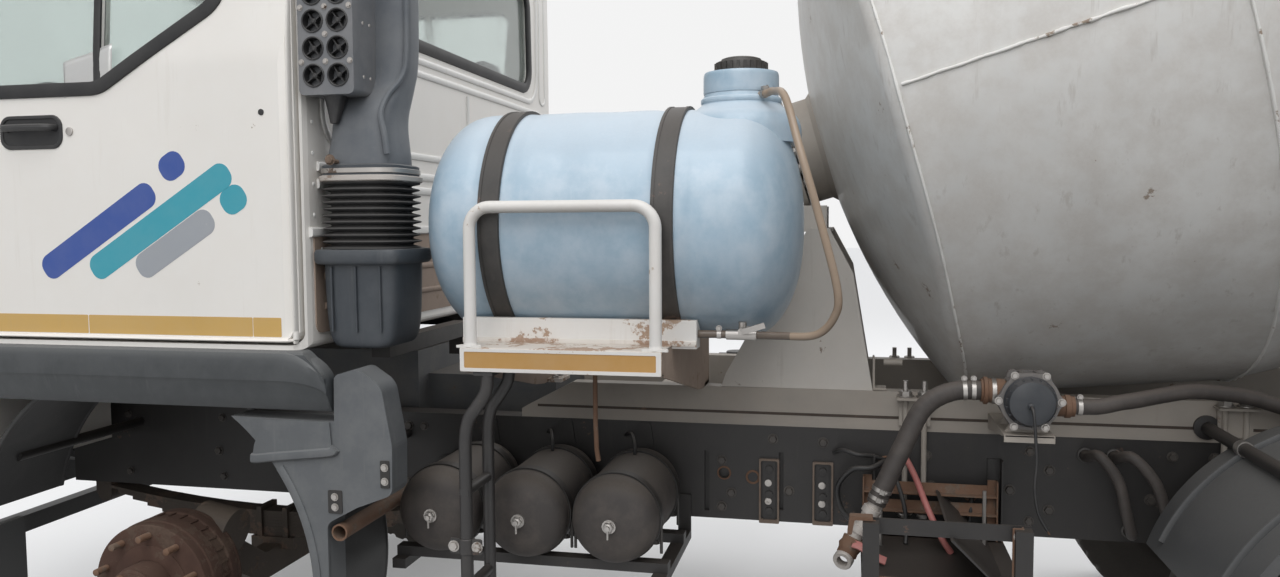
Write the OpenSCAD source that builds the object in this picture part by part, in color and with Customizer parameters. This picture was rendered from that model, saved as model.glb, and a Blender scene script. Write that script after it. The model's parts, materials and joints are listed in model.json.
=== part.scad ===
// Concrete mixer truck, three axles, cab over the engine, left front wheel missing.
// Millimetres. +X forward, +Y left, +Z up. The origin is on the floor under the middle of the truck.

/* [Wheels] */
// Middle of the front axle, forward of the origin
front_axle_x = 2975; // [2925:5:3025]
// Front axle to the first rear axle
wheelbase = 3600; // [3550:10:3650]
// First rear axle to the second
bogie = 1380; // [1340:10:1420]
// Outer radius of a tyre
tyre_r = 525; // [510:5:535]
// Width of a tyre
tyre_w = 290; // [270:5:300]
// Bead radius of the rims
rim_r = 258; // [245:1:270]
// Thickness of a rim's steel
rim_t = 9; // [6:1:12]
// Middle of the front wheels from the centre line
front_track_y = 1030; // [1020:5:1040]
// Middle of a rear twin wheel from the centre line
rear_track_y = 930; // [920:5:940]
// Distance between the two tyres of a twin, middle to middle
twin_pitch = 334; // [325:1:345]
// Radius of the wheel nuts' circle
stud_circle_r = 167.5; // [160:0.5:172]
// Radius of a wheel stud
stud_r = 11; // [9:1:12]
// Radius of the right front wheel's nuts
nut_r = 16; // [14:1:17]
// Outer radius of a brake drum
brake_r = 205; // [190:5:215]
// Kingpin from the centre line
kingpin_y = 870; // [860:5:880]

/* [Chassis] */
// Outer face of a frame rail from the centre line
rail_y = 420; // [400:5:430]
// Underside of the rails
rail_z = 650; // [640:5:660]
// Height of a rail
rail_h = 330; // [310:5:335]
// Thickness of the rails' steel
rail_t = 9; // [6:1:12]
// Width of a rail's flange
flange_w = 85; // [70:5:95]
// Front end of the rails
rail_front_x = 3860; // [3840:5:3880]
// Rear end of the rails
rail_rear_x = -2755; // [-2800:5:-2735]
// Height of the mixer's subframe
subframe_h = 130; // [115:5:135]
// Width of the subframe's rails
sub_w = 60; // [50:5:65]
// Front end of the subframe
subframe_front_x = 1960; // [1900:10:2000]

/* [Cab] */
// Rear wall of the cab
cab_rear_x = 2345; // [2335:5:2355]
// Front face of the cab
cab_front_x = 4175; // [4165:5:4185]
// Half width of the cab at the door
cab_y = 1200; // [1190:5:1210]
// Underside of the cab's floor
cab_floor_z = 1310; // [1300:5:1320]
// Lower edge of the front panel
cab_low_z = 850; // [840:5:860]
// Top of the roof
cab_roof_z = 2960; // [2900:10:3000]
// Thickness of the cab's walls and doors
wall_t = 50; // [40:2:60]
// Rear edge of the doors
door_rear_x = 2362; // [2358:2:2370]
// Front edge of the doors
door_front_x = 3660; // [3640:5:3680]
// Lower edge of the doors
door_low_z = 1332; // [1330:1:1340]
// Upper edge of the doors
door_top_z = 2840; // [2800:5:2860]
// Lower edge of the side windows
sill_z = 2085; // [2060:5:2110]
// Gap round a door
door_gap = 8; // [6:1:12]
// Height of the tilt pivot
pivot_z = 830; // [825:1:835]
// Tilt pivot behind the front face
pivot_back = 60; // [55:1:70]

/* [Drum] */
// Tilt of the drum's axis
drum_tilt = 16; // [15.5:0.1:16.5]
// Height of the axis at the reference point
drum_z = 1980; // [1960:2:2000]
// The reference point on the axis, from the origin
drum_x = 805; // [795:5:815]
// Radius at the weld of the front head
head_r = 995; // [970:5:1010]
// Radius of the drum's middle
drum_r = 1150; // [1120:5:1155]
// Radius of the mouth
mouth_r = 550; // [530:5:570]
// Thickness of the shell
shell_t = 8; // [6:1:12]
// Radius of the track ring
ring_r = 900; // [890:5:910]
// Width of the track ring
ring_w = 110; // [90:5:120]
// Radius of a support roller
roller_r = 125; // [115:5:130]
// Radial width of a mixing blade
blade_w = 330; // [250:10:360]

/* [Water tank] */
// Radius of the tank
tank_r = 342; // [320:2:350]
// Length of the tank
tank_l = 1120; // [1080:10:1140]
// Middle of the tank from the centre line
tank_y = 800; // [790:5:810]
// Height of the tank's axis
tank_z = 1665; // [1655:5:1675]
// Front end of the tank, close behind the air intake
tank_front_x = 2065; // [2060:5:2068]

/* [Left side] */
// Radius of an air tank
air_r = 134; // [125:1:136]
// Length of an air tank
air_l = 520; // [480:10:540]
// Outer edge of the step platform
platform_y = 1200; // [1180:5:1210]
// Tube of the hoop rail
hoop_d = 34; // [28:1:40]
// Width of the air intake's bellows
bellows_w = 255; // [240:5:262]
// Number of bellows ribs
bellows_ribs = 10; // [8:1:12]

/* [Chute] */
// Swing axis of the chute
swing_x = -3330; // [-3340:5:-3320]
// Height of the chute's tilt pin
chute_pin_z = 1500; // [1490:5:1510]
// Slope of the parked chute
chute_slope = 14; // [13:0.5:15]
// Inner radius of the trough
trough_r = 244; // [230:2:250]
// Thickness of the trough's steel
trough_t = 6; // [4:1:8]
// Length of the main chute beyond its pin
chute_l = 835; // [820:5:845]
// Length of the folding extension
extension_l = 610; // [580:10:620]

/* [Hidden] */
$fn = 48;
SMALL = 24;

// Heights and places that follow from the sizes above
axle_z = tyre_r;
rear_x = [front_axle_x - wheelbase, front_axle_x - wheelbase - bogie];
rail_top = rail_z + rail_h;
rear_mid = (rear_x[0] + rear_x[1]) / 2;
post_r = 38;
sub_top = rail_top + subframe_h;
pivot_x = cab_front_x - pivot_back;
GAP = 0.3;
PIN_GAP = 0.05;
seat = sub_top + GAP;

// Points of an arc round c
function arc(c, r, from, to, n) = [for (i = [0:n]) let(a = from + (to - from) * i / n) c + r * [cos(a), sin(a)]];
function unit(v) = v / norm(v);
// A corner at b between a and c, rounded to radius r
function corner(a, b, c, r, n) = r == 0 ? [b] :
    let(u = unit(a - b), v = unit(c - b), half = acos(u * v) / 2, centre = b + unit(u + v) * r / sin(half),
        p = b + u * r / tan(half) - centre, q = b + v * r / tan(half) - centre,
        start = atan2(p.y, p.x), turn = (atan2(q.y, q.x) - start + 540) % 360 - 180)
    arc(centre, r, start, start + turn, n);
// An outline whose corners are [x, y, radius]
function rounded(pts, n = 4) = let(k = len(pts)) [for (i = [0:k - 1])
    let(a = pts[(i + k - 1) % k], b = pts[i], c = pts[(i + 1) % k])
    each corner([a.x, a.y], [b.x, b.y], [c.x, c.y], b[2], n)];
// An outline given on the left half, closed on the right
function both_halves(pts) = concat(pts, [for (i = [len(pts) - 1:-1:0]) [-pts[i].x, pts[i].y, pts[i][2]]]);
// A smooth path through the points, n steps to a stretch
function smooth(p, n) = let(k = len(p) - 1) [for (i = [0:k - 1], j = [0:i == k - 1 ? n : n - 1])
    let(t = j / n, a = p[max(i - 1, 0)], b = p[i], c = p[i + 1], d = p[min(i + 2, k)])
    0.5 * (2 * b + (c - a) * t + (2 * a - 5 * b + 4 * c - d) * t * t + (3 * b - 3 * c + d - a) * t * t * t)];
// Unit normals that turn as little as they can along the tangents
function normals(t, i) = i == 0 ? [unit(cross(t[0], abs(t[0].z) > 0.9 ? [0, 1, 0] : [0, 0, 1]))] :
    let(before = normals(t, i - 1), m = before[i - 1]) concat(before, [unit(m - (m * t[i]) * t[i])]);

// A round tube swept along a path, with a straight stretch to its last point and from its first
module hose(middle, d, sides = 8, last = [], first = []) {
    path = concat(len(first) ? [first] : [], middle, len(last) ? [last] : []);
    k = len(path);
    t = [for (i = [0:k - 1]) unit(path[min(i + 1, k - 1)] - path[max(i - 1, 0)])];
    m = normals(t, k - 1);
    polyhedron(
        [for (i = [0:k - 1], j = [0:sides - 1]) let(a = -360 * j / sides)
            path[i] + d / 2 * (cos(a) * m[i] + sin(a) * cross(t[i], m[i]))],
        concat([[for (j = [0:sides - 1]) sides - 1 - j]],
            [for (i = [0:k - 2], j = [0:sides - 1]) let(a = i * sides, n = (j + 1) % sides)
                each [[a + j, a + n, a + sides + n], [a + j, a + sides + n, a + sides + j]]],
            [[for (j = [0:sides - 1]) (k - 1) * sides + j]]));
}
module block(x, y, z) translate([x[0], y[0], z[0]]) cube([x[1] - x[0], y[1] - y[0], z[1] - z[0]]);
// An outline in X and Z, made thick from y0 to y1
module slab_y(y0, y1) translate([0, y1, 0]) rotate([90, 0, 0]) linear_extrude(y1 - y0) children();
// An outline in Y and Z, made thick from x0 to x1
module slab_x(x0, x1) translate([x0, 0, 0]) rotate([90, 0, 90]) linear_extrude(x1 - x0) children();
module both_sides() {
    children();
    mirror([0, 1, 0]) children();
}
// A round bar from a to b
module bar(a, b, d, fn = 16) {
    v = b - a;
    translate(a) rotate([0, acos(v.z / norm(v)), atan2(v.y, v.x)]) cylinder(h = norm(v), d = d, $fn = fn);
}
// A square bar from a to b
module square_bar(a, b, w) {
    v = b - a;
    translate(a) rotate([0, acos(v.z / norm(v)), atan2(v.y, v.x)]) translate([-w / 2, -w / 2, 0]) cube([w, w, norm(v)]);
}
module cyl_y(x, z, y0, y1, r, fn = 48) translate([x, y1, z]) rotate([90, 0, 0]) cylinder(h = y1 - y0, r = r, $fn = fn);
module cyl_x(y, z, x0, x1, r, fn = 48) translate([x0, y, z]) rotate([0, 90, 0]) cylinder(h = x1 - x0, r = r, $fn = fn);
// Local Z runs along the drum's axis to the mouth, local X points up
module on_drum() translate([drum_x, 0, drum_z]) rotate([0, drum_tilt - 90, 0]) children();

// Frame
module rail() slab_x(rail_rear_x, rail_front_x) difference() {
    translate([rail_y - flange_w, rail_z]) square([flange_w, rail_h]);
    translate([rail_y - flange_w - 1, rail_z + rail_t]) square([flange_w - rail_t + 1, rail_h - 2 * rail_t]);
}
cross_x = [1180, 240, rear_mid, -2420];
ear_r = 33;
module frame_rails() color("#23262a") {
    difference() {
        both_sides() rail();
        // slots and holes in the webs: [x, z, height]
        for (s = [[1290, 780, 210], [1035, 790, 200]])
            slab_y(-rail_y - 1, rail_y + 1) translate([s[0], s[1]]) square([16, s[2]], center = true);
        for (h = [[1230, 810], [690, 870], [420, 780], [2150, 800]]) cyl_y(h[0], h[1], -rail_y - 1, rail_y + 1, 18, SMALL);
    }
    // crossmembers above the driveshafts
    for (x = cross_x) block([x - 60, x + 60], [-rail_y + rail_t - 1, rail_y - rail_t + 1], [rail_z + 160, rail_top - 69]);
    block([rail_rear_x, rail_rear_x + 55], [-rail_y + 1, rail_y - 1], [rail_z + 1, rail_top - 1]);
    block([rail_front_x - 50, rail_front_x], [-rail_y + 1, rail_y - 1], [rail_z + 1, rail_z + 130]);
    // bearing arm of the chute's post
    difference() {
        union() {
            block([swing_x + 40, rail_rear_x + 5], [-70, 70], [rail_top - 70, rail_top + 90]);
            translate([swing_x, 0, rail_top - 90]) cylinder(h = 240, r = 72);
        }
        translate([swing_x, 0, rail_top - 100]) cylinder(h = 300, r = post_r + PIN_GAP);
    }
    // ears of the cab's tilt pivot
    both_sides() difference() {
        slab_y(330, 356) polygon(rounded([[rail_front_x - 140, rail_z + 60, 20], [pivot_x + ear_r, pivot_z - ear_r, ear_r],
            [pivot_x + ear_r, pivot_z + ear_r, ear_r], [pivot_x - 60, pivot_z + ear_r, 20], [rail_front_x - 140, rail_top - rail_t, 0]]));
        cyl_y(pivot_x, pivot_z, 300, 400, 22 + PIN_GAP);
    }
    both_sides() block([rail_front_x - 140, rail_front_x], [340, rail_y - rail_t + 1], [rail_z + rail_t - 1, rail_z + 100]);
}

// Subframe with a tapered nose, and its U-bolts
module subframe() color("#a8aba8") {
    both_sides() slab_y(rail_y - sub_w, rail_y) polygon([[rail_rear_x, rail_top + GAP], [subframe_front_x, rail_top + GAP],
        [subframe_front_x, rail_top + 30], [subframe_front_x - 190, sub_top], [rail_rear_x, sub_top]]);
    for (x = [1500, 200, -1700, -2600])
        block([x - 40, x + 40], [-rail_y + sub_w - 1, rail_y - sub_w + 1], [rail_top + GAP, rail_top + 60]);
    both_sides() for (x = [600, -350, -2500]) {
        block([x - 50, x + 50], [rail_y - 1, rail_y + 12], [rail_top + 20, sub_top - 12]);
        for (d = [-30, 30]) bar([x + d, rail_y + 14, rail_z + 60], [x + d, rail_y + 14, sub_top - 20], 18, 12);
    }
}

// Front and rear pedestals and the drum's gearbox
beam_top = 1850;
module drum_pedestals() color("#a3a6a4") {
    both_sides() slab_y(rail_y - 18, rail_y - 6) polygon([[735, seat], [1240, seat], [1225, sub_top + 45],
        [950, 1650], [880, 1650], [800, 1500]]);
    block([780, 1235], [-rail_y + 10, rail_y - 10], [seat, sub_top + 14]);
    difference() {
        slab_y(-rail_y + 10, rail_y - 10) polygon([[1216, sub_top + 13], [1230, sub_top + 13], [946, 1645], [930, 1645]]);
        cyl_x(0, 1400, 800, 1300, 120, SMALL);
    }
    block([882, 948], [-rail_y + 10, rail_y - 10], [1634, 1649]);
    // gearbox: stepped rounds on the drum's axis, on its cradle
    difference() {
        union() {
            on_drum() translate([0, 0, -470]) cylinder(h = 200, r = 150, $fn = SMALL);
            on_drum() translate([0, 0, -340]) cylinder(h = 125, r = 210, $fn = 32);
            block([895, 1090], [-150, 150], [1636, 1730]);
        }
        on_drum() translate([0, 0, -260]) cylinder(h = 60, r = 60 + PIN_GAP);
        on_drum() translate([0, 0, -215]) cylinder(h = 200, r = 240);
    }
    // rear pedestal: legs, beam and braces
    both_sides() slab_y(rail_y - 60, rail_y) polygon([[-2740, seat], [-2240, seat], [-2430, 1761], [-2600, 1761]]);
    block([-2610, -2420], [-760, 760], [1760, beam_top]);
    both_sides() slab_x(-2600, -2430) polygon([[rail_y - 1, 1500], [760, 1761], [rail_y - 1, 1761]]);
    roller_brackets();
}

// Rollers that carry the track ring
ring_s = 3150;
roller_a = 32;
roller_d = ring_r + roller_r + GAP;
module at_roller(side) on_drum() translate([-roller_d * cos(roller_a), side * roller_d * sin(roller_a), ring_s]) children();
module roller(side) color("#5d5a55") at_roller(side) {
    translate([0, 0, -ring_w / 2 - 10]) cylinder(h = ring_w + 20, r = roller_r, $fn = 32);
    translate([0, 0, -130]) cylinder(h = 260, r = 32, $fn = SMALL);
}
module roller_left() roller(1);
module roller_right() roller(-1);
module roller_brackets() for (side = [-1, 1], z = [-95, 95]) difference() {
    intersection() {
        at_roller(side) translate([-400, -95, z - 14]) cube([440, 190, 28]);
        block([-2800, -2100], [-1000, 1000], [beam_top - 1, 2300]);
    }
    at_roller(side) translate([0, 0, z - 20]) cylinder(h = 40, r = 32 + PIN_GAP, $fn = SMALL);
}

// Engine, gearbox and shafts
module driveline() color("#4a4c4a") {
    block([2420, 3560], [-290, 290], [640, 1190]);
    // engine feet on the rails
    both_sides() for (x = [2700, 3300]) block([x - 40, x + 40], [280, 400], [rail_top + GAP, rail_top + 30]);
    // radiator between the rails
    block([3559, 3641], [-200, 200], [760, 800]);
    block([3640, 3715], [-rail_y + flange_w + GAP, rail_y - flange_w - GAP], [700, 1240]);
    block([1900, 2421], [-200, 200], [680, 1090]);
    driveshafts();
}
shaft_z = axle_z + 60;
module driveshafts() {
    bar([1901, 0, 800], [rear_x[0] + 260, 0, shaft_z], 100, SMALL);
    bar([rear_x[0] - 260, 0, shaft_z], [rear_x[1] + 260, 0, shaft_z], 90, SMALL);
    // level yokes at the axles
    for (x = [rear_x[0] + 205 + GAP, rear_x[0] - 285 - GAP, rear_x[1] + 205 + GAP]) cyl_x(0, shaft_z, x, x + 80, 75, SMALL);
}

// Front axle beam with kingpin eyes
module front_axle() color("#4b3a30") difference() {
    union() {
        slab_x(front_axle_x - 38, front_axle_x + 38) polygon(rounded(both_halves([[0, 350, 0], [560, 350, 60], [720, 450, 60],
            [kingpin_y, 460, 0], [kingpin_y, 560, 0], [690, 560, 60], [530, 450, 60], [0, 450, 0]])));
        both_sides() translate([front_axle_x, kingpin_y, 446]) cylinder(h = 130, r = 52);
        both_sides() block([front_axle_x - 90, front_axle_x + 90], [rail_y - 90, rail_y + 10], [430, 475]);
    }
    both_sides() translate([front_axle_x, kingpin_y, 400]) cylinder(h = 240, r = 24 + PIN_GAP);
}
// Leaf springs: [length, row]
module leaf_pack(x, z, half, n, dy) for (i = [0:n - 1]) let(l = half * (1 - 0.7 * i / n), sag = 70)
    slab_y(rail_y - 85 + dy, rail_y - 5 + dy) polygon(concat(
        [for (j = [-6:6]) let(u = l * j / 6) [x + u, z + 12 * (n - i) + sag * pow(u / half, 2)]],
        [for (j = [6:-1:-6]) let(u = l * j / 6) [x + u, z + 12 * (n - 1 - i) + sag * pow(u / half, 2) + 0.4]]));
module leaf_springs() color("#3a3633") {
    front_springs();
    rear_suspension();
}
module front_springs() both_sides() {
    leaf_pack(front_axle_x, 475.3, 760, 8, 0);
    for (d = [-1, 1]) {
        translate([front_axle_x + d * 760, rail_y - 10, 600]) rotate([90, 0, 0]) cylinder(h = 70, r = 32, $fn = SMALL);
        block([front_axle_x + d * 760 - 35, front_axle_x + d * 760 + 35], [rail_y - 84, rail_y - 6], [600, rail_z - GAP]);
    }
    for (d = [-55, 55]) block([front_axle_x + d - 10, front_axle_x + d + 10], [rail_y - 98, rail_y + 8], [476, 590]);
}
// Steering knuckle: fork, kingpin, spindle and arm
knuckle_out = 88;
spindle_r = 45;
hub_in = kingpin_y + knuckle_out;
module knuckle() color("#4d3c31") {
    translate([front_axle_x, kingpin_y, 0]) {
        translate([0, 0, 400]) cylinder(h = 225, r = 24);
        for (z = [400, 582]) translate([0, 0, z]) cylinder(h = 40, r = 50);
    }
    for (z = [400, 582]) block([front_axle_x - 45, front_axle_x + 45], [kingpin_y, hub_in - 20], [z, z + 40]);
    block([front_axle_x - 60, front_axle_x + 60], [hub_in - 28, hub_in - 6], [400, 622]);
    cyl_y(front_axle_x, axle_z, hub_in - 28, hub_in + 165, spindle_r);
    // track rod arm
    slab_y(kingpin_y - 12, kingpin_y + 18) polygon([[front_axle_x - 30, 402], [front_axle_x - 260, 380], [front_axle_x - 260, 410], [front_axle_x - 30, 438]]);
    // brake chamber behind the plate
    translate([front_axle_x - 150, kingpin_y - 10, 640]) rotate([0, 80, 0]) cylinder(h = 130, r = 78, $fn = SMALL);
    block([front_axle_x - 60, front_axle_x - 20], [kingpin_y - 30, kingpin_y + 60], [600, 650]);
}
module knuckle_left() knuckle();
module knuckle_right() mirror([0, 1, 0]) knuckle();
// Hub and brake drum of a front wheel, with its studs
flange_y = front_track_y + 60;
// pin_r is the radius of its studs, or of the nuts on them
module front_hub(pin_r) {
    difference() {
        union() {
            cyl_y(front_axle_x, axle_z, hub_in + 2, flange_y - 34, brake_r);
            cyl_y(front_axle_x, axle_z, flange_y - 35, flange_y, stud_circle_r + 34);
            cyl_y(front_axle_x, axle_z, flange_y - 1, flange_y + 95, 88);
        }
        cyl_y(front_axle_x, axle_z, hub_in - 1, hub_in + 80, brake_r - 22);
        cyl_y(front_axle_x, axle_z, hub_in - 1, hub_in + 168, spindle_r + PIN_GAP);
    }
    for (i = [0:9]) let(a = 36 * i + 18)
        cyl_y(front_axle_x + stud_circle_r * cos(a), axle_z + stud_circle_r * sin(a), flange_y - 1, flange_y + 48, pin_r, 14);
}
module hub_left() color("#6b4630") front_hub(stud_r);

// Tyre section: [radius, along the axle]; a bead's outer face from the tyre's middle
bead = tyre_w * 0.36;
module tyre(y) translate([0, y, 0]) rotate([90, 0, 0]) rotate_extrude($fn = 36) polygon(rounded([
    [rim_r + GAP, GAP - bead, 0], [rim_r + 24, GAP - bead, 0], [rim_r + 60, -tyre_w / 2, 50], [tyre_r - 90, -tyre_w / 2, 80],
    [tyre_r, -tyre_w * 0.4, 26], [tyre_r, tyre_w * 0.4, 26], [tyre_r - 90, tyre_w / 2, 80], [rim_r + 60, tyre_w / 2, 50],
    [rim_r + 24, bead - GAP, 0], [rim_r + GAP, bead - GAP, 0], [rim_r + GAP, bead * 0.8, 0], [rim_r + 50, 0, 90],
    [rim_r + GAP, -bead * 0.8, 0]], 2));
// Rim: barrel and two flanges
disc_t = 14;
module rim(y) translate([0, y, 0]) rotate([90, 0, 0]) rotate_extrude($fn = 36) {
    polygon([[rim_r - rim_t, -bead - rim_t], [rim_r + 22, -bead - rim_t], [rim_r + 22, -bead], [rim_r, -bead],
        [rim_r, bead], [rim_r + 22, bead], [rim_r + 22, bead + rim_t], [rim_r - rim_t, bead + rim_t]]);
}
module wheel_front() color("#c9c9c6") mirror([0, 1, 0]) {
    front_hub(nut_r);
    translate([front_axle_x, 0, axle_z]) {
        rim(front_track_y);
        difference() {
            rotate([90, 0, 0]) rotate_extrude($fn = 36) polygon([[89, -flange_y - disc_t], [89, -flange_y], [205, -flange_y],
                [rim_r - rim_t, -front_track_y + 14], [rim_r - rim_t, -front_track_y - 10], [212, -flange_y - disc_t]]);
            hand_holes(flange_y - 60, flange_y + 60);
        }
    }
}
// The eight round holes in a disc
module hand_holes(y0, y1) for (i = [0:7]) rotate([0, 45 * i, 0]) cyl_y(218, 0, y0, y1, 17, 16);
module tyre_front() color("#1d1d1d") translate([front_axle_x, 0, axle_z]) tyre(-front_track_y);
// Rear twin: hub, drum and two rims, whose discs lie back to back
module twin(x, side) color("#8a8a86") translate([x, 0, axle_z]) mirror([0, side > 0 ? 0 : 1, 0]) {
    difference() {
        union() {
            cyl_y(0, 0, rear_track_y - 250, rear_track_y - 14, brake_r);
            cyl_y(0, 0, rear_track_y - 15, rear_track_y + disc_t, stud_circle_r + 30, 36);
            cyl_y(0, 0, rear_track_y, rear_track_y + 190, 110, 32);
        }
        cyl_y(0, 0, rear_track_y - 260, rear_track_y - 150, brake_r - 22);
        cyl_y(0, 0, rear_track_y - 260, rear_track_y + 150, spindle_r + PIN_GAP);
    }
    for (i = [0:9]) let(a = 36 * i + 18)
        cyl_y(stud_circle_r * cos(a), stud_circle_r * sin(a), rear_track_y, rear_track_y + 60, stud_r, 14);
    for (s = [-1, 1]) {
        rim(rear_track_y + s * twin_pitch / 2);
        difference() {
            rotate([90, 0, 0]) rotate_extrude($fn = 36) polygon([[109, -rear_track_y], [212, -rear_track_y],
                [rim_r - rim_t, -rear_track_y - s * 70], [rim_r - rim_t, -rear_track_y - s * 96],
                [212, -rear_track_y - s * disc_t], [109, -rear_track_y - s * disc_t]]);
            hand_holes(rear_track_y - 100, rear_track_y + 100);
        }
    }
}
module twin_tyres(x, side) color("#1d1d1d") translate([x, 0, axle_z])
    for (s = [-1, 1]) tyre(side * (rear_track_y + s * twin_pitch / 2));
module wheels_rear_1() twin(rear_x[0], 1);
module wheels_rear_2() twin(rear_x[0], -1);
module wheels_rear_3() twin(rear_x[1], 1);
module wheels_rear_4() twin(rear_x[1], -1);
module tyres_rear_1() twin_tyres(rear_x[0], 1);
module tyres_rear_2() twin_tyres(rear_x[0], -1);
module tyres_rear_3() twin_tyres(rear_x[1], 1);
module tyres_rear_4() twin_tyres(rear_x[1], -1);

// Rear axles with their round centres and spindles
module rear_axles() color("#3f3a36") for (x = rear_x) translate([x, 0, axle_z]) {
    cyl_y(0, 0, -rear_track_y + 300, rear_track_y - 300, 75, 32);
    both_sides() cyl_y(0, 0, rear_track_y - 301, rear_track_y + 140, spindle_r);
    both_sides() cyl_y(0, 0, rear_track_y - 290, rear_track_y - 256, 120, 32);
    cylinder(h = 330, r = 190, center = true, $fn = 32);
    cyl_x(0, 60, -205, 205, 95, 32);
}
module rear_suspension() both_sides() {
    mid = rear_mid;
    for (i = [0:9]) let(l = (bogie / 2 + 60) * (1 - 0.075 * i))
        slab_y(rail_y + 18, rail_y + 108) polygon(concat(
            [for (j = [-6:6]) let(u = l * j / 6) [mid + u, 690 + 13 * (i + 1) - 95 * pow(u / 750, 2) - 0.4]],
            [for (j = [6:-1:-6]) let(u = l * j / 6) [mid + u, 690 + 13 * i - 95 * pow(u / 750, 2)]]));
    for (x = rear_x) block([x - 60, x + 60], [rail_y + 10, rail_y + 116], [axle_z + 75 + GAP, axle_z + 92]);
    slab_y(rail_y + GAP, rail_y + 17) polygon([[mid - 260, rail_top - 20], [mid + 260, rail_top - 20], [mid + 90, 560], [mid - 90, 560]]);
    cyl_y(mid, 640, rail_y + GAP, rail_y + 130, 60, 32);
    for (x = rear_x) bar([mid, rail_y - 40, 560], [x + sign(mid - x) * 75, rail_y - 40, axle_z - 60], 60);
    block([mid - 70, mid + 70], [rail_y - 90, rail_y + 2], [520, rail_z - GAP]);
}

// Bumper with its step boxes
bumper_x = cab_front_x + 50;
bumper_top = pivot_z - 68;
step_x = [3600, 4150];
module bumper() color("#3a3d40") difference() {
    union() {
        difference() {
            translate([0, 0, 400]) linear_extrude(bumper_top - 400) polygon(rounded([[step_x[0], -1210, 30],
                [bumper_x, -1210, 170], [bumper_x, 1210, 170], [step_x[0], 1210, 30]]));
            translate([0, 0, 399]) linear_extrude(bumper_top) polygon(rounded([[step_x[0] - 50, -1150, 0],
                [bumper_x - 60, -1150, 120], [bumper_x - 60, 1150, 120], [step_x[0] - 50, 1150, 0]]));
        }
        both_sides() for (z = [330, 590]) block([step_x[0] + 30, step_x[1] - 30], [900, 1190], [z, z + 35]);
        both_sides() for (x = [step_x[0] + 30, step_x[1] - 55]) block([x, x + 25], [900, 1160], [330, 660]);
        both_sides() block([rail_front_x, bumper_x - 50], [rail_y - 50, rail_y - 10], [rail_z + 10, rail_z + 80]);
    }
    // lamp recesses and step openings
    both_sides() block([bumper_x - 40, bumper_x + 10], [750, 1050], [500, 690]);
    both_sides() slab_y(1100, 1300) polygon(rounded([[step_x[0] + 80, 440, 30], [step_x[1] - 90, 440, 30],
        [step_x[1] - 90, 560, 30], [step_x[0] + 80, 560, 30]]));
    slab_x(bumper_x - 100, bumper_x + 10) polygon(rounded([[-520, 470, 30], [520, 470, 30], [520, 560, 30], [-520, 560, 30]]));
}
module lamps() color("#d8dcdc") {
    both_sides() slab_x(bumper_x - 39.7, bumper_x - 4) polygon(rounded([[751, 501, 12], [1049, 501, 12], [1049, 689, 12], [751, 689, 12]]));
    both_sides() slab_x(bar_x[0] - 40, bar_x[0]) polygon(rounded([[800, bar_z[0] + 20, 10], [1120, bar_z[0] + 20, 10],
        [1120, bar_z[1] - 20, 10], [800, bar_z[1] - 20, 10]]));
}
// Front mudguards: arch shell and the side panel behind the wheel
arch = [front_axle_x, 600];
arch_r = 640;
arch_t = 12;
module front_mudguards() color("#45484b") both_sides() {
    slab_y(760, 1100) polygon(concat(arc(arch, arch_r, 12, 205, 24), arc(arch, arch_r + arch_t, 205, 12, 24)));
    difference() {
        slab_y(1099, 1196) polygon(concat(arc(arch, arch_r, 127, 205, 12), [[2240, 330], [2225, 470], [2075, 640],
            [2075, 1040], [2160, 1106], [2560, 1106]]));
        slab_y(1098, 1184) polygon(concat(arc(arch, arch_r + arch_t, 130, 203, 12), [[2255, 350], [2240, 480], [2087, 650],
            [2087, 1035], [2165, 1094], [2540, 1094]]));
    }
    // stays straight out from the rail: [x, z, outer end, diameter]
    for (s = [[2262, 740, 1190, 42], [arch.x + 572, 900, 1000, 36], [arch.x - 572, 900, 1000, 30]])
        cyl_y(s[0], s[1], rail_y + GAP, s[2], s[3] / 2, SMALL);
}
// Lower box of the air intake on the chassis
intake = [2206, 1030];
lip_z = 1600;
module air_filter_box() color("#3c3f42") {
    translate([0, 0, 1560]) linear_extrude(lip_z - 1560) polygon(rounded([[intake.x - 136, 900, 30],
        [intake.x + 132, 900, 30], [intake.x + 132, 1158, 30], [intake.x - 136, 1158, 30]]));
    slab_y(920, 1140) polygon(rounded([[intake.x - 120, 1561, 0], [intake.x + 118, 1561, 0], [intake.x + 118, 1370, 40],
        [intake.x + 60, 1316, 50], [intake.x - 50, 1316, 50], [intake.x - 105, 1376, 50]]));
    block([intake.x - 30, intake.x + 30], [rail_y - 60, 1000], [1266, 1317]);
    block([intake.x - 30, intake.x + 30], [rail_y - 60, rail_y - 10], [rail_top + GAP, 1267]);
}

// Water tank with domed ends and its neck
tank_x = tank_front_x - tank_l;
neck = [tank_x + 185, 112];
neck_h = 445;
module water_tank() color("#6d93b5") {
    translate([tank_x, tank_y, tank_z]) rotate([0, 90, 0]) rotate_extrude($fn = 48)
        polygon(rounded([[0, 0, 0], [tank_r, 0, 170], [tank_r, tank_l * 0.5, 0], [tank_r, tank_l, 170], [0, tank_l, 0]], 6));
    translate([neck.x, tank_y, tank_z]) rotate_extrude($fn = 32) polygon([[0, 0], [neck.y + 63, 250], [neck.y + 52, 300],
        [neck.y, 345], [neck.y, neck_h], [0, neck_h]]);
}
strap_x = [tank_x + 440, tank_front_x - 185];
module tank_fittings() color("#2a2b2c") {
    translate([neck.x, tank_y, tank_z + neck_h + GAP]) {
        cylinder(h = 30, r = 76, $fn = 32);
        translate([0, 0, 30]) cylinder(h = 14, r1 = 66, r2 = 52, $fn = 32);
    }
    for (x = strap_x) difference() {
        cyl_x(tank_y, tank_z, x - 30, x + 30, tank_r + 7);
        cyl_x(tank_y, tank_z, x - 31, x + 31, tank_r + GAP);
    }
}
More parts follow.
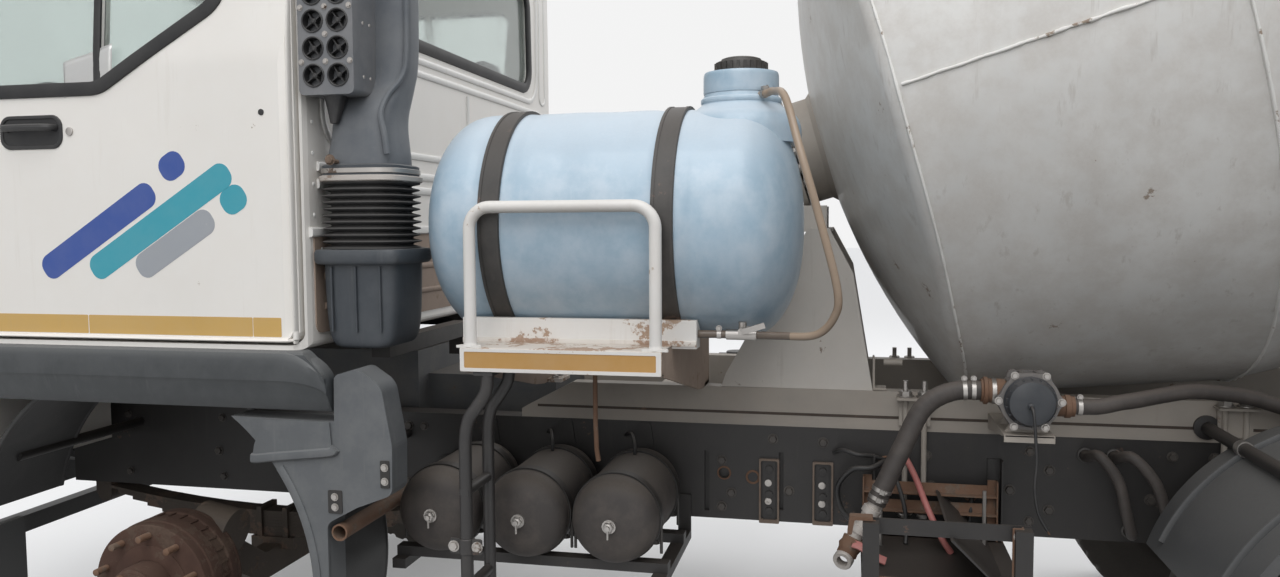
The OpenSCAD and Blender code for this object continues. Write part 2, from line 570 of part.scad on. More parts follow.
// White carrier: side plates, cradle beams, step platform and hoop rail
plat_x = [1295, 1865];
plat_z = [1262, 1330];
cradle_x = [1225, 1915];
side_t = 8;
module tank_platform() color("#d6d6d2") {
    difference() {
        union() {
            for (y = [tank_y - 252, tank_y + 192]) block(cradle_x, [y, y + 60], [1320, 1400]);
            for (x = [plat_x[0], plat_x[1] - side_t]) slab_x(x, x + side_t)
                polygon([[330, seat], [470, seat], [560, 1122], [platform_y, plat_z[0] + 1], [platform_y, plat_z[1]], [330, plat_z[1]]]);
        }
        cyl_x(tank_y, tank_z, 1200, 1960, tank_r + 8);
    }
    for (x = [plat_x[0], plat_x[1] - 60]) block([x, x + 60], [330, 440], [seat, seat + 12]);
    difference() {
        block(plat_x, [tank_y + 250, platform_y], plat_z);
        block([plat_x[0] + 6, plat_x[1] - 6], [tank_y + 258, platform_y - 6], [plat_z[0] - 1, plat_z[1] - 6]);
    }
    hose(smooth([[plat_x[1] - 25, platform_y - 20, plat_z[1] - 2], [plat_x[1] - 25, platform_y - 20, 1560],
        [plat_x[1] - 30, platform_y - 22, 1680], [plat_x[1] - 75, platform_y - 22, 1717], [1580, platform_y - 22, 1717],
        [plat_x[0] + 75, platform_y - 22, 1717], [plat_x[0] + 28, platform_y - 22, 1680],
        [plat_x[0] + 20, platform_y - 20, 1560], [plat_x[0] + 20, platform_y - 20, plat_z[1] - 2]], 3), hoop_d, 10);
}
// Black ladder under the platform
module tank_ladder() color("#2c2d2e") {
    for (y = [platform_y - 20, platform_y - 195]) hose(smooth([[1790, y, plat_z[0] - 8], [1800, y, 1200], [1850, y, 1130],
        [1862, y, 1050], [1862, y, 330]], 3), 36, 10);
    for (z = [360, 640, 920]) bar([1862, platform_y - 195, z], [1862, platform_y - 20, z], 28);
    block([1842, 1882], [platform_y - 40, platform_y], [700, 780]);
    block([1770, 1830], [platform_y - 215, platform_y - 2], [plat_z[0] - 10, plat_z[0] - GAP]);
}

// Air tanks across the chassis, and the black carriers
air_x = [2075, 1790, 1505];
air_z = 770;
module air_tanks() color("#2b2a29") for (x = air_x) {
    translate([x, rail_y + 12 + air_l, air_z]) rotate([90, 0, 0]) rotate_extrude($fn = 36)
        polygon(rounded([[0, 0, 0], [air_r, 0, 60], [air_r, air_l, 60], [0, air_l, 0]], 5));
    cyl_y(x, air_z, rail_y + 11 + air_l, rail_y + 35 + air_l, 16, 16);
}
batt_x = [325, 770];
web_y = rail_y + GAP;
module carriers() color("#28292a") {
    for (y = [rail_y + 110, rail_y + 400]) {
        block([air_x[2] - 160, air_x[0] + 160], [y, y + 45], [air_z - air_r - 32, air_z - air_r - GAP]);
        for (x = air_x) difference() {
            cyl_y(x, air_z, y + 5, y + 40, air_r + 6, 36);
            cyl_y(x, air_z, y + 4, y + 41, air_r + GAP, 36);
        }
    }
    for (x = [air_x[2] - 160, air_x[0] + 115]) block([x, x + 45], [web_y, rail_y + 480], [air_z - air_r - 62, air_z - air_r - 31]);
    for (x = [air_x[2] - 160, air_x[0] + 115]) block([x, x + 45], [web_y, rail_y + 10], [air_z - air_r - 62, air_z - 40]);
    // battery carrier of angle iron with its sheet
    for (x = [batt_x[0], batt_x[1] - 45]) {
        block([x, x + 45], [web_y, 1000], [600, 606]);
        block([x, x + 6], [web_y, 1000], [600, 645]);
        block([x, x + 45], [web_y, rail_y + 6], [600, 900]);
        block([x, x + 6], [web_y, rail_y + 45], [600, 900]);
        block([x, x + 45], [955, 1000], [605, 840]);
    }
    for (y = [rail_y + 6, 955]) block(batt_x, [y, y + 45], [640, 646]);
    block(batt_x, [955, 961], [800, 845]);
    slab_y(440, 990) polygon([[batt_x[0] + 46, 645], [batt_x[0] + 52, 645], [batt_x[0] + 210, 800], [batt_x[0] + 204, 803]]);
}
// Water pump on its angle bracket
pump = [300, 730, 1150];
module water_pump() color("#5a5c5c") {
    difference() {
        union() {
            cyl_y(pump.x, pump.z, pump.y - 60, pump.y + 40, 92, 36);
            cyl_y(pump.x, pump.z, pump.y - 160, pump.y - 59, 50, SMALL);
        }
        cyl_y(pump.x, pump.z, pump.y + 30, pump.y + 41, 66, 32);
    }
    cyl_y(pump.x, pump.z, pump.y + 29, pump.y + 75, 60, 32);
    // outlets to the front and to the rear
    cyl_x(pump.y - 30, pump.z + 20, pump.x + 60, pump.x + 130, 36, SMALL);
    cyl_x(pump.y - 30, pump.z - 20, pump.x - 130, pump.x - 60, 30, SMALL);
    block([pump.x - 70, pump.x + 70], [web_y, pump.y + 30], [pump.z - 104, pump.z - 88]);
    block([pump.x - 70, pump.x + 70], [web_y, rail_y + 13], [pump.z - 150, pump.z - 90]);
}
valve = [800, 740, 700];
module water_hoses() color("#222324") {
    // suction hose from the pump to the valve, the valve's pipe and open end
    hose(smooth([pump + [170, -30, 20], pump + [210, -29, 14], pump + [295, -20, -40],
        [645, 722, 1010], [695, 732, 900], [729, 738, 822]], 3), 58, 8, first = pump + [130 + GAP, -30, 20]);
    bar([728, 738, 824], valve, 44, SMALL);
    bar(valve, valve + [20, 10, -50], 56, SMALL);
    // pressure hose back along the subframe
    hose(smooth([pump + [-160, -30, -20], pump + [-200, -31, -18], pump + [-310, -60, 0], [-170, 600, 1168],
        [-360, 520, 1140], [-520, 470, 1090], [-680, rail_y + 24, 1060]], 3), 46, 8, first = pump + [-130 - GAP, -30, -20]);
    // two hoses that loop down from hole to hole in the rail's web
    for (i = [0, 1]) hose(smooth([[75 - 85 * i, rail_y + 30, 925], [70 - 85 * i, rail_y + 60, 935], [50 - 95 * i, rail_y + 90, 940], [0 - 105 * i, rail_y + 100, 870],
        [-30 - 115 * i, rail_y + 90, 760], [-52 - 120 * i, rail_y + 60, 695], [-60 - 120 * i, rail_y + 30, 688]], 3), 34, 8,
        [-60 - 120 * i, web_y, 688], [75 - 85 * i, web_y, 925]);
    // sight tube from the tank's neck to the end of the cradle
    hose(smooth([[neck.x - 85, tank_y + 113.3, 2035], [1022, 943, 2036], [985, 1040, 2006], [939, 1135, 1857], [887, 1152, 1676],
        [842, 1130, 1494], [850, 1105, 1420], [900, 1070, 1368], [1000, 1035, 1360], [1130, 1022, 1360], [1190, 1022, 1360]], 3), 22, 8,
        [cradle_x[0] - GAP, 1022, 1360], [neck.x - 0.6 * (neck.y + GAP), tank_y + 0.8 * (neck.y + GAP), 2035]);
}
// Cut cable that hangs from the pump's cap: its points
cable = [[pump.x + 6, 816, 1144], [305, 828, 1140], [302, 838, 1118], [298, 842, 1060], [294, 843, 990], [298, 842, 920],
    [288, 843, 850], [262, 844, 800]];
module loose_cable() color("#1e1f20") hose(smooth(cable, 3), 9, 8, first = [pump.x + 6, pump.y + 75 + GAP, 1144]);

// Right side: fuel tank and silencer on their brackets
module fuel_tank() color("#8d9092") {
    slab_x(1250, 2050) polygon(rounded([[-1180, 470, 90], [-560, 470, 90], [-560, 1020, 90], [-1180, 1020, 90]], 5));
    for (x = [1400, 1850]) {
        block([x, x + 50], [-1180, -web_y], [440, 472]);
        block([x, x + 50], [-480, -web_y], [440, 900]);
    }
    translate([1350, -980, 1019]) cylinder(h = 30, r = 55, $fn = SMALL);
}
module silencer() color("#6a5a4c") {
    slab_x(300, 1060) polygon(rounded([[-1120, 560, 150], [-600, 560, 150], [-600, 900, 150], [-1120, 900, 150]], 5));
    for (x = [380, 920]) block([x, x + 50], [-640, -web_y], [690, 730]);
    // pipe from the engine's side, and the tail pipe
    cyl_x(-860, 730, 1050, 1172, 50, 32);
    cyl_y(1120, 730, -860, -web_y, 46, 32);
    translate([420, -1040, 382]) cylinder(h = 218, r = 48, $fn = 32);
    cyl_y(420, 430, -1190, -1040, 44, 32);
}
// Rear mudguards and the tubes that carry them
guard_r = 590;
module rear_mudguards() color("#2f3133") both_sides() for (x = rear_x) {
    slab_y(610, 1250) polygon(concat(arc([x, axle_z], guard_r, 18, 162, 24), arc([x, axle_z], guard_r + 6, 162, 18, 24)));
    for (s = [-1, 1]) cyl_y(x + s * (guard_r + 24) * sin(35), axle_z + (guard_r + 24) * cos(35), web_y, 1200, 19, 16);
}
bar_x = [-2890, -2810];
bar_z = [470, 590];
module rear_bar() color("#3a3b3c") {
    slab_y(-1180, 1180) polygon(rounded([[bar_x[0], bar_z[0], 15], [bar_x[1], bar_z[0], 15], [bar_x[1], bar_z[1], 15], [bar_x[0], bar_z[1], 15]]));
    both_sides() slab_y(rail_y - 60, rail_y - 20) polygon([[bar_x[0] + 10, bar_z[1] - 2], [bar_x[1] - 5, bar_z[1] - 2], [rail_rear_x - GAP, rail_z + 60],
        [rail_rear_x - GAP, rail_z + 200], [rail_rear_x - 60, rail_z + 200]]);
}

// Feed hopper over the mouth, on its posts, with the ladder at the right
module funnel(top, low, t) difference() {
    hull() { block(top[0], top[1], [top[2] - 1, top[2]]); block(low[0], low[1], [low[2], low[2] + 1]); }
    hull() { block([top[0][0] + t, top[0][1] - t], [top[1][0] + t, top[1][1] - t], [top[2], top[2] + 1]);
        block([low[0][0] + t, low[0][1] - t], [low[1][0] + t, low[1][1] - t], [low[2] - 1, low[2]]); }
}
module feed_hopper() color("#b9bbb8") {
    funnel([[-3760, -3010], [-470, 470], 3860], [[-3420, -3020], [-210, 210], 3440], 6);
    difference() {
        slab_y(-210, 210) polygon([[-3420, 3441], [-3020, 3441], [-2890, 3330], [-2890, 3150], [-3150, 3215]]);
        slab_y(-204, 204) polygon([[-3412, 3446], [-3024, 3446], [-2880, 3322], [-2880, 3158], [-3146, 3222]]);
    }
    both_sides() {
        square_bar([-2520, 712, beam_top + 16], [-3150, 620, 3560], 60);
        block([-2565, -2475], [665, 755], [beam_top + GAP, beam_top + 30]);
        square_bar([-3146, 622, 3535], [-3146, 290, 3600], 50);
        // stay to the collector's side
        bar([-3330, 453, 2460], [-2742, 680, 2460], 40);
        block([-3380, -3300], [430 + GAP, 470], [2420, 2500]);
    }
    // ladder
    for (x = [-2950, -2680]) bar([x, -1020, 620], [x - 60, -900, 3000], 36);
    for (i = [0:8]) bar([-2680 - 6 * i, -1014 + 12 * i, 700 + 260 * i], [-2950 - 6 * i, -1014 + 12 * i, 700 + 260 * i], 28);
    bar([-2709, -960, 1800], [-2580, -790, 1805], 36);
    block([-2605, -2555], [-815, -760 - GAP], [1775, 1835]);
    bar([-2730, -900, 3000], [-2950, -650, 3000], 36);
}
// Discharge collector under the mouth
module collector() color("#a9aba8") {
    funnel([[-3640, -3060], [-430, 430], 2400], [[swing_x - 175, swing_x + 175], [-175, 175], 2060], 6);
    both_sides() block([-3640, -3300], [424, 430], [2399, 2800]);
    block([-3640, -3634], [-430, 430], [2399, 2800]);
}

// Drum shell: dished head, cone, middle, long cone and mouth; [distance along the axis, radius]
drum_s = [104, 926, 2080, 4050];
dish = 224;
dish_r = (head_r * head_r + dish * dish) / 2 / dish;
function head(r0, t) = [for (i = [0:8]) let(r = r0 + (head_r - t - r0) * i / 8)
    [r, drum_s[0] - dish + dish_r - sqrt(dish_r * dish_r - r * r) + t]];
module drum_shell() color("#c3c3be") on_drum() {
    rotate_extrude($fn = 72) polygon(concat(head(1, 0), [[drum_r, drum_s[1]], [drum_r, drum_s[2]], [mouth_r, drum_s[3]],
        [mouth_r - shell_t, drum_s[3]], [drum_r - shell_t, drum_s[2]], [drum_r - shell_t, drum_s[1]]],
        [for (i = [8:-1:0]) head(1, shell_t)[i]]));
    // track ring, sleeve of the mouth and the head's flange with its stub
    rotate_extrude($fn = 72) let(a = ring_s - ring_w / 2, b = ring_s + ring_w / 2)
        polygon([[cone_r(a) - 2, a], [ring_r, a], [ring_r, b], [cone_r(b) - 2, b]]);
    translate([0, 0, drum_s[3] - 60]) difference() {
        cylinder(h = 70, r = mouth_r + 22, $fn = 72);
        translate([0, 0, -1]) cylinder(h = 72, r = mouth_r - 2, $fn = 72);
    }
    translate([0, 0, -208]) cylinder(h = 110, r = 190, $fn = 36);
    translate([0, 0, -258]) cylinder(h = 60, r = 60);
}
function cone_r(s) = drum_r + (mouth_r - drum_r) * (s - drum_s[2]) / (drum_s[3] - drum_s[2]);
// Radius inside the shell: the front cone starts at the rim of the dished head
head_rim = head(1, shell_t)[8];
function inside_r(s) = s < drum_s[1] ? head_rim[0] + (drum_r - shell_t - head_rim[0]) * (s - head_rim[1]) / (drum_s[1] - head_rim[1]) :
    min(drum_r, cone_r(s)) - shell_t;
// Two helical mixing blades, each of sections with a weld gap between them
blade_turns = 2.2;
blade_sections = 18;
section_n = 4;
blade_n = blade_sections * section_n;
blade_end = 3780;
blade_t = 8;
blade_seat = 0.35;
weld_gap = 0.01;
module blade_section(start, first) {
    p = [for (i = [0:section_n]) let(t = (first + i - (i == section_n ? weld_gap : 0)) / blade_n,
            s = [-1, 1] * blade_t / 2 + [1, 1] * (160 + (blade_end - 160) * t), a = start + 360 * blade_turns * t,
            r = [for (k = s) inside_r(k) - blade_seat], w = min(blade_w, r[1] - 160), d = [cos(a), sin(a), 0])
        [r[0] * d + [0, 0, s[0]], (r[0] - w) * d + [0, 0, s[0] + 30], (r[0] - w) * d + [0, 0, s[1] + 30], r[1] * d + [0, 0, s[1]]]];
    // the two sides are cut along the same diagonal, so that the sheet keeps its thickness
    polyhedron([for (q = p) each q], concat([[0, 1, 2, 3]],
        [for (i = [0:section_n - 1], j = [0:3]) let(n = (j + 1) % 4, a = 4 * i + j, b = 4 * i + n)
            each (j == 2 ? [[a, a + 4, b], [a + 4, b + 4, b]] : [[a, a + 4, b + 4], [a, b + 4, b]])],
        [[3, 2, 1, 0] + 4 * section_n * [1, 1, 1, 1]]));
}
module drum_blades() color("#8d8a84") on_drum()
    for (a = [0, 180], k = [0:blade_sections - 1]) blade_section(a, k * section_n);

// Cab: the same body, inset by i, gives the shell, the doors and the panes
module cab_body(i) intersection() {
    slab_y(-1300, 1300) polygon(rounded([[cab_rear_x + i, cab_floor_z + i, 20], [cab_rear_x + i, cab_roof_z - i, 130 - i],
        [cab_front_x - 190 - i, cab_roof_z - i, 150 - i], [cab_front_x - 22 - i, 2080, 60], [cab_front_x - i, 1650, 150],
        [cab_front_x - i, cab_floor_z + i, 0]]));
    linear_extrude(3200) polygon(rounded([[cab_rear_x + i, -cab_y + i, 55 - i], [cab_front_x - i, -cab_y + i, 200 - i],
        [cab_front_x - i, cab_y - i, 200 - i], [cab_rear_x + i, cab_y - i, 55 - i]]));
    slab_x(2000, 4400) polygon(rounded(both_halves([[-cab_y + i, cab_floor_z + i, 0], [-cab_y + i, 2150, 600],
        [-cab_y + 70 + i, cab_roof_z - i, 130 - i]])));
}
foot_x = [3620, cab_front_x];
foot_y = 490;
module footwell(i) intersection() {
    both_sides() block([foot_x[0] + i, foot_x[1] - i], [foot_y + i, cab_y - i], [cab_low_z + i, cab_floor_z + 80]);
    linear_extrude(3200) polygon(rounded([[cab_rear_x, -cab_y + i, 0], [cab_front_x - i, -cab_y + i, 200 - i],
        [cab_front_x - i, cab_y - i, 200 - i], [cab_rear_x, cab_y - i, 0]]));
}
module door_outline(g) slab_y(cab_y - 200, cab_y + 50) polygon(rounded([[door_rear_x - g, door_low_z - g, 30],
    [door_rear_x - g, door_top_z + g, 60], [door_front_x - 90 + g, door_top_z + g, 60], [door_front_x + g, 2200, 0],
    [door_front_x + g, door_low_z - g, 30]]));
module side_window() slab_y(cab_y - 200, cab_y + 50) polygon(rounded([[2995, sill_z, 110], [2595, sill_z + 235, 110],
    [2540, 2760, 60], [3510, 2760, 50], [3590, sill_z, 50]]));
module windscreen() slab_x(cab_front_x - 400, cab_front_x + 50) polygon(rounded(both_halves([[-1050, 2150, 60], [-985, 2800, 80]])));
module rear_window() slab_x(cab_rear_x - 50, cab_rear_x + 150) polygon(rounded(both_halves([[-840, 2325, 90], [-820, 2780, 90]])));
// Lower front panel, and the lugs' faces
panel_t = 25;
lug_y = [300, 328];
module cab_shell() color("#dcdcd6") {
    difference() {
        union() {
            cab_body(0);
            footwell(0);
            block([cab_front_x - panel_t, cab_front_x], [-foot_y - 5, foot_y + 5], [cab_low_z, cab_floor_z + 5]);
        }
        cab_body(wall_t);
        footwell(30);
        both_sides() door_outline(door_gap);
        windscreen();
        rear_window();
    }
    // lugs and pins of the tilt pivot
    both_sides() {
        slab_y(lug_y[0], lug_y[1]) polygon(rounded([[3850, cab_floor_z + 4, 0], [3850, cab_floor_z - 60, 20], [pivot_x - 40, pivot_z - 10, 30],
            [pivot_x + 10, pivot_z - 34, 30], [pivot_x + 34, pivot_z + 10, 20], [pivot_x - 5, cab_floor_z + 4, 0]]));
        cyl_y(pivot_x, pivot_z, lug_y[0] + 1, 360, 22);
    }
}
module pane() difference() {
    cab_body(16);
    cab_body(22);
}
module cab_glass() color("#9db3ad", 0.5) {
    intersection() { pane(); windscreen(); }
    intersection() { pane(); rear_window(); }
}
module door() color("#dcdcd6") {
    intersection() {
        difference() {
            cab_body(0);
            cab_body(wall_t);
            side_window();
        }
        door_outline(0);
    }
    // divider of the window
    intersection() {
        difference() { cab_body(4); cab_body(40); }
        slab_y(900, 1250) polygon([[2985, 2070], [3005, 2070], [3005, 2780], [2985, 2780]]);
    }
}
module door_left() door();
module door_right() mirror([0, 1, 0]) door();
module door_pane() color("#9db3ad", 0.5) intersection() {
    difference() { cab_body(16); cab_body(22); }
    difference() { side_window(); slab_y(900, 1250) polygon([[2985, 2070], [3005, 2070], [3005, 2780], [2985, 2780]]); }
}
module door_glass_left() door_pane();
module door_glass_right() mirror([0, 1, 0]) door_pane();

// Dark mouldings over the arches, window seals, grille and visor
module cab_trim() color("#3a3d40") {
    both_sides() intersection() {
        slab_x(2265, 3612) polygon(rounded([[1165, cab_floor_z - GAP, 0], [1216, cab_floor_z - GAP, 20], [1226, 1230, 20],
            [1204, 1140, 25], [1165, 1132, 0]]));
        // the rear end slopes down and is rounded
        slab_y(1150, 1240) polygon(rounded([[2265, 1131, 20], [3612, 1131, 0], [3612, cab_floor_z, 0], [2345, cab_floor_z, 30], [2265, 1236, 50]]));
    }
    // grille with slats
    difference() {
        slab_x(cab_front_x + GAP, cab_front_x + 18) polygon(rounded([[-760, 1180, 50], [760, 1180, 50], [800, 1720, 50], [-800, 1720, 50]]));
        slab_x(cab_front_x - 1, cab_front_x + 20) polygon(rounded([[-700, 1240, 30], [700, 1240, 30], [735, 1660, 30], [-735, 1660, 30]]));
    }
    for (z = [1270:65:1640]) slab_y(-725, 725) polygon([[cab_front_x + GAP, z], [cab_front_x + 16, z - 12], [cab_front_x + 16, z - 2], [cab_front_x + GAP, z + 10]]);
}

// Air intake on the cab: bellows, duct and the head with its cells
module ring_outline(w, y0, y1, r) polygon(rounded([[intake.x - w / 2, y0, r], [intake.x + w / 2, y0, r], [intake.x + w / 2, y1, r], [intake.x - w / 2, y1, r]], 5));
bellows_z = [lip_z + GAP, 1812];
head_x = [2174, 2341];
head_y = [1048, 1190];
head_z = [2040, 2860];
cell_pitch = 76;
cell_rows = 10;
cell_r = 30;
module air_intake() color("#3f4245") {
    pitch = (bellows_z[1] - bellows_z[0]) / bellows_ribs;
    for (i = [0:bellows_ribs - 1]) translate([0, 0, bellows_z[0] + i * pitch]) {
        linear_extrude(pitch * 0.55) ring_outline(bellows_w, 905, 1150, 90);
        translate([0, 0, pitch * 0.5]) linear_extrude(pitch * 0.55) ring_outline(bellows_w - 44, 927, 1128, 70);
    }
    translate([0, 0, bellows_z[1]]) linear_extrude(60) ring_outline(bellows_w - 20, 915, 1145, 60);
    // duct that narrows above the bellows, then runs up behind the head
    slab_y(935, 1130) polygon(rounded([[intake.x + 109, 1871, 0], [intake.x + 80, 1970, 60], [intake.x + 76, head_z[0] + 1, 0],
        [intake.x - 110, head_z[0] + 1, 0], [intake.x - 90, 1960, 80], [intake.x - 103, 1871, 0]], 5));
    slab_y(935, head_y[0] + 1) polygon(rounded([[intake.x + 76, 1972, 0], [intake.x + 84, 2120, 60], [intake.x + 84, 2960, 60],
        [intake.x - 132, 2960, 60], [intake.x - 132, 2190, 90], [intake.x - 96, 1972, 0]], 5));
    // head with its cells
    difference() {
        slab_y(head_y[0], head_y[1]) polygon(rounded([[head_x[0], head_z[0], 14], [head_x[1], head_z[0], 14], [head_x[1], head_z[1], 14], [head_x[0], head_z[1], 14]], 3));
        for (i = [0:cell_rows - 1], s = [-1, 1])
            translate([(head_x[0] + head_x[1]) / 2 + s * cell_pitch / 2, head_y[1] + 1, head_z[0] + 52 + cell_pitch * i]) rotate([90, 0, 0]) cylinder(h = 56, r = cell_r, $fn = 20);
    }
    translate([head_x[0] + 92, 1120, 1996]) cylinder(h = 45, r1 = 18, r2 = 32, $fn = SMALL);
    // feet on the rear wall
    for (z = [2150, 2800]) block([intake.x + 30, cab_rear_x], [980, 1060], [z, z + 40]);
}

// Seats, dashboard and steering wheel
module cab_interior() color("#3b3b3d") {
    for (y = [-640, 640]) {
        block([2560, 2820], [y - 120, y + 120], [cab_floor_z + wall_t + GAP, 1650]);
        slab_y(y - 250, y + 250) polygon(rounded([[2480, 1640, 40], [3010, 1640, 60], [3010, 1770, 50], [2600, 1770, 40], [2520, 2420, 50], [2420, 2420, 50], [2450, 1700, 30]]));
    }
    intersection() {
        slab_y(-1090, 1090) polygon(rounded([[cab_front_x, 1700, 0], [cab_front_x, 2060, 20], [3900, 2060, 60], [3760, 1900, 60], [3820, 1700, 40]]));
        cab_body(wall_t + GAP);
    }
    bar([3800, 640, 1850], [3560, 640, 1990], 60, SMALL);
    translate([3550, 640, 1996]) rotate([0, -60, 0]) {
        rotate_extrude($fn = 36) translate([215, 0]) circle(d = 30, $fn = 16);
        cylinder(h = 40, r = 55, center = true, $fn = SMALL);
        for (a = [90, 210, 330]) rotate([0, 0, a]) translate([0, -14, -8]) cube([215, 28, 12]);
    }
}
module cab_mirrors() color("#2b2c2d") both_sides() {
    difference() {
        union() {
            bar([3960, cab_y - 60, 2560], [4010, cab_y + 190, 2600], 24);
            bar([3960, cab_y - 60, 2150], [4010, cab_y + 190, 2130], 24);
        }
        cab_body(-GAP);
    }
    bar([4010, cab_y + 190, 2118], [4010, cab_y + 190, 2612], 24);
    slab_y(cab_y + 80, cab_y + 290) polygon(rounded([[3930, 2180, 30], [4005, 2180, 30], [4005, 2560, 30], [3930, 2560, 30]]));
}

// Chute: swinging mount, trough, folding extension and the lift cylinder
trough_w = 90 + trough_r + trough_t;
rim_w = trough_w + 40;
fold = [chute_l + 10, rim_w + 15];
module on_chute() translate([swing_x, 0, chute_pin_z]) rotate([0, chute_slope, 180]) children();
// U section round the trough's axis, straight up at the rims
module trough_section() polygon(concat([[-trough_r - trough_t, 40]], arc([0, 0], trough_r + trough_t, 180, 360, 20), [[trough_r + trough_t, 40], [trough_r, 40]],
    arc([0, 0], trough_r, 360, 180, 20), [[-trough_r, 40]]));
lift_pin = [swing_x - 120, 1080];
lift_eye = [560, 40];
// the eye's place at rest, in X and Z
eye = [swing_x - lift_eye.x * cos(chute_slope) - lift_eye.y * sin(chute_slope),
    chute_pin_z - lift_eye.x * sin(chute_slope) + lift_eye.y * cos(chute_slope)];
lift_l = norm(eye - lift_pin);
lift_a = atan2(eye.y - lift_pin.y, lift_pin.x - eye.x);
module chute_mount() color("#7f827f") {
    translate([swing_x, 0, rail_top - 80]) cylinder(h = 240, r = post_r);
    translate([swing_x, 0, rail_top + 152]) cylinder(h = chute_pin_z - 65 - rail_top - 152, r = 60);
    both_sides() slab_y(44, 60) polygon(rounded([[swing_x - 50, chute_pin_z - 110, 0], [swing_x + 50, chute_pin_z - 110, 0], [swing_x + 34, chute_pin_z + 28, 26], [swing_x - 34, chute_pin_z + 28, 26]]));
    block([swing_x - 50, swing_x + 50], [-60, 60], [chute_pin_z - 112, chute_pin_z - 62]);
    cyl_y(swing_x, chute_pin_z, -64, 64, 20);
    both_sides() slab_y(36, 50) polygon(rounded([[swing_x - 40, rail_top + 153, 0], [swing_x - 40, lift_pin.y + 80, 0],
        [lift_pin.x - 30, lift_pin.y + 30, 26], [lift_pin.x - 30, lift_pin.y - 28, 26], [lift_pin.x + 30, lift_pin.y - 28, 10],
        [lift_pin.x + 40, rail_top + 153, 0]]));
    block([swing_x - 60, swing_x - 20], [-50, 50], [rail_top + 153, rail_top + 240]);
    cyl_y(lift_pin.x, lift_pin.y, -55, 55, 12);
}
module chute_trough() color("#a2a4a2") on_chute() {
    translate([0, 0, trough_w]) slab_x(-260, chute_l) trough_section();
    translate([0, 0, trough_w]) slab_x(-266, -260) polygon(concat([[-trough_r - trough_t, 40]], arc([0, 0], trough_r + trough_t, 180, 360, 20), [[trough_r + trough_t, 40]]));
    // hinge lug on the pin
    difference() {
        slab_y(-40, 40) polygon(rounded([[-30, -30, 28], [30, -30, 28], [60, 92, 0], [-60, 92, 0]]));
        cyl_y(0, 0, -50, 50, 20 + PIN_GAP);
    }
    // ears and pin for the cylinder's eye
    both_sides() slab_y(34, 46) polygon(rounded([[lift_eye.x - 24, lift_eye.y - 24, 20], [lift_eye.x + 24, lift_eye.y - 24, 20], [lift_eye.x + 50, 96, 0], [lift_eye.x - 50, 96, 0]]));
    cyl_y(lift_eye.x, lift_eye.y, -47, 47, 10, SMALL);
    // fold pins
    both_sides() {
        slab_y(trough_r + trough_t + 1, trough_r + trough_t + 12) polygon([[chute_l - 60, rim_w - 40], [fold.x - 2, rim_w - 10], [fold.x + 14, fold.y + 14], [fold.x - 16, fold.y + 14], [chute_l - 90, rim_w]]);
        slab_y(trough_r + trough_t - 1, trough_r + trough_t + 2) polygon([[chute_l - 60, rim_w - 38], [chute_l - 4, rim_w - 14], [chute_l - 4, rim_w - 2], [chute_l - 84, rim_w - 2]]);
        cyl_y(fold.x, fold.y, trough_r + trough_t + 5, trough_r + trough_t + 32, 10, SMALL);
    }
}
module chute_extension() color("#b3b5b2") on_chute() {
    translate([0, 0, 2 * fold.y - trough_w]) slab_x(fold.x - 10 - extension_l, fold.x - 10) mirror([0, 1, 0]) trough_section();
    both_sides() difference() {
        union() {
            slab_y(trough_r + trough_t + 14, trough_r + trough_t + 28) polygon([[fold.x - 16, fold.y - 14], [fold.x + 14, fold.y - 14], [fold.x + 14, fold.y + 10], [fold.x - 70, fold.y + 80], [fold.x - 130, fold.y + 80], [fold.x - 130, fold.y + 40]]);
            slab_y(trough_r + trough_t - 1, trough_r + trough_t + 15) polygon([[fold.x - 82, fold.y + 80], [fold.x - 130, fold.y + 80], [fold.x - 130, fold.y + 40], [fold.x - 82, fold.y + 40]]);
        }
        cyl_y(fold.x, fold.y, trough_r, trough_r + 60, 10 + PIN_GAP, SMALL);
    }
}
// Local X runs from the cylinder's lower pin to its eye
module on_lift() translate([lift_pin.x, 0, lift_pin.y]) rotate([0, -lift_a, 180]) children();
module lift_barrel() color("#6e7173") on_lift() difference() {
    union() {
        cyl_y(0, 0, -26, 26, 28, SMALL);
        cyl_x(0, 0, 22, 312, 34, SMALL);
    }
    cyl_y(0, 0, -30, 30, 12 + PIN_GAP);
    cyl_x(0, 0, 36, 330, 18 + PIN_GAP);
}
module lift_rod() color("#b9bcbd") on_lift() difference() {
    union() {
        cyl_x(0, 0, lift_l - 315, lift_l - 30, 18);
        cyl_y(lift_l, 0, -28, 28, 38, 32);
    }
    cyl_y(lift_l, 0, -30, 30, 25, 32);
}

frame_rails();
subframe();
drum_pedestals();
driveline();
front_axle();
rear_axles();
leaf_springs();
bumper();
lamps();
front_mudguards();
air_filter_box();
water_tank();
tank_fittings();
tank_platform();
tank_ladder();
air_tanks();
carriers();
water_pump();
water_hoses();
loose_cable();
fuel_tank();
silencer();
rear_mudguards();
rear_bar();
feed_hopper();
collector();
drum_shell();
drum_blades();
roller_left();
roller_right();
cab_shell();
cab_glass();
cab_trim();
air_intake();
cab_interior();
cab_mirrors();
door_left();
door_right();
door_glass_left();
door_glass_right();
knuckle_left();
knuckle_right();
hub_left();
wheel_front();
tyre_front();
wheels_rear_1();
wheels_rear_2();
wheels_rear_3();
wheels_rear_4();
tyres_rear_1();
tyres_rear_2();
tyres_rear_3();
tyres_rear_4();
chute_mount();
chute_trough();
chute_extension();
lift_barrel();
lift_rod();
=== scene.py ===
"""Looks of a concrete mixer truck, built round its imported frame.

Every size is in metres, in the frame's own axes: X forwards, Y to the truck's
left, Z up from the ground. Each group of pieces has its own operator, and
main() calls them in order.
"""

import json
import math

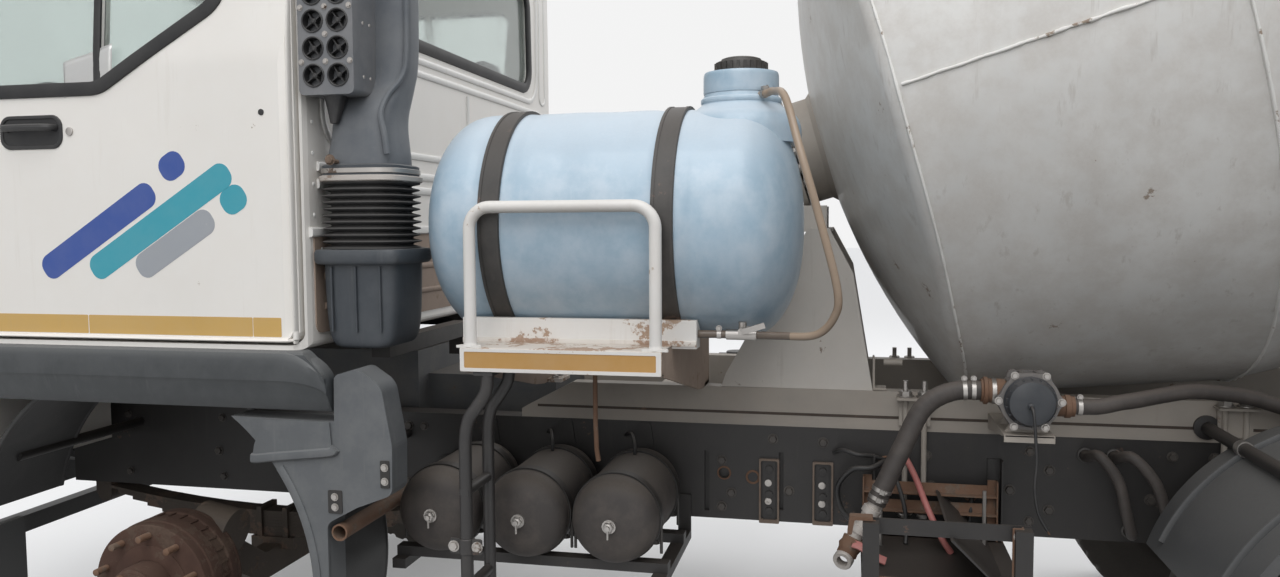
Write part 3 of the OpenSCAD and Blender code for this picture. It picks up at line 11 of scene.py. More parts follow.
import bmesh
import bpy
import numpy as np
from bpy.props import FloatProperty, FloatVectorProperty, IntProperty, PointerProperty
from mathutils import Matrix, Vector
from mathutils.geometry import tessellate_polygon


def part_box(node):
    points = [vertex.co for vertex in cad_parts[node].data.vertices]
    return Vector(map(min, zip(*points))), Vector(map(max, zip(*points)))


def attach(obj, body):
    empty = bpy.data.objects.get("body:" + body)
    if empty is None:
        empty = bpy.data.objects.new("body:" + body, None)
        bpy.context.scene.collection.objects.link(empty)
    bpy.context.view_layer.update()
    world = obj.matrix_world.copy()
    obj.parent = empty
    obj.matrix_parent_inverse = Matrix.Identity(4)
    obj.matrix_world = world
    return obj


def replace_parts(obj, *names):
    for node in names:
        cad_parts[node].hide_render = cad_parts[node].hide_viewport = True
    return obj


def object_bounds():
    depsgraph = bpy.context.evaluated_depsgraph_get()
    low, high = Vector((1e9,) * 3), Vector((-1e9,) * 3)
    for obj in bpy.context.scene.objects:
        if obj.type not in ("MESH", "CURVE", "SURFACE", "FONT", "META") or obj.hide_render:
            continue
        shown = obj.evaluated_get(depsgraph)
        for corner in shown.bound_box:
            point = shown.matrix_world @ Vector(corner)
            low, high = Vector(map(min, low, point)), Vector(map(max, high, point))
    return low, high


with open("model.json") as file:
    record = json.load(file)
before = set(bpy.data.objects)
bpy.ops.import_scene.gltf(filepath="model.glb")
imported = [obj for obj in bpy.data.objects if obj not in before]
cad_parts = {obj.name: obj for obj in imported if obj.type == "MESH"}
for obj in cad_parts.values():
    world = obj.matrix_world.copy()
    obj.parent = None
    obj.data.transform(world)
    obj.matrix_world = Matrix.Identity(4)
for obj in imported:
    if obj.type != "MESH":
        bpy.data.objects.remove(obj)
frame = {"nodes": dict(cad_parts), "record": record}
CAD_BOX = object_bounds()

bl_info = {
    "name": "Concrete mixer truck",
    "version": (1, 0, 0),
    "blender": (4, 5, 0),
    "location": "3D View > Sidebar > Mixer",
    "description": "Dresses the frame of a concrete mixer truck with its finished pieces",
    "category": "Object",
}

SEED = 17
X, Y, Z = np.eye(3)
# Sides of a flat shape that faces along the truck: across, up, outwards
ACROSS = (Y, Z, X)
# Outer face of the frame rails, and the plane just outside it that fittings start from
RAIL_Y, RAIL_FACE = 0.42, 0.4203


# Shapes: a shape is (points, faces), faces a list of lists of point numbers


def grid_faces(rows, cols, wrap_rows=False, wrap_cols=False):
    """Quads between neighbours of a rows by cols grid of points; a wrapped side also joins its last line to
    its first.
    """
    r = np.arange(rows if wrap_rows else rows - 1)[:, None]
    c = np.arange(cols if wrap_cols else cols - 1)[None, :]
    r2, c2 = (r + 1) % rows, (c + 1) % cols
    corners = [r * cols + c, r * cols + c2, r2 * cols + c2, r2 * cols + c]
    return np.stack([np.broadcast_to(k, (r.size, c.size)) for k in corners], -1).reshape(-1, 4).tolist()


def joined(*shapes):
    """One shape of several: the points one after the other, each shape's faces moved on by the points before
    it.
    """
    points, faces, start = [], [], 0
    for p, f in shapes:
        points.append(np.asarray(p, float).reshape(-1, 3))
        faces += [[k + start for k in face] for face in f]
        start += len(points[-1])
    return np.concatenate(points), faces


def moved(shape, by=(0, 0, 0), turn=None):
    """The shape turned by a 3 by 3 matrix about the origin, then moved."""
    points, faces = shape
    points = points if turn is None else points @ np.asarray(turn, float).T
    return points + np.asarray(by, float), faces


def mirrored(shape):
    """The shape on the other side of the truck's middle plane: y changes sign, and each face is walked
    backwards.
    """
    points, faces = shape
    return points * (1, -1, 1), [face[::-1] for face in faces]


SIDES = (("left", lambda shape: shape), ("right", mirrored))


def side_pairs(turn, pairs):
    """Pairs of shape and finish, each shape turned to its side of the truck."""
    return [(turn(shape), kind) for shape, kind in pairs]


def turns(count):
    """Angles of equal steps round a circle, from 0."""
    return np.arange(count) * 2 * np.pi / count


def turned(axis, degrees):
    """The 3 by 3 matrix that turns about one of the frame's axes."""
    return np.array(Matrix.Rotation(math.radians(degrees), 3, axis))


def unit(v):
    """Each vector divided by its own length."""
    v = np.asarray(v, float)
    return v / np.maximum(np.linalg.norm(v, axis=-1, keepdims=True), 1e-12)


def rounded(corners, steps=6):
    """A closed outline from (a, b, radius) corners: each corner is an arc that touches both sides, its angle
    running evenly between them.
    """
    c = np.asarray(corners, float)
    p, r = c[:, :2], c[:, 2:3]
    back, on = unit(np.roll(p, 1, 0) - p), unit(np.roll(p, -1, 0) - p)
    half = np.arccos(np.clip((back * on).sum(1, keepdims=True), -1, 1)) / 2
    centre = p + unit(back + on) * r / np.sin(half)
    start = p + back * r / np.tan(half) - centre
    end = p + on * r / np.tan(half) - centre
    t = np.linspace(0, 1, steps)[None, :, None]
    arcs = start[:, None] * (1 - t) + end[:, None] * t
    arcs = centre[:, None] + unit(arcs) * r[:, None]
    sharp = r[:, 0] < 1e-6
    arcs[sharp] = p[sharp][:, None]
    points = arcs.reshape(-1, 2)
    keep = np.linalg.norm(points - np.roll(points, 1, 0), axis=1) > 1e-6
    return points[keep]


def rect(low_a, low_b, high_a, high_b, radius, steps=6):
    """A rectangle from its low to its high corner with all four corners rounded alike."""
    return rounded(
        [(low_a, low_b, radius), (high_a, low_b, radius), (high_a, high_b, radius), (low_a, high_b, radius)],
        steps)


def inset(outline, by):
    """The outline moved inwards by a distance: each point goes along the mean of its two sides' inward
    normals. The outline runs anticlockwise.
    """
    p = np.asarray(outline, float)
    side = unit(np.roll(p, -1, 0) - p)
    normal = np.stack([-side[:, 1], side[:, 0]], 1)
    before = np.roll(normal, 1, 0)
    mean = unit(normal + before)
    return p + mean * by / np.maximum((mean * normal).sum(1, keepdims=True), 0.35)


def plate(outline, low, high, plane=(X, Z, Y), holes=()):
    """A flat plate: the outline, with its holes, at two heights along the plane's third axis, with walls
    between them.
    """
    a, b, n = (np.asarray(k, float) for k in plane)
    rings = [np.asarray(outline, float)] + [np.asarray(h, float) for h in holes]
    flat = np.concatenate(rings)
    base = flat[:, :1] * a + flat[:, 1:2] * b
    points = np.concatenate([base + n * low, base + n * high])
    tris = tessellate_polygon([[Vector((*k, 0)) for k in ring] for ring in rings])
    area = sum(np.cross(flat[t[1]] - flat[t[0]], flat[t[2]] - flat[t[0]]) for t in tris[:4])
    flip = (np.dot(np.cross(a, b), n) < 0) != (area < 0)
    top = [list(t)[::-1] if flip else list(t) for t in tris]
    m = len(flat)
    faces = [[k + m for k in t] for t in top] + [t[::-1] for t in top]
    start = 0
    for number, ring in enumerate(rings):
        k = np.arange(len(ring))
        on = (k + 1) % len(ring)
        wall = np.stack([k, on, on + m, k + m], 1) + start
        turn = np.dot(ring[:, 0], np.roll(ring[:, 1], -1)) - np.dot(ring[:, 1], np.roll(ring[:, 0], -1))
        outward = (turn > 0) == (np.dot(np.cross(a, b), n) > 0)
        faces += (wall if outward == (number == 0) else wall[:, ::-1]).tolist()
        start += len(ring)
    return points, faces


def box(low, high, edge=0.0, steps=3):
    """A block from its low to its high corner, its four upright edges rounded."""
    low, high = np.minimum(low, high), np.maximum(low, high)
    corners = [
        (low[0], low[1], edge), (high[0], low[1], edge), (high[0], high[1], edge), (low[0], high[1], edge)]
    return plate(rounded(corners, steps), low[2], high[2], (X, Y, Z))


def smooth_path(stations, steps=6):
    """A Catmull-Rom curve through the stations: between two of them a cubic whose slopes come from their
    neighbours.
    """
    p = np.asarray(stations, float)
    q = np.concatenate([2 * p[:1] - p[1:2], p, 2 * p[-1:] - p[-2:-1]])
    t = np.linspace(0, 1, steps, endpoint=False)[None, :, None]
    a, b, c, d = (q[k:len(q) - 3 + k][:, None] for k in range(4))
    curve = 0.5 * (2 * b + (c - a) * t + (2 * a - 5 * b + 4 * c - d) * t**2 + (3 * b - a - 3 * c + d) * t**3)
    return np.concatenate([curve.reshape(-1, p.shape[1]), p[-1:]])


def frames_along(path, closed=False, side=None):
    """Two unit vectors across each station of a path: one square to its run and to the axis that the path
    turns least towards, and one square to both.
    """
    run = np.roll(path, -1, 0) - np.roll(path, 1, 0) if closed else np.gradient(path, axis=0)
    run = unit(run)
    if side is None:
        side = np.linalg.svd(run)[2][2]
    across = unit(np.cross(run, side))
    return across, np.cross(run, across)


def carried(profile, path, closed=False, side=None, ends=True, scale=None):
    """A profile of (across, up) points carried along a path: each station's copy lies in the plane square to
    the path, times its own scale.
    """
    profile, path = np.asarray(profile, float), np.asarray(path, float)
    across, up = frames_along(path, closed, side)
    size = np.ones(len(path)) if scale is None else np.broadcast_to(scale, len(path))
    rings = path[:, None] + (profile[None, :, :1] * across[:, None] + profile[None, :, 1:] * up[
        :, None]) * size[:, None, None]
    rows, cols = len(path), len(profile)
    faces = grid_faces(rows, cols, closed, True)
    if ends and not closed:
        faces += [list(range(cols))[::-1], list(range((rows - 1) * cols, rows * cols))]
    return rings.reshape(-1, 3), faces


def circle(radius, sides):
    """Points of a circle, evenly spaced in angle."""
    t = turns(sides)
    return np.stack([np.cos(t), np.sin(t)], 1) * radius


def tube(path, radius, sides=16, closed=False, side=None):
    """A circle carried along a path; the radius may differ from station to station."""
    return carried(circle(1.0, sides), path, closed, side, True, radius)


def turned_form(profile, centre=(0, 0, 0), axis=Y, sides=48, closed=False):
    """A profile of (radius, along) points turned about an axis. An open profile gets a flat cap at each end;
    a closed one makes a ring.
    """
    profile = np.asarray(profile, float)
    axis = unit(axis)
    first = unit(np.cross(axis, X if abs(axis[0]) < 0.9 else Y))
    second = np.cross(axis, first)
    t = turns(sides)
    ring = np.cos(t)[:, None] * first + np.sin(t)[:, None] * second
    points = profile[:, None, :1] * ring[None] + profile[:, None, 1:] * axis + np.asarray(centre, float)
    rows = len(profile)
    faces = grid_faces(rows, sides, closed, True)
    if not closed:
        faces += [list(range(sides))[::-1], list(range((rows - 1) * sides, rows * sides))]
    return points.reshape(-1, 3), [
        face[::-1] for face in faces] if profile[-1, 1] < profile[0, 1] and not closed else faces


def repeated(shape, places, directions=None):
    """Copies of a small shape that stands along Z at the origin, one at each place, turned so that its Z lies
    along the given direction.
    """
    points, faces = shape
    places = np.asarray(places, float).reshape(-1, 3)
    z = unit(np.broadcast_to(Z if directions is None else directions, places.shape))
    x = unit(np.cross(np.where(np.abs(z[:, 2:]) > 0.9, Y, Z), z))
    y = np.cross(z, x)
    turn = np.stack([x, y, z], 1)
    copies = points @ turn + places[:, None]
    count = len(points)
    return copies.reshape(-1, 3), [
        [k + count * n for k in face] for n in range(len(places)) for face in faces]


def bolt_head(size, height=None):
    """A hexagon head on a round washer, its top edge taken off: rings of six or twelve points at rising
    heights.
    """
    height = height or size * 0.62
    washer = turned_form([(size * 0.98, 0), (size * 0.98, size * 0.13)], axis=Z, sides=12)
    t = np.arange(6) * np.pi / 3
    hexagon = np.stack([np.cos(t), np.sin(t)], 1) * size * 0.577 * 1.3
    levels = np.array([[1, 0.13 * size], [1, height * 0.82], [0.86, height]])
    rings = np.concatenate([np.concatenate([hexagon * s, np.full((6, 1), h)], 1) for s, h in levels])
    return joined(
        washer, (rings, grid_faces(3, 6, False, True) + [list(range(6))[::-1], list(range(12, 18))]))


def bolts(places, direction, size):
    """Bolt heads at the places, all facing one way."""
    return repeated(bolt_head(size), places, np.asarray(direction, float))


def rivet(size):
    """A domed rivet head: a quarter arc turned about Z."""
    t = np.linspace(0, np.pi / 2 * 0.9, 4)
    return turned_form(np.stack([np.cos(t), np.sin(t) * 0.45], 1) * size / 2, axis=Z, sides=10)


def lined_up(start, end, count):
    """Evenly spaced places from start to end."""
    t = np.linspace(0, 1, count)[:, None]
    return np.asarray(start, float) * (1 - t) + np.asarray(end, float) * t


# Objects


def piece(name, shape, body, slot, material, flat=False, angle=35.0, bevel=0.0):
    """Puts a shape, or a list of (shape, material) pairs, into one object that rides on a body and takes the
    pairs' finishes. The slot is not used.
    """
    pairs = shape if isinstance(shape, list) else [(shape, material)]
    points, faces = joined(*[s for s, _ in pairs])
    mesh = bpy.data.meshes.new(name)
    mesh.from_pydata(points.tolist(), [], faces)
    kinds = list(dict.fromkeys(m for _, m in pairs))
    for kind in kinds:
        mesh.materials.append(finish(kind))
    mesh.polygons.foreach_set(
        "material_index",
        np.concatenate([np.full(len(s[1]), kinds.index(m)) for s, m in pairs]).astype(np.int32))
    mesh.validate()
    outwards(mesh)
    if not flat:
        smooth_by_angle(mesh, angle)
    made = bpy.data.objects.new(name, mesh)
    bpy.context.scene.collection.objects.link(made)
    if bevel:
        soft = made.modifiers.new("Edge", "BEVEL")
        soft.width, soft.segments, soft.limit_method = bevel, 2, "ANGLE"
        soft.angle_limit = math.radians(40)
        soft.harden_normals = False
    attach(made, body)
    return made


def outwards(mesh):
    """Turns the faces of each closed shell so that they look out of it."""
    edit = bmesh.new()
    edit.from_mesh(mesh)
    bmesh.ops.recalc_face_normals(edit, faces=edit.faces)
    edit.to_mesh(mesh)
    edit.free()


def smooth_by_angle(mesh, angle):
    """Smooth shading, with every edge sharper than the angle kept crisp."""
    mesh.polygons.foreach_set("use_smooth", np.ones(len(mesh.polygons), bool))
    mesh.set_sharp_from_angle(angle=math.radians(angle))


# Finishes


def wire(tree, kind, settings=None, **inputs):
    """Adds a node; settings are its own fields, and inputs are values or sockets for its sockets, by name or
    s and number.
    """
    made = tree.nodes.new(kind)
    for key, value in (settings or {}).items():
        setattr(made, key, value)
    for key, value in inputs.items():
        socket = made.inputs[int(key[1:])] if key[0] == "s" and key[1:].isdigit() else made.inputs[
            key.replace("_", " ")]
        if isinstance(value, bpy.types.NodeSocket):
            tree.links.new(value, socket)
        else:
            socket.default_value = value
    return made


def maths(tree, operation, *values):
    """One Math node's result."""
    made = wire(tree, "ShaderNodeMath", {"operation": operation, "use_clamp": operation == "MULTIPLY_ADD"})
    for number, value in enumerate(values):
        if isinstance(value, bpy.types.NodeSocket):
            tree.links.new(value, made.inputs[number])
        else:
            made.inputs[number].default_value = value
    return made.outputs[0]


def noise(tree, place, scale, detail=4.0, rough=0.55, stretch=None):
    """Noise from 0 to 1 over a place; stretch multiplies its three axes."""
    if stretch:
        place = wire(tree, "ShaderNodeVectorMath", {"operation": "MULTIPLY"}, s0=place, s1=stretch).outputs[0]
    return wire(
        tree, "ShaderNodeTexNoise", None, Vector=place, Scale=scale, Detail=detail, Roughness=rough
    ).outputs[0]


def band(tree, value, low, high, start=0.0, end=1.0):
    """A smooth step: start below low, end above high."""
    made = wire(
        tree, "ShaderNodeMapRange", {"interpolation_type": "SMOOTHSTEP"}, s0=value, s1=low, s2=high, s3=start,
        s4=end)
    return made.outputs[0]


def blended(tree, factor, first, second, kind="MIX"):
    """Two colours mixed."""
    made = wire(
        tree, "ShaderNodeMix", {"data_type": "RGBA", "blend_type": kind}, s0=factor, s6=first, s7=second)
    return made.outputs[2]


def new_group(name, sockets_in, sockets_out):
    """A shader node group with named inputs and outputs, its input and output nodes in place."""
    tree = bpy.data.node_groups.new(name, "ShaderNodeTree")
    kinds = {"v": "NodeSocketVector", "f": "NodeSocketFloat", "c": "NodeSocketColor"}
    for label, kind, value in sockets_in:
        socket = tree.interface.new_socket(label, in_out="INPUT", socket_type=kinds[kind])
        if value is not None:
            socket.default_value = value
    for label, kind in sockets_out:
        tree.interface.new_socket(label, in_out="OUTPUT", socket_type=kinds[kind])
    return tree, tree.nodes.new("NodeGroupInput"), tree.nodes.new("NodeGroupOutput")


def weathering_group():
    """Paint or plastic in the open: slow mottling, downward streaks, dust on what faces up and near the
    ground, and chips through to another colour. For the water tank and the mouldings, the colour on what
    faces up is partly a painted highlight.
    """
    name = "Weathering"
    if name in bpy.data.node_groups:
        return bpy.data.node_groups[name]
    tree, given, out = new_group(
        name,
        [
            ("Place", "v", None), ("Facing", "v", None), ("Colour", "c", (0.5, 0.5, 0.5, 1)),
            ("Dust", "c", (0.3, 0.25, 0.2, 1)), ("Under", "c", (0.1, 0.05, 0.03, 1)), ("Mottle", "f", 0.2),
            ("Streaks", "f", 0.2), ("On top", "f", 0.3), ("Film", "f", 0.2), ("Low dirt", "f", 0.2),
            ("Chips", "f", 0.1), ("Grain", "f", 1.0), ("Smooth", "f", 0.4), ("Worn", "f", 0.7)],
        [("Colour", "c"), ("Roughness", "f"), ("Chips", "f"), ("Height", "f")])
    place, facing, g = given.outputs["Place"], given.outputs["Facing"], given.outputs
    slow = noise(tree, place, 1.7, 5.0, 0.6)
    patch = noise(tree, place, 9.0, 6.0, 0.65)
    fine = noise(tree, place, 130.0, 3.0, 0.6)
    streak = noise(tree, place, 1.0, 4.0, 0.7, (26.0, 26.0, 1.3))
    up = band(tree, wire(tree, "ShaderNodeSeparateXYZ", None, Vector=facing).outputs[2], 0.15, 0.95)
    high = wire(tree, "ShaderNodeSeparateXYZ", None, Vector=place).outputs[2]
    low = band(tree, maths(tree, "ADD", high, maths(tree, "MULTIPLY", patch, 0.35)), 0.35, 1.75, 1.0, 0.0)
    tint = maths(
        tree, "ADD", maths(tree, "MULTIPLY", maths(tree, "SUBTRACT", slow, 0.5), 2.8),
        maths(tree, "MULTIPLY", maths(tree, "SUBTRACT", patch, 0.5), 1.8))
    light = maths(tree, "ADD", 1.0, maths(tree, "MULTIPLY", tint, g["Mottle"]))
    run = maths(tree, "MULTIPLY", band(tree, streak, 0.52, 0.72), g["Streaks"])
    paint = blended(
        tree, 1.0, g["Colour"],
        wire(tree, "ShaderNodeCombineColor", None, s0=light, s1=light, s2=light).outputs[0], "MULTIPLY")
    spread = band(tree, patch, 0.3, 0.68)
    # dust on what faces up; for the water tank and the mouldings it is also a painted highlight from the
    # light above
    dust_and_sheen = maths(tree, "MULTIPLY", up, g["On top"])
    dust_and_sheen = maths(tree, "MAXIMUM", dust_and_sheen, maths(tree, "MULTIPLY", spread, g["Film"]))
    dust_and_sheen = maths(tree, "MAXIMUM", dust_and_sheen, maths(tree, "MULTIPLY", low, g["Low dirt"]))
    dust_and_sheen = maths(tree, "MAXIMUM", dust_and_sheen, run)
    dust_and_sheen = maths(
        tree, "MULTIPLY_ADD", dust_and_sheen, maths(tree, "ADD", 0.72, maths(tree, "MULTIPLY", fine, 0.55)), 0.0)
    edge = maths(
        tree, "ADD", maths(tree, "MULTIPLY", patch, 0.7),
        maths(tree, "MULTIPLY", noise(tree, place, 38.0, 5.0, 0.75), 0.3))
    chip = band(tree, maths(tree, "ADD", edge, maths(tree, "MULTIPLY", g["Chips"], 0.35)), 0.66, 0.69)
    chip = maths(tree, "MULTIPLY", chip, maths(tree, "GREATER_THAN", g["Chips"], 0.001))
    colour = blended(tree, chip, paint, blended(tree, fine, g["Under"], g["Dust"]))
    colour = blended(tree, dust_and_sheen, colour, g["Dust"])
    rough = maths(tree, "ADD", g["Smooth"], maths(tree, "MULTIPLY", maths(tree, "SUBTRACT", slow, 0.5), 0.12))
    rough = maths(
        tree, "MAXIMUM", rough, maths(tree, "MULTIPLY", maths(tree, "MAXIMUM", dust_and_sheen, chip), g["Worn"]))
    height = maths(
        tree, "SUBTRACT", maths(tree, "MULTIPLY", maths(tree, "MULTIPLY", fine, g["Grain"]), 0.25),
        maths(tree, "MULTIPLY", chip, 0.6))
    for label, value in (
        ("Colour", colour), ("Roughness", rough), ("Chips", chip),
        ("Height", maths(tree, "ADD", height, maths(tree, "MULTIPLY", dust_and_sheen, 0.15)))):
        tree.links.new(value, out.inputs[label])
    return tree


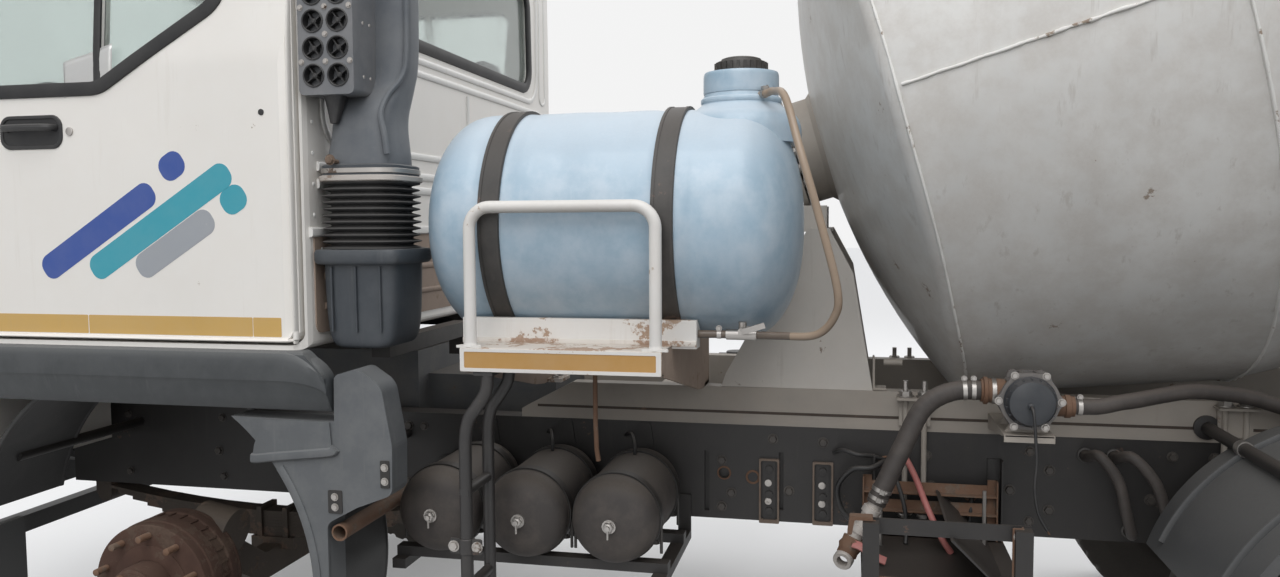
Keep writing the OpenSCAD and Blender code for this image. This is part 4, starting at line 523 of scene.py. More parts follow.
def finishes(look):
    """The table of finishes. Each row: colour, what shows through it, colour of its dust (for the water tank
    and the mouldings partly a painted highlight on top), mottle, streaks, dust on top, film, low dirt, chips,
    grain, roughness, metallic, coat, bump in millimetres.
    """
    rust, white, black = tuple(look.rust), tuple(look.cab_paint), tuple(look.frame_black)
    plain = (0.05, 0.05, 0.05)
    decal = (white, (0.42, 0.37, 0.3), 0.06, 0.05, 0.0, 0.06, 0.2, 0.04, 0.3, 0.34, 0.0, 0.25, 0.1)
    return {
        "cab_white": (
            white, (0.3, 0.26, 0.22), (0.46, 0.38, 0.28), 0.05, 0.1, 0.1, 0.07, 0.34, 0.03, 0.4, 0.3, 0.0,
            0.35, 0.2),
        "cab_wall": (
            (0.78, 0.77, 0.745), (0.3, 0.26, 0.22), (0.44, 0.38, 0.31), 0.06, 0.2, 0.2, 0.1, 0.3, 0.05, 0.5,
            0.34, 0.0, 0.2, 0.3),
        # The mouldings' grey on top is partly dust and partly a painted highlight along their upper face.
        "moulding": (
            (0.034, 0.038, 0.041), plain, (0.24, 0.24, 0.235), 0.18, 0.12, 0.5, 0.08, 0.1, 0.0, 1.2, 0.5, 0.0,
            0.0, 0.5),
        "mudguard": (
            (0.1, 0.107, 0.114), (0.06, 0.06, 0.06), (0.23, 0.225, 0.215), 0.24, 0.26, 0.34, 0.22, 0.2, 0.04,
            1.4, 0.6, 0.0, 0.0, 0.6),
        "intake_plastic": (
            (0.038, 0.045, 0.054), plain, (0.19, 0.186, 0.178), 0.2, 0.15, 0.38, 0.11, 0.12, 0.0, 1.2, 0.52,
            0.0, 0.0, 0.5),
        "duct_plastic": (
            (0.095, 0.105, 0.118), (0.06, 0.06, 0.06), (0.26, 0.25, 0.235), 0.22, 0.2, 0.35, 0.16, 0.1, 0.0,
            1.2, 0.52, 0.0, 0.0, 0.5),
        "bellows_rubber": (
            (0.022, 0.022, 0.023), plain, (0.16, 0.15, 0.14), 0.25, 0.15, 0.3, 0.14, 0.1, 0.0, 1.0, 0.62, 0.0,
            0.0, 0.4),
        "head_plastic": (
            (0.15, 0.155, 0.165), (0.06, 0.06, 0.06), (0.3, 0.28, 0.26), 0.22, 0.26, 0.35, 0.2, 0.1, 0.0, 1.3,
            0.55, 0.0, 0.0, 0.5),
        "black_plastic": (
            (0.018, 0.018, 0.019), plain, (0.17, 0.16, 0.15), 0.2, 0.12, 0.3, 0.12, 0.12, 0.0, 1.0, 0.5, 0.0,
            0.0, 0.4),
        "seal_rubber": (
            (0.012, 0.012, 0.013), plain, (0.14, 0.13, 0.12), 0.2, 0.0, 0.25, 0.1, 0.1, 0.0, 0.8, 0.58, 0.0,
            0.0, 0.3),
        "frame_black": (
            black, rust, (0.085, 0.072, 0.062), 0.3, 0.16, 0.46, 0.08, 0.08, 0.08, 1.6, 0.52, 0.0, 0.0, 0.7),
        "mixer_grey": (
            (0.36, 0.325, 0.285), rust, (0.3, 0.25, 0.205), 0.25, 0.3, 0.4, 0.3, 0.06, 0.12, 1.6, 0.62, 0.0,
            0.0, 0.8),
        "mixer_pale": (
            (0.6, 0.565, 0.52), rust, (0.36, 0.305, 0.255), 0.2, 0.26, 0.3, 0.22, 0.04, 0.08, 1.6, 0.6, 0.0,
            0.0, 0.8),
        "drum_paint": (
            tuple(look.drum_paint), (0.26, 0.19, 0.14), (0.33, 0.28, 0.235), 0.2, 0.42, 0.1, 0.38, 0.0, 0.07,
            1.3, 0.48, 0.0, 0.1, 0.6),
        "blade_steel": (
            (0.3, 0.28, 0.26), rust, (0.34, 0.31, 0.28), 0.3, 0.2, 0.3, 0.4, 0.0, 0.25, 2.0, 0.6, 0.3, 0.0,
            1.0),
        "roller_steel": (
            (0.3, 0.29, 0.28), rust, (0.2, 0.17, 0.14), 0.2, 0.05, 0.15, 0.15, 0.0, 0.1, 1.2, 0.38, 0.85, 0.0,
            0.4),
        "engine_iron": (
            (0.1, 0.105, 0.11), rust, (0.17, 0.145, 0.12), 0.3, 0.2, 0.5, 0.3, 0.2, 0.12, 2.0, 0.6, 0.2, 0.0,
            1.2),
        "axle_iron": (
            (0.06, 0.048, 0.04), rust, (0.155, 0.12, 0.09), 0.35, 0.2, 0.5, 0.36, 0.3, 0.3, 2.4, 0.72, 0.1,
            0.0, 1.4),
        "spring_steel": (
            (0.045, 0.036, 0.03), rust, (0.145, 0.115, 0.09), 0.35, 0.1, 0.45, 0.34, 0.25, 0.34, 2.4, 0.72,
            0.1, 0.0, 1.2),
        "dark_plastic": (
            (0.042, 0.044, 0.047), plain, (0.2, 0.19, 0.175), 0.2, 0.16, 0.4, 0.18, 0.22, 0.0, 1.2, 0.55, 0.0,
            0.0, 0.5),
        # The tank's dust colour is a pale copy of its blue on what faces up: partly dust, partly a painted
        # highlight from the light above.
        "tank_blue": (
            tuple(look.tank_blue), rust, (0.6, 0.64, 0.68), 0.16, 0.3, 0.62, 0.4, 0.0, 0.02, 0.8, 0.36, 0.0,
            0.2, 0.3),
        "black_fittings": (
            (0.03, 0.028, 0.026), rust, (0.15, 0.13, 0.115), 0.25, 0.18, 0.4, 0.2, 0.1, 0.12, 1.4, 0.52, 0.0,
            0.0, 0.6),
        "white_frame": (
            (0.7, 0.66, 0.61), (0.26, 0.12, 0.055), (0.42, 0.33, 0.26), 0.2, 0.36, 0.34, 0.24, 0.0, 0.42, 1.6,
            0.58, 0.0, 0.0, 1.0),
        "white_border": (
            (0.74, 0.72, 0.69), (0.3, 0.15, 0.075), (0.46, 0.37, 0.29), 0.14, 0.2, 0.3, 0.16, 0.0, 0.24, 1.2,
            0.55, 0.0, 0.0, 0.6),
        "tape_amber": (
            (0.46, 0.25, 0.065), (0.34, 0.2, 0.09), (0.4, 0.3, 0.2), 0.16, 0.2, 0.1, 0.2, 0.0, 0.1, 0.8, 0.46,
            0.0, 0.2, 0.2),
        "side_brown": (
            (0.33, 0.25, 0.2), rust, (0.36, 0.28, 0.22), 0.25, 0.3, 0.3, 0.35, 0.0, 0.22, 1.8, 0.68, 0.0, 0.0,
            0.8),
        "hoop_white": (
            (0.72, 0.7, 0.67), (0.34, 0.22, 0.14), (0.44, 0.36, 0.29), 0.14, 0.16, 0.14, 0.16, 0.0, 0.2, 1.2,
            0.46, 0.0, 0.1, 0.4),
        "pump_cap": (
            (0.026, 0.03, 0.036), plain, (0.14, 0.13, 0.125), 0.2, 0.0, 0.4, 0.12, 0.0, 0.0, 0.8, 0.38, 0.0,
            0.0, 0.2),
        "sight_tube": (
            (0.3, 0.22, 0.155), (0.2, 0.15, 0.1), (0.34, 0.27, 0.21), 0.2, 0.0, 0.3, 0.2, 0.0, 0.0, 0.6, 0.4,
            0.0, 0.2, 0.2),
        # A darker copy of the sight tube's colour: painted shade on its run under the tank.
        "sight_tube_dark": (
            (0.115, 0.085, 0.062), (0.08, 0.06, 0.04), (0.26, 0.2, 0.16), 0.2, 0.0, 0.3, 0.2, 0.0, 0.0, 0.6,
            0.42, 0.0, 0.2, 0.2),
        "pale_pipe": (
            (0.46, 0.43, 0.4), (0.16, 0.1, 0.07), (0.34, 0.28, 0.23), 0.2, 0.1, 0.2, 0.26, 0.0, 0.18, 1.2,
            0.55, 0.2, 0.0, 0.5),
        "frame_bolt": (
            (0.045, 0.04, 0.037), rust, (0.155, 0.135, 0.115), 0.2, 0.1, 0.5, 0.3, 0.1, 0.12, 1.2, 0.5, 0.2,
            0.0, 0.4),
        "rail_slot_frame": (
            (0.17, 0.125, 0.095), rust, (0.22, 0.17, 0.135), 0.3, 0.2, 0.4, 0.34, 0.1, 0.3, 1.8, 0.66, 0.0,
            0.0, 0.7),
        "seam_brown": (
            (0.05, 0.036, 0.028), rust, (0.12, 0.09, 0.07), 0.3, 0.0, 0.2, 0.2, 0.0, 0.2, 1.4, 0.75, 0.0, 0.0,
            0.4),
        # Pale weld beads: partly paler paint on the seams, partly a painted highlight along the raised beads.
        "drum_seam": (
            (0.76, 0.75, 0.72), (0.22, 0.15, 0.1), (0.34, 0.28, 0.23), 0.2, 0.1, 0.1, 0.16, 0.0, 0.3, 2.0,
            0.6, 0.0, 0.0, 1.0),
        "black_tube": (
            (0.022, 0.021, 0.021), rust, (0.115, 0.1, 0.09), 0.2, 0.1, 0.35, 0.14, 0.1, 0.1, 1.0, 0.46, 0.0,
            0.0, 0.4),
        "air_tank_black": (
            (0.044, 0.038, 0.036), rust, (0.165, 0.138, 0.115), 0.3, 0.2, 0.55, 0.3, 0.1, 0.1, 1.6, 0.68, 0.0,
            0.0, 0.7),
        "pump_iron": (
            (0.15, 0.142, 0.138), rust, (0.24, 0.21, 0.185), 0.25, 0.2, 0.4, 0.3, 0.1, 0.14, 1.8, 0.58, 0.3,
            0.0, 0.9),
        "hose_rubber": (
            (0.04, 0.034, 0.031), plain, (0.165, 0.138, 0.12), 0.2, 0.0, 0.5, 0.2, 0.1, 0.0, 1.2, 0.62, 0.0,
            0.0, 0.5),
        "cable_sheath": (
            (0.016, 0.016, 0.017), plain, (0.13, 0.115, 0.1), 0.15, 0.0, 0.35, 0.12, 0.0, 0.0, 0.8, 0.52, 0.0,
            0.0, 0.2),
        "tank_alloy": (
            (0.47, 0.47, 0.475), (0.3, 0.3, 0.3), (0.3, 0.26, 0.22), 0.12, 0.2, 0.3, 0.18, 0.2, 0.05, 0.8,
            0.38, 0.9, 0.0, 0.3),
        "silencer_rust": (
            (0.17, 0.095, 0.055), (0.075, 0.035, 0.02), (0.22, 0.155, 0.11), 0.35, 0.2, 0.3, 0.3, 0.1, 0.35,
            2.2, 0.8, 0.0, 0.0, 1.2),
        "cab_cloth": (
            (0.055, 0.058, 0.066), plain, (0.17, 0.16, 0.15), 0.12, 0.0, 0.2, 0.1, 0.0, 0.0, 2.0, 0.88, 0.0,
            0.0, 0.5),
        "mirror_black": (
            (0.018, 0.018, 0.019), plain, (0.18, 0.17, 0.16), 0.15, 0.1, 0.34, 0.1, 0.0, 0.0, 1.0, 0.46, 0.0,
            0.0, 0.3),
        "hub_rust": (
            (0.062, 0.029, 0.019), (0.03, 0.014, 0.009), (0.12, 0.078, 0.055), 0.45, 0.1, 0.22, 0.24, 0.04,
            0.45, 2.6, 0.86, 0.0, 0.0, 1.8),
        "wheel_steel": (
            (0.46, 0.44, 0.41), rust, (0.3, 0.24, 0.19), 0.18, 0.1, 0.35, 0.36, 0.3, 0.2, 1.4, 0.5, 0.1, 0.0,
            0.6),
        "tyre_rubber": (
            (0.026, 0.025, 0.025), (0.04, 0.04, 0.04), (0.165, 0.14, 0.115), 0.2, 0.0, 0.35, 0.3, 0.36, 0.0,
            1.6, 0.72, 0.0, 0.0, 0.7),
        "chute_grey": (
            (0.4, 0.39, 0.37), rust, (0.46, 0.44, 0.41), 0.22, 0.3, 0.4, 0.4, 0.0, 0.2, 1.8, 0.62, 0.0, 0.0,
            1.2),
        "cylinder_rod": (
            (0.62, 0.62, 0.63), (0.3, 0.28, 0.26), (0.2, 0.17, 0.14), 0.05, 0.0, 0.1, 0.08, 0.0, 0.03, 0.3,
            0.16, 1.0, 0.0, 0.1),
        "bare_steel": (
            (0.42, 0.4, 0.38), rust, (0.2, 0.17, 0.14), 0.15, 0.05, 0.25, 0.22, 0.05, 0.18, 1.2, 0.4, 0.85,
            0.0, 0.4),
        "rusty_steel": (
            (0.155, 0.08, 0.046), (0.06, 0.03, 0.018), (0.21, 0.155, 0.115), 0.35, 0.1, 0.3, 0.3, 0.1, 0.35,
            2.2, 0.8, 0.0, 0.0, 1.0),
        "tape_ochre": (
            tuple(look.tape), (0.4, 0.36, 0.3), (0.4, 0.31, 0.2), 0.1, 0.2, 0.1, 0.18, 0.3, 0.1, 0.6, 0.42,
            0.0, 0.3, 0.2),
        "tape_silver": (
            (0.55, 0.55, 0.54), (0.4, 0.36, 0.3), (0.4, 0.34, 0.27), 0.1, 0.1, 0.1, 0.14, 0.1, 0.05, 0.6,
            0.34, 0.4, 0.2, 0.2),
        "decal_teal": (tuple(look.decal_teal), *decal),
        "decal_blue": (tuple(look.decal_blue), *decal),
        "decal_grey": (tuple(look.decal_grey), *decal),
        "handle_red": (
            (0.42, 0.13, 0.12), (0.2, 0.18, 0.17), (0.3, 0.24, 0.2), 0.15, 0.0, 0.2, 0.25, 0.0, 0.1, 0.8,
            0.55, 0.0, 0.0, 0.3),
        "cement": (
            (0.4, 0.385, 0.36), (0.3, 0.29, 0.27), (0.46, 0.44, 0.41), 0.25, 0.2, 0.2, 0.4, 0.0, 0.25, 3.0,
            0.92, 0.0, 0.0, 2.4),
        "inside_plastic": (
            (0.085, 0.085, 0.085), plain, (0.24, 0.22, 0.2), 0.1, 0.0, 0.3, 0.1, 0.0, 0.0, 1.2, 0.58, 0.0,
            0.0, 0.4)}


# Clear finishes: colour, roughness, refraction
CLEAR = {
    "cab_glazing": ((0.8, 0.86, 0.84), 0.03, 1.45),
    "lamp_lens": ((0.93, 0.93, 0.93), 0.06, 1.45),
    "lens_amber": ((0.95, 0.32, 0.03), 0.12, 1.45),
    "lens_red": ((0.75, 0.02, 0.02), 0.12, 1.45),
    "sight_glass": ((0.62, 0.5, 0.36), 0.22, 1.45),
}


def finish(name):
    """The material of one finish, made when it is first asked for."""
    # the frame's own materials have the plain names
    label = "Finish_" + name
    if label in bpy.data.materials:
        return bpy.data.materials[label]
    material = bpy.data.materials.new(label)
    material.use_nodes = True
    tree = material.node_tree
    shader = tree.nodes["Principled BSDF"]
    where = wire(tree, "ShaderNodeTexCoord")
    if name == "mirror_glass":
        speck = noise(tree, where.outputs["Object"], 60.0)
        tree.links.new(band(tree, speck, 0.5, 0.8, 0.03, 0.12), shader.inputs["Roughness"])
        shader.inputs["Base Color"].default_value = (0.82, 0.84, 0.85, 1)
        shader.inputs["Metallic"].default_value = 1.0
        return material
    if name in CLEAR:
        colour, rough, bend = CLEAR[name]
        smear = noise(tree, where.outputs["Object"], 7.0, 6.0, 0.7)
        tree.links.new(band(tree, smear, 0.35, 0.85, rough, rough + 0.14), shader.inputs["Roughness"])
        dirt = blended(
            tree, band(tree, smear, 0.55, 0.9, 0.0, 0.35), (*colour, 1), (*[0.5 * c for c in colour], 1))
        tree.links.new(dirt, shader.inputs["Base Color"])
        shader.inputs["IOR"].default_value = bend
        shader.inputs["Transmission Weight"].default_value = 0.92
        return material
    colour, under, dust_and_sheen, mottle, streaks, top, film, low, chips, grain, smooth, metal, coat, bump = finishes(
        bpy.context.scene.mixer_look)[name]
    group = wire(
        tree, "ShaderNodeGroup", {"node_tree": weathering_group()}, Place=where.outputs["Object"],
        Facing=where.outputs["Normal"])
    values = {
        "Colour": (*colour, 1),
        "Dust": (*dust_and_sheen, 1),
        "Under": (*under, 1),
        "Mottle": mottle,
        "Streaks": streaks,
        "On top": top,
        "Film": film,
        "Low dirt": low,
        "Chips": chips,
        "Grain": grain,
        "Smooth": smooth,
        "Worn": 0.82}
    for label, value in values.items():
        group.inputs[label].default_value = value
    relief = wire(
        tree, "ShaderNodeBump", None, Strength=0.6, Distance=bump / 1000, Height=group.outputs["Height"])
    tree.links.new(group.outputs["Colour"], shader.inputs["Base Color"])
    tree.links.new(group.outputs["Roughness"], shader.inputs["Roughness"])
    tree.links.new(relief.outputs[0], shader.inputs["Normal"])
    if metal:
        tree.links.new(
            maths(tree, "MULTIPLY", maths(tree, "SUBTRACT", 1.0, group.outputs["Chips"]), metal),
            shader.inputs["Metallic"])
    shader.inputs["Coat Weight"].default_value = coat
    return material


# What every colour setting has in common
CHANNELS = {"size": 3, "min": 0, "max": 1}


class MixerLook(bpy.types.PropertyGroup):
    """Colours of the truck's finishes."""

    cab_paint: FloatVectorProperty(
        name="Cab paint", description="Colour of the cab and its doors", subtype="COLOR", **CHANNELS,
        default=(0.83, 0.8, 0.755))
    drum_paint: FloatVectorProperty(
        name="Drum paint", description="Colour of the drum's shell", subtype="COLOR", **CHANNELS,
        default=(0.68, 0.67, 0.645))
    tank_blue: FloatVectorProperty(
        name="Water tank", description="Colour of the water tank", subtype="COLOR", **CHANNELS,
        default=(0.33, 0.46, 0.565))
    frame_black: FloatVectorProperty(
        name="Frame", description="Colour of the rails and brackets", subtype="COLOR", **CHANNELS,
        default=(0.016, 0.0145, 0.014))
    tape: FloatVectorProperty(
        name="Reflective strip", description="Colour of the strips along the sides", subtype="COLOR",
        **CHANNELS, default=(0.58, 0.36, 0.1))
    decal_teal: FloatVectorProperty(
        name="Teal decal", description="Colour of the upper decal", subtype="COLOR", **CHANNELS,
        default=(0.03, 0.33, 0.42))
    decal_blue: FloatVectorProperty(
        name="Blue decal", description="Colour of the lower decal", subtype="COLOR", **CHANNELS,
        default=(0.02, 0.07, 0.32))
    decal_grey: FloatVectorProperty(
        name="Grey decal", description="Colour of the middle decal", subtype="COLOR", **CHANNELS,
        default=(0.33, 0.35, 0.38))
    rust: FloatVectorProperty(
        name="Rust", description="Colour of rust under chipped paint", subtype="COLOR", **CHANNELS,
        default=(0.105, 0.045, 0.024))


# Stage


class MixerStage(bpy.types.PropertyGroup):
    """Where the camera stands, and how the truck is lit."""

    foot: FloatVectorProperty(
        name="Camera", description="Where the camera stands", subtype="TRANSLATION", unit="LENGTH", size=3,
        default=(0.805, 3.7, 1.67))
    heading: FloatProperty(
        name="Heading", description="Turn of the view from straight across the truck, towards its front",
        subtype="ANGLE", default=math.radians(12.35))
    dip: FloatProperty(
        name="Dip", description="Angle of the view below the horizon", subtype="ANGLE",
        default=math.radians(3.846))
    roll: FloatProperty(
        name="Roll", description="Turn of the picture", subtype="ANGLE", default=math.radians(-0.345))
    focal: FloatProperty(
        name="Focal length", description="Lens on a 36 mm wide sensor, in millimetres", default=27.28, min=5)
    key: FloatProperty(
        name="Key lamp", description="Power of the soft lamp above", subtype="POWER", default=470.0, min=0)
    fill: FloatProperty(
        name="Fill lamp", description="Power of the lamp behind the camera", subtype="POWER", default=62.0,
        min=0)
    sky: FloatProperty(
        name="Sky", description="Strength of the even light from all round", default=0.86, min=0)


def seen_directly(tree):
    """1 for rays that reach the camera as they are, by reflection or through glass."""
    rays = wire(tree, "ShaderNodeLightPath").outputs
    return maths(
        tree, "MAXIMUM", maths(tree, "MAXIMUM", rays["Is Camera Ray"], rays["Is Glossy Ray"]),
        rays["Is Transmission Ray"])


def soft_lamp(name, place, aim, size, power):
    """A square area lamp that looks from its place at a point."""
    data = bpy.data.lights.new(name, "AREA")
    data.energy, data.size, data.shape = power, size, "SQUARE"
    lamp = bpy.data.objects.new(name, data)
    bpy.context.scene.collection.objects.link(lamp)
    lamp.location = place
    lamp.rotation_euler = (Vector(aim) - Vector(place)).to_track_quat("-Z", "Y").to_euler()


class MIXER_OT_stage(bpy.types.Operator):
    """Pale floor and background, soft lamps and the camera"""

    bl_idname = "mixer.stage"
    bl_label = "Stage"

    def execute(self, context):
        look, scene = context.scene.mixer_stage, context.scene
        eye = bpy.data.cameras.new("Eye")
        eye.lens, eye.sensor_width, eye.sensor_fit, eye.clip_end = look.focal, 36, "HORIZONTAL", 200
        camera = bpy.data.objects.new("Eye", eye)
        scene.collection.objects.link(camera)
        camera.location = look.foot
        turn = Matrix.Rotation(math.pi + look.heading, 3, "Z") @ Matrix.Rotation(
            math.pi / 2 - look.dip, 3, "X") @ Matrix.Rotation(look.roll, 3, "Z")
        camera.rotation_euler = turn.to_euler()
        scene.camera = camera
        middle = (CAD_BOX[0] + CAD_BOX[1]) / 2
        reach = 60.0
        floor_mesh = bpy.data.meshes.new("Floor")
        floor_mesh.from_pydata(
            [(-reach, -reach, 0), (reach, -reach, 0), (reach, reach, 0), (-reach, reach, 0)], [],
            [(0, 1, 2, 3)])
        floor = bpy.data.objects.new("Floor", floor_mesh)
        scene.collection.objects.link(floor)
        paint = bpy.data.materials.new("floor_pale")
        paint.use_nodes = True
        tree = paint.node_tree
        shader = tree.nodes["Principled BSDF"]
        shader.inputs["Roughness"].default_value = 0.9
        seen = seen_directly(tree)
        tree.links.new(
            blended(tree, seen, (0.1, 0.098, 0.095, 1), (0.66, 0.655, 0.65, 1)), shader.inputs["Base Color"])
        tree.links.new(
            blended(tree, seen, (0, 0, 0, 1), (0.22, 0.22, 0.22, 1)), shader.inputs["Emission Color"])
        shader.inputs["Emission Strength"].default_value = 1.0
        floor_mesh.materials.append(paint)
        world = bpy.data.worlds.new("Sky")
        world.use_nodes = True
        tree = world.node_tree
        sky = tree.nodes["Background"]
        seen = seen_directly(tree)
        tree.links.new(blended(tree, seen, (0.95, 0.97, 1.0, 1), (0.9, 0.9, 0.9, 1)), sky.inputs["Color"])
        tree.links.new(
            maths(tree, "ADD", maths(tree, "MULTIPLY", seen, 1.0 - look.sky), look.sky),
            sky.inputs["Strength"])
        scene.world = world
        soft_lamp("Key", (middle.x + 1.0, 6.0, 9.0), (middle.x + 1.0, 0, 1.8), 7.0, look.key)
        soft_lamp("Back", (middle.x - 2.0, -7.0, 8.0), (middle.x, 0, 1.8), 7.0, look.key * 0.4)
        soft_lamp("Fill", (2.2, 10.5, 4.8), (1.0, 1.0, 1.6), 4.0, look.fill * 1.3)
        scene.view_settings.view_transform = "Standard"
        return {"FINISHED"}


# Cord and hoses


class MixerLines(bpy.types.PropertyGroup):
    """Size of the cut cable."""

    cable: FloatProperty(
        name="Cable", description="Diameter of the cut cable", unit="LENGTH", default=0.009, min=0.002)


class MIXER_OT_cable(bpy.types.Operator):
    """The cut cable that hangs from the pump's cap"""

    bl_idname = "mixer.cable"
    bl_label = "Cut cable"

    def execute(self, context):
        d = context.scene.mixer_lines.cable
        stations = np.array([
            (306, 805.3, 1144), (306, 816, 1144), (305, 828, 1140), (302, 838, 1118), (298, 842, 1060),
            (294, 843, 990), (298, 842, 920), (288, 843, 850), (262, 844, 800)]) / 1000
        path = smooth_path(stations, 3)
        copper = moved(repeated(
            tube(np.array([(0, 0, -0.004), (0, 0, 0.012)]), 0.0009, 6),
            path[-1] + np.array([(0, 0, 0), (0.0018, 0, 0), (-0.001, 0.0016, 0), (-0.001, -0.0016, 0)]),
            path[-1] - path[-2]))
        cable = piece("Cut_cable", tube(path, d / 2, 12), "root", "cable_sheath", "cable_sheath")
        strands = piece("Cable_strands", copper, "root", "cable_sheath", "rusty_steel")
        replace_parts(cable, "loose_cable")
        return {"FINISHED"}


# Cab


class MixerCab(bpy.types.PropertyGroup):
    """Sizes of the cab's fittings."""

    seal: FloatProperty(
        name="Window seal", description="Width of the rubber round a window", unit="LENGTH", default=0.042,
        min=0.01)
    strip: FloatProperty(
        name="Reflective strip", description="Height of the strip along the door", unit="LENGTH",
        default=0.056, min=0.01)
    handle: FloatProperty(
        name="Handle", description="Length of the door's handle", unit="LENGTH", default=0.17, min=0.05)


CAB_REAR_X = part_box("cab_shell")[0].x
# Plane of the cab's sides, the height from which they lean in, and their lean
SIDE_Y = 1.2
WAIST_Z, SIDE_LEAN = 2.15, 0.07 / 0.81
# The windscreen's lower edge (x, z) and its lean back
FRONT = (4.153, 2.08, (4.153 - 3.985) / 0.88)
SIDE_WINDOW = rounded(
    [(2.995, 2.085, 0.11), (3.59, 2.085, 0.05), (3.51, 2.76, 0.05), (2.54, 2.76, 0.06), (2.595, 2.32, 0.11)],
    8)
REAR_WINDOW = rounded([(-0.84, 2.325, 0.09), (0.84, 2.325, 0.09), (0.82, 2.78, 0.09), (-0.82, 2.78, 0.09)], 8)
WINDSCREEN = rounded([(-1.05, 2.15, 0.06), (1.05, 2.15, 0.06), (0.985, 2.8, 0.08), (-0.985, 2.8, 0.08)], 8)


def on_side(outline, lift=0.0):
    """An (x, z) outline laid on the cab's left side, which leans in by a fixed share of the height over the
    waist.
    """
    x, z = np.asarray(outline, float).T
    return np.stack([x, SIDE_Y - SIDE_LEAN * np.maximum(z - WAIST_Z, 0) + lift, z], 1)


def on_rear(outline, lift=0.0):
    """A (y, z) outline laid on the cab's flat rear wall."""
    y, z = np.asarray(outline, float).T
    return np.stack([np.full_like(y, CAB_REAR_X - lift), y, z], 1)


def on_front(outline, lift=0.0):
    """A (y, z) outline laid on the cab's front, which leans back and turns round at its corners by a quarter
    circle.
    """
    y, z = np.asarray(outline, float).T
    corner = 0.2 - np.sqrt(np.maximum(0.04 - np.maximum(np.abs(y) - 1.0, 0) ** 2, 0.0))
    return np.stack([FRONT[0] - FRONT[2] * (z - FRONT[1]) - corner + lift, y, z], 1)


def seal_profile(width, height):
    """A half-round rubber section: a superellipse, so its top is nearly flat."""
    t = turns(12)
    c, s = np.cos(t), np.sin(t)
    return np.stack([np.sign(c) * np.abs(c) ** 0.6 * width / 2, np.sign(s) * np.abs(s) ** 0.8 * height], 1)


def denser(outline, gap=0.04):
    """A closed outline with its long sides cut into equal steps no longer than the gap."""
    p = np.asarray(outline, float)
    on = np.roll(p, -1, 0)
    steps = np.maximum(np.ceil(np.linalg.norm(on - p, axis=1) / gap).astype(int), 1)
    start = np.repeat(p, steps, 0)
    share = (np.arange(steps.sum()) - np.repeat(np.cumsum(steps) - steps, steps)) / np.repeat(steps, steps)
    return start + (np.repeat(on, steps, 0) - start) * share[:, None]


def both_doors(name, shape, slot, material, **more):
    """A piece on the left door and its mirror image on the right one."""
    pairs = shape if isinstance(shape, list) else [(shape, material)]
    piece(name + "_left", pairs, "door_left", slot, material, **more)
    piece(name + "_right", side_pairs(mirrored, pairs), "door_right", slot, material, **more)


class MIXER_OT_windows(bpy.types.Operator):
    """Rubber seals of the windows and of the windscreen"""

    bl_idname = "mixer.windows"
    bl_label = "Window seals"

    def execute(self, context):
        width = context.scene.mixer_cab.seal
        rubber = seal_profile(width, 0.01)
        side = carried(rubber, on_side(denser(inset(SIDE_WINDOW, -width * 0.15))), True, Y)
        bar = carried(rubber * 0.6, on_side(lined_up((2.995, 2.1), (2.995, 2.75), 8)), side=Y)
        both_doors("Door_window_seal", joined(side, bar), "mirror_black", "seal_rubber")
        rear = carried(rubber * 1.1, on_rear(denser(inset(REAR_WINDOW, -width * 0.2))), True, X)
        front = carried(rubber * 1.1, on_front(denser(inset(WINDSCREEN, -width * 0.2), 0.03)), True, X)
        piece("Cab_window_seals", joined(rear, front), "cab", "mirror_black", "seal_rubber")
        return {"FINISHED"}


def slanted_bar(low_x, low_z, length, width, rise=32.0):
    """A bar with round ends that rises rearwards: a rounded rectangle laid along (-cos, sin) and (sin, cos)
    of the rise.
    """
    r = min(length, width) * 0.42
    flat = rect(0, 0, length, width, r, 8)[::-1]
    c, s = math.cos(math.radians(rise)), math.sin(math.radians(rise))
    return np.stack([low_x - flat[:, 0] * c + flat[:, 1] * s, low_z + flat[:, 0] * s + flat[:, 1] * c], 1)


class MIXER_OT_livery(bpy.types.Operator):
    """Plain slanted bars, reflective strips and a patch of silver tape on the doors"""

    bl_idname = "mixer.livery"
    bl_label = "Door livery"

    def execute(self, context):
        strip = context.scene.mixer_cab.strip
        film = (SIDE_Y, SIDE_Y + 0.0006)
        bars = [
            ("decal_teal", 3.02, 1.5, 0.56, 0.078), ("decal_grey", 2.86, 1.505, 0.3, 0.078),
            ("decal_blue", 3.19, 1.5, 0.46, 0.078), ("decal_teal", 2.57, 1.69, 0.085, 0.078),
            ("decal_blue", 2.77, 1.79, 0.085, 0.078)]
        shapes = [
            (plate(slanted_bar(x, z, length, width), *film), kind) for kind, x, z, length, width in bars]
        low = 1.348
        for start, end in ((2.412, 2.503), (2.505, 3.06), (3.063, 3.625)):
            shapes.append((plate(rect(start, low, end, low + strip, 0.003, 3), *film), "tape_ochre"))
        both_doors("Door_livery", shapes, "cab_white", "tape_ochre", flat=True)
        t, u = np.meshgrid(np.linspace(0, 1, 9), np.linspace(0, 1, 15))
        rng = np.random.default_rng(SEED)
        crumple = 0.0012 + 0.0018 * rng.random(t.shape)
        x, z = 3.11 - 0.17 * u + 0.006 * np.sin(u * 9), 2.055 + 0.1 * t + 0.05 * u + 0.005 * np.sin(t * 7)
        tape = np.stack([x, SIDE_Y + crumple - SIDE_LEAN * np.maximum(z - WAIST_Z, 0), z], -1).reshape(-1, 3)
        made = piece("Door_tape_patch", (tape, grid_faces(15, 9)), "door_left", "cab_white", "tape_silver")
        made.modifiers.new("Thickness", "SOLIDIFY").thickness = 0.0008
        return {"FINISHED"}


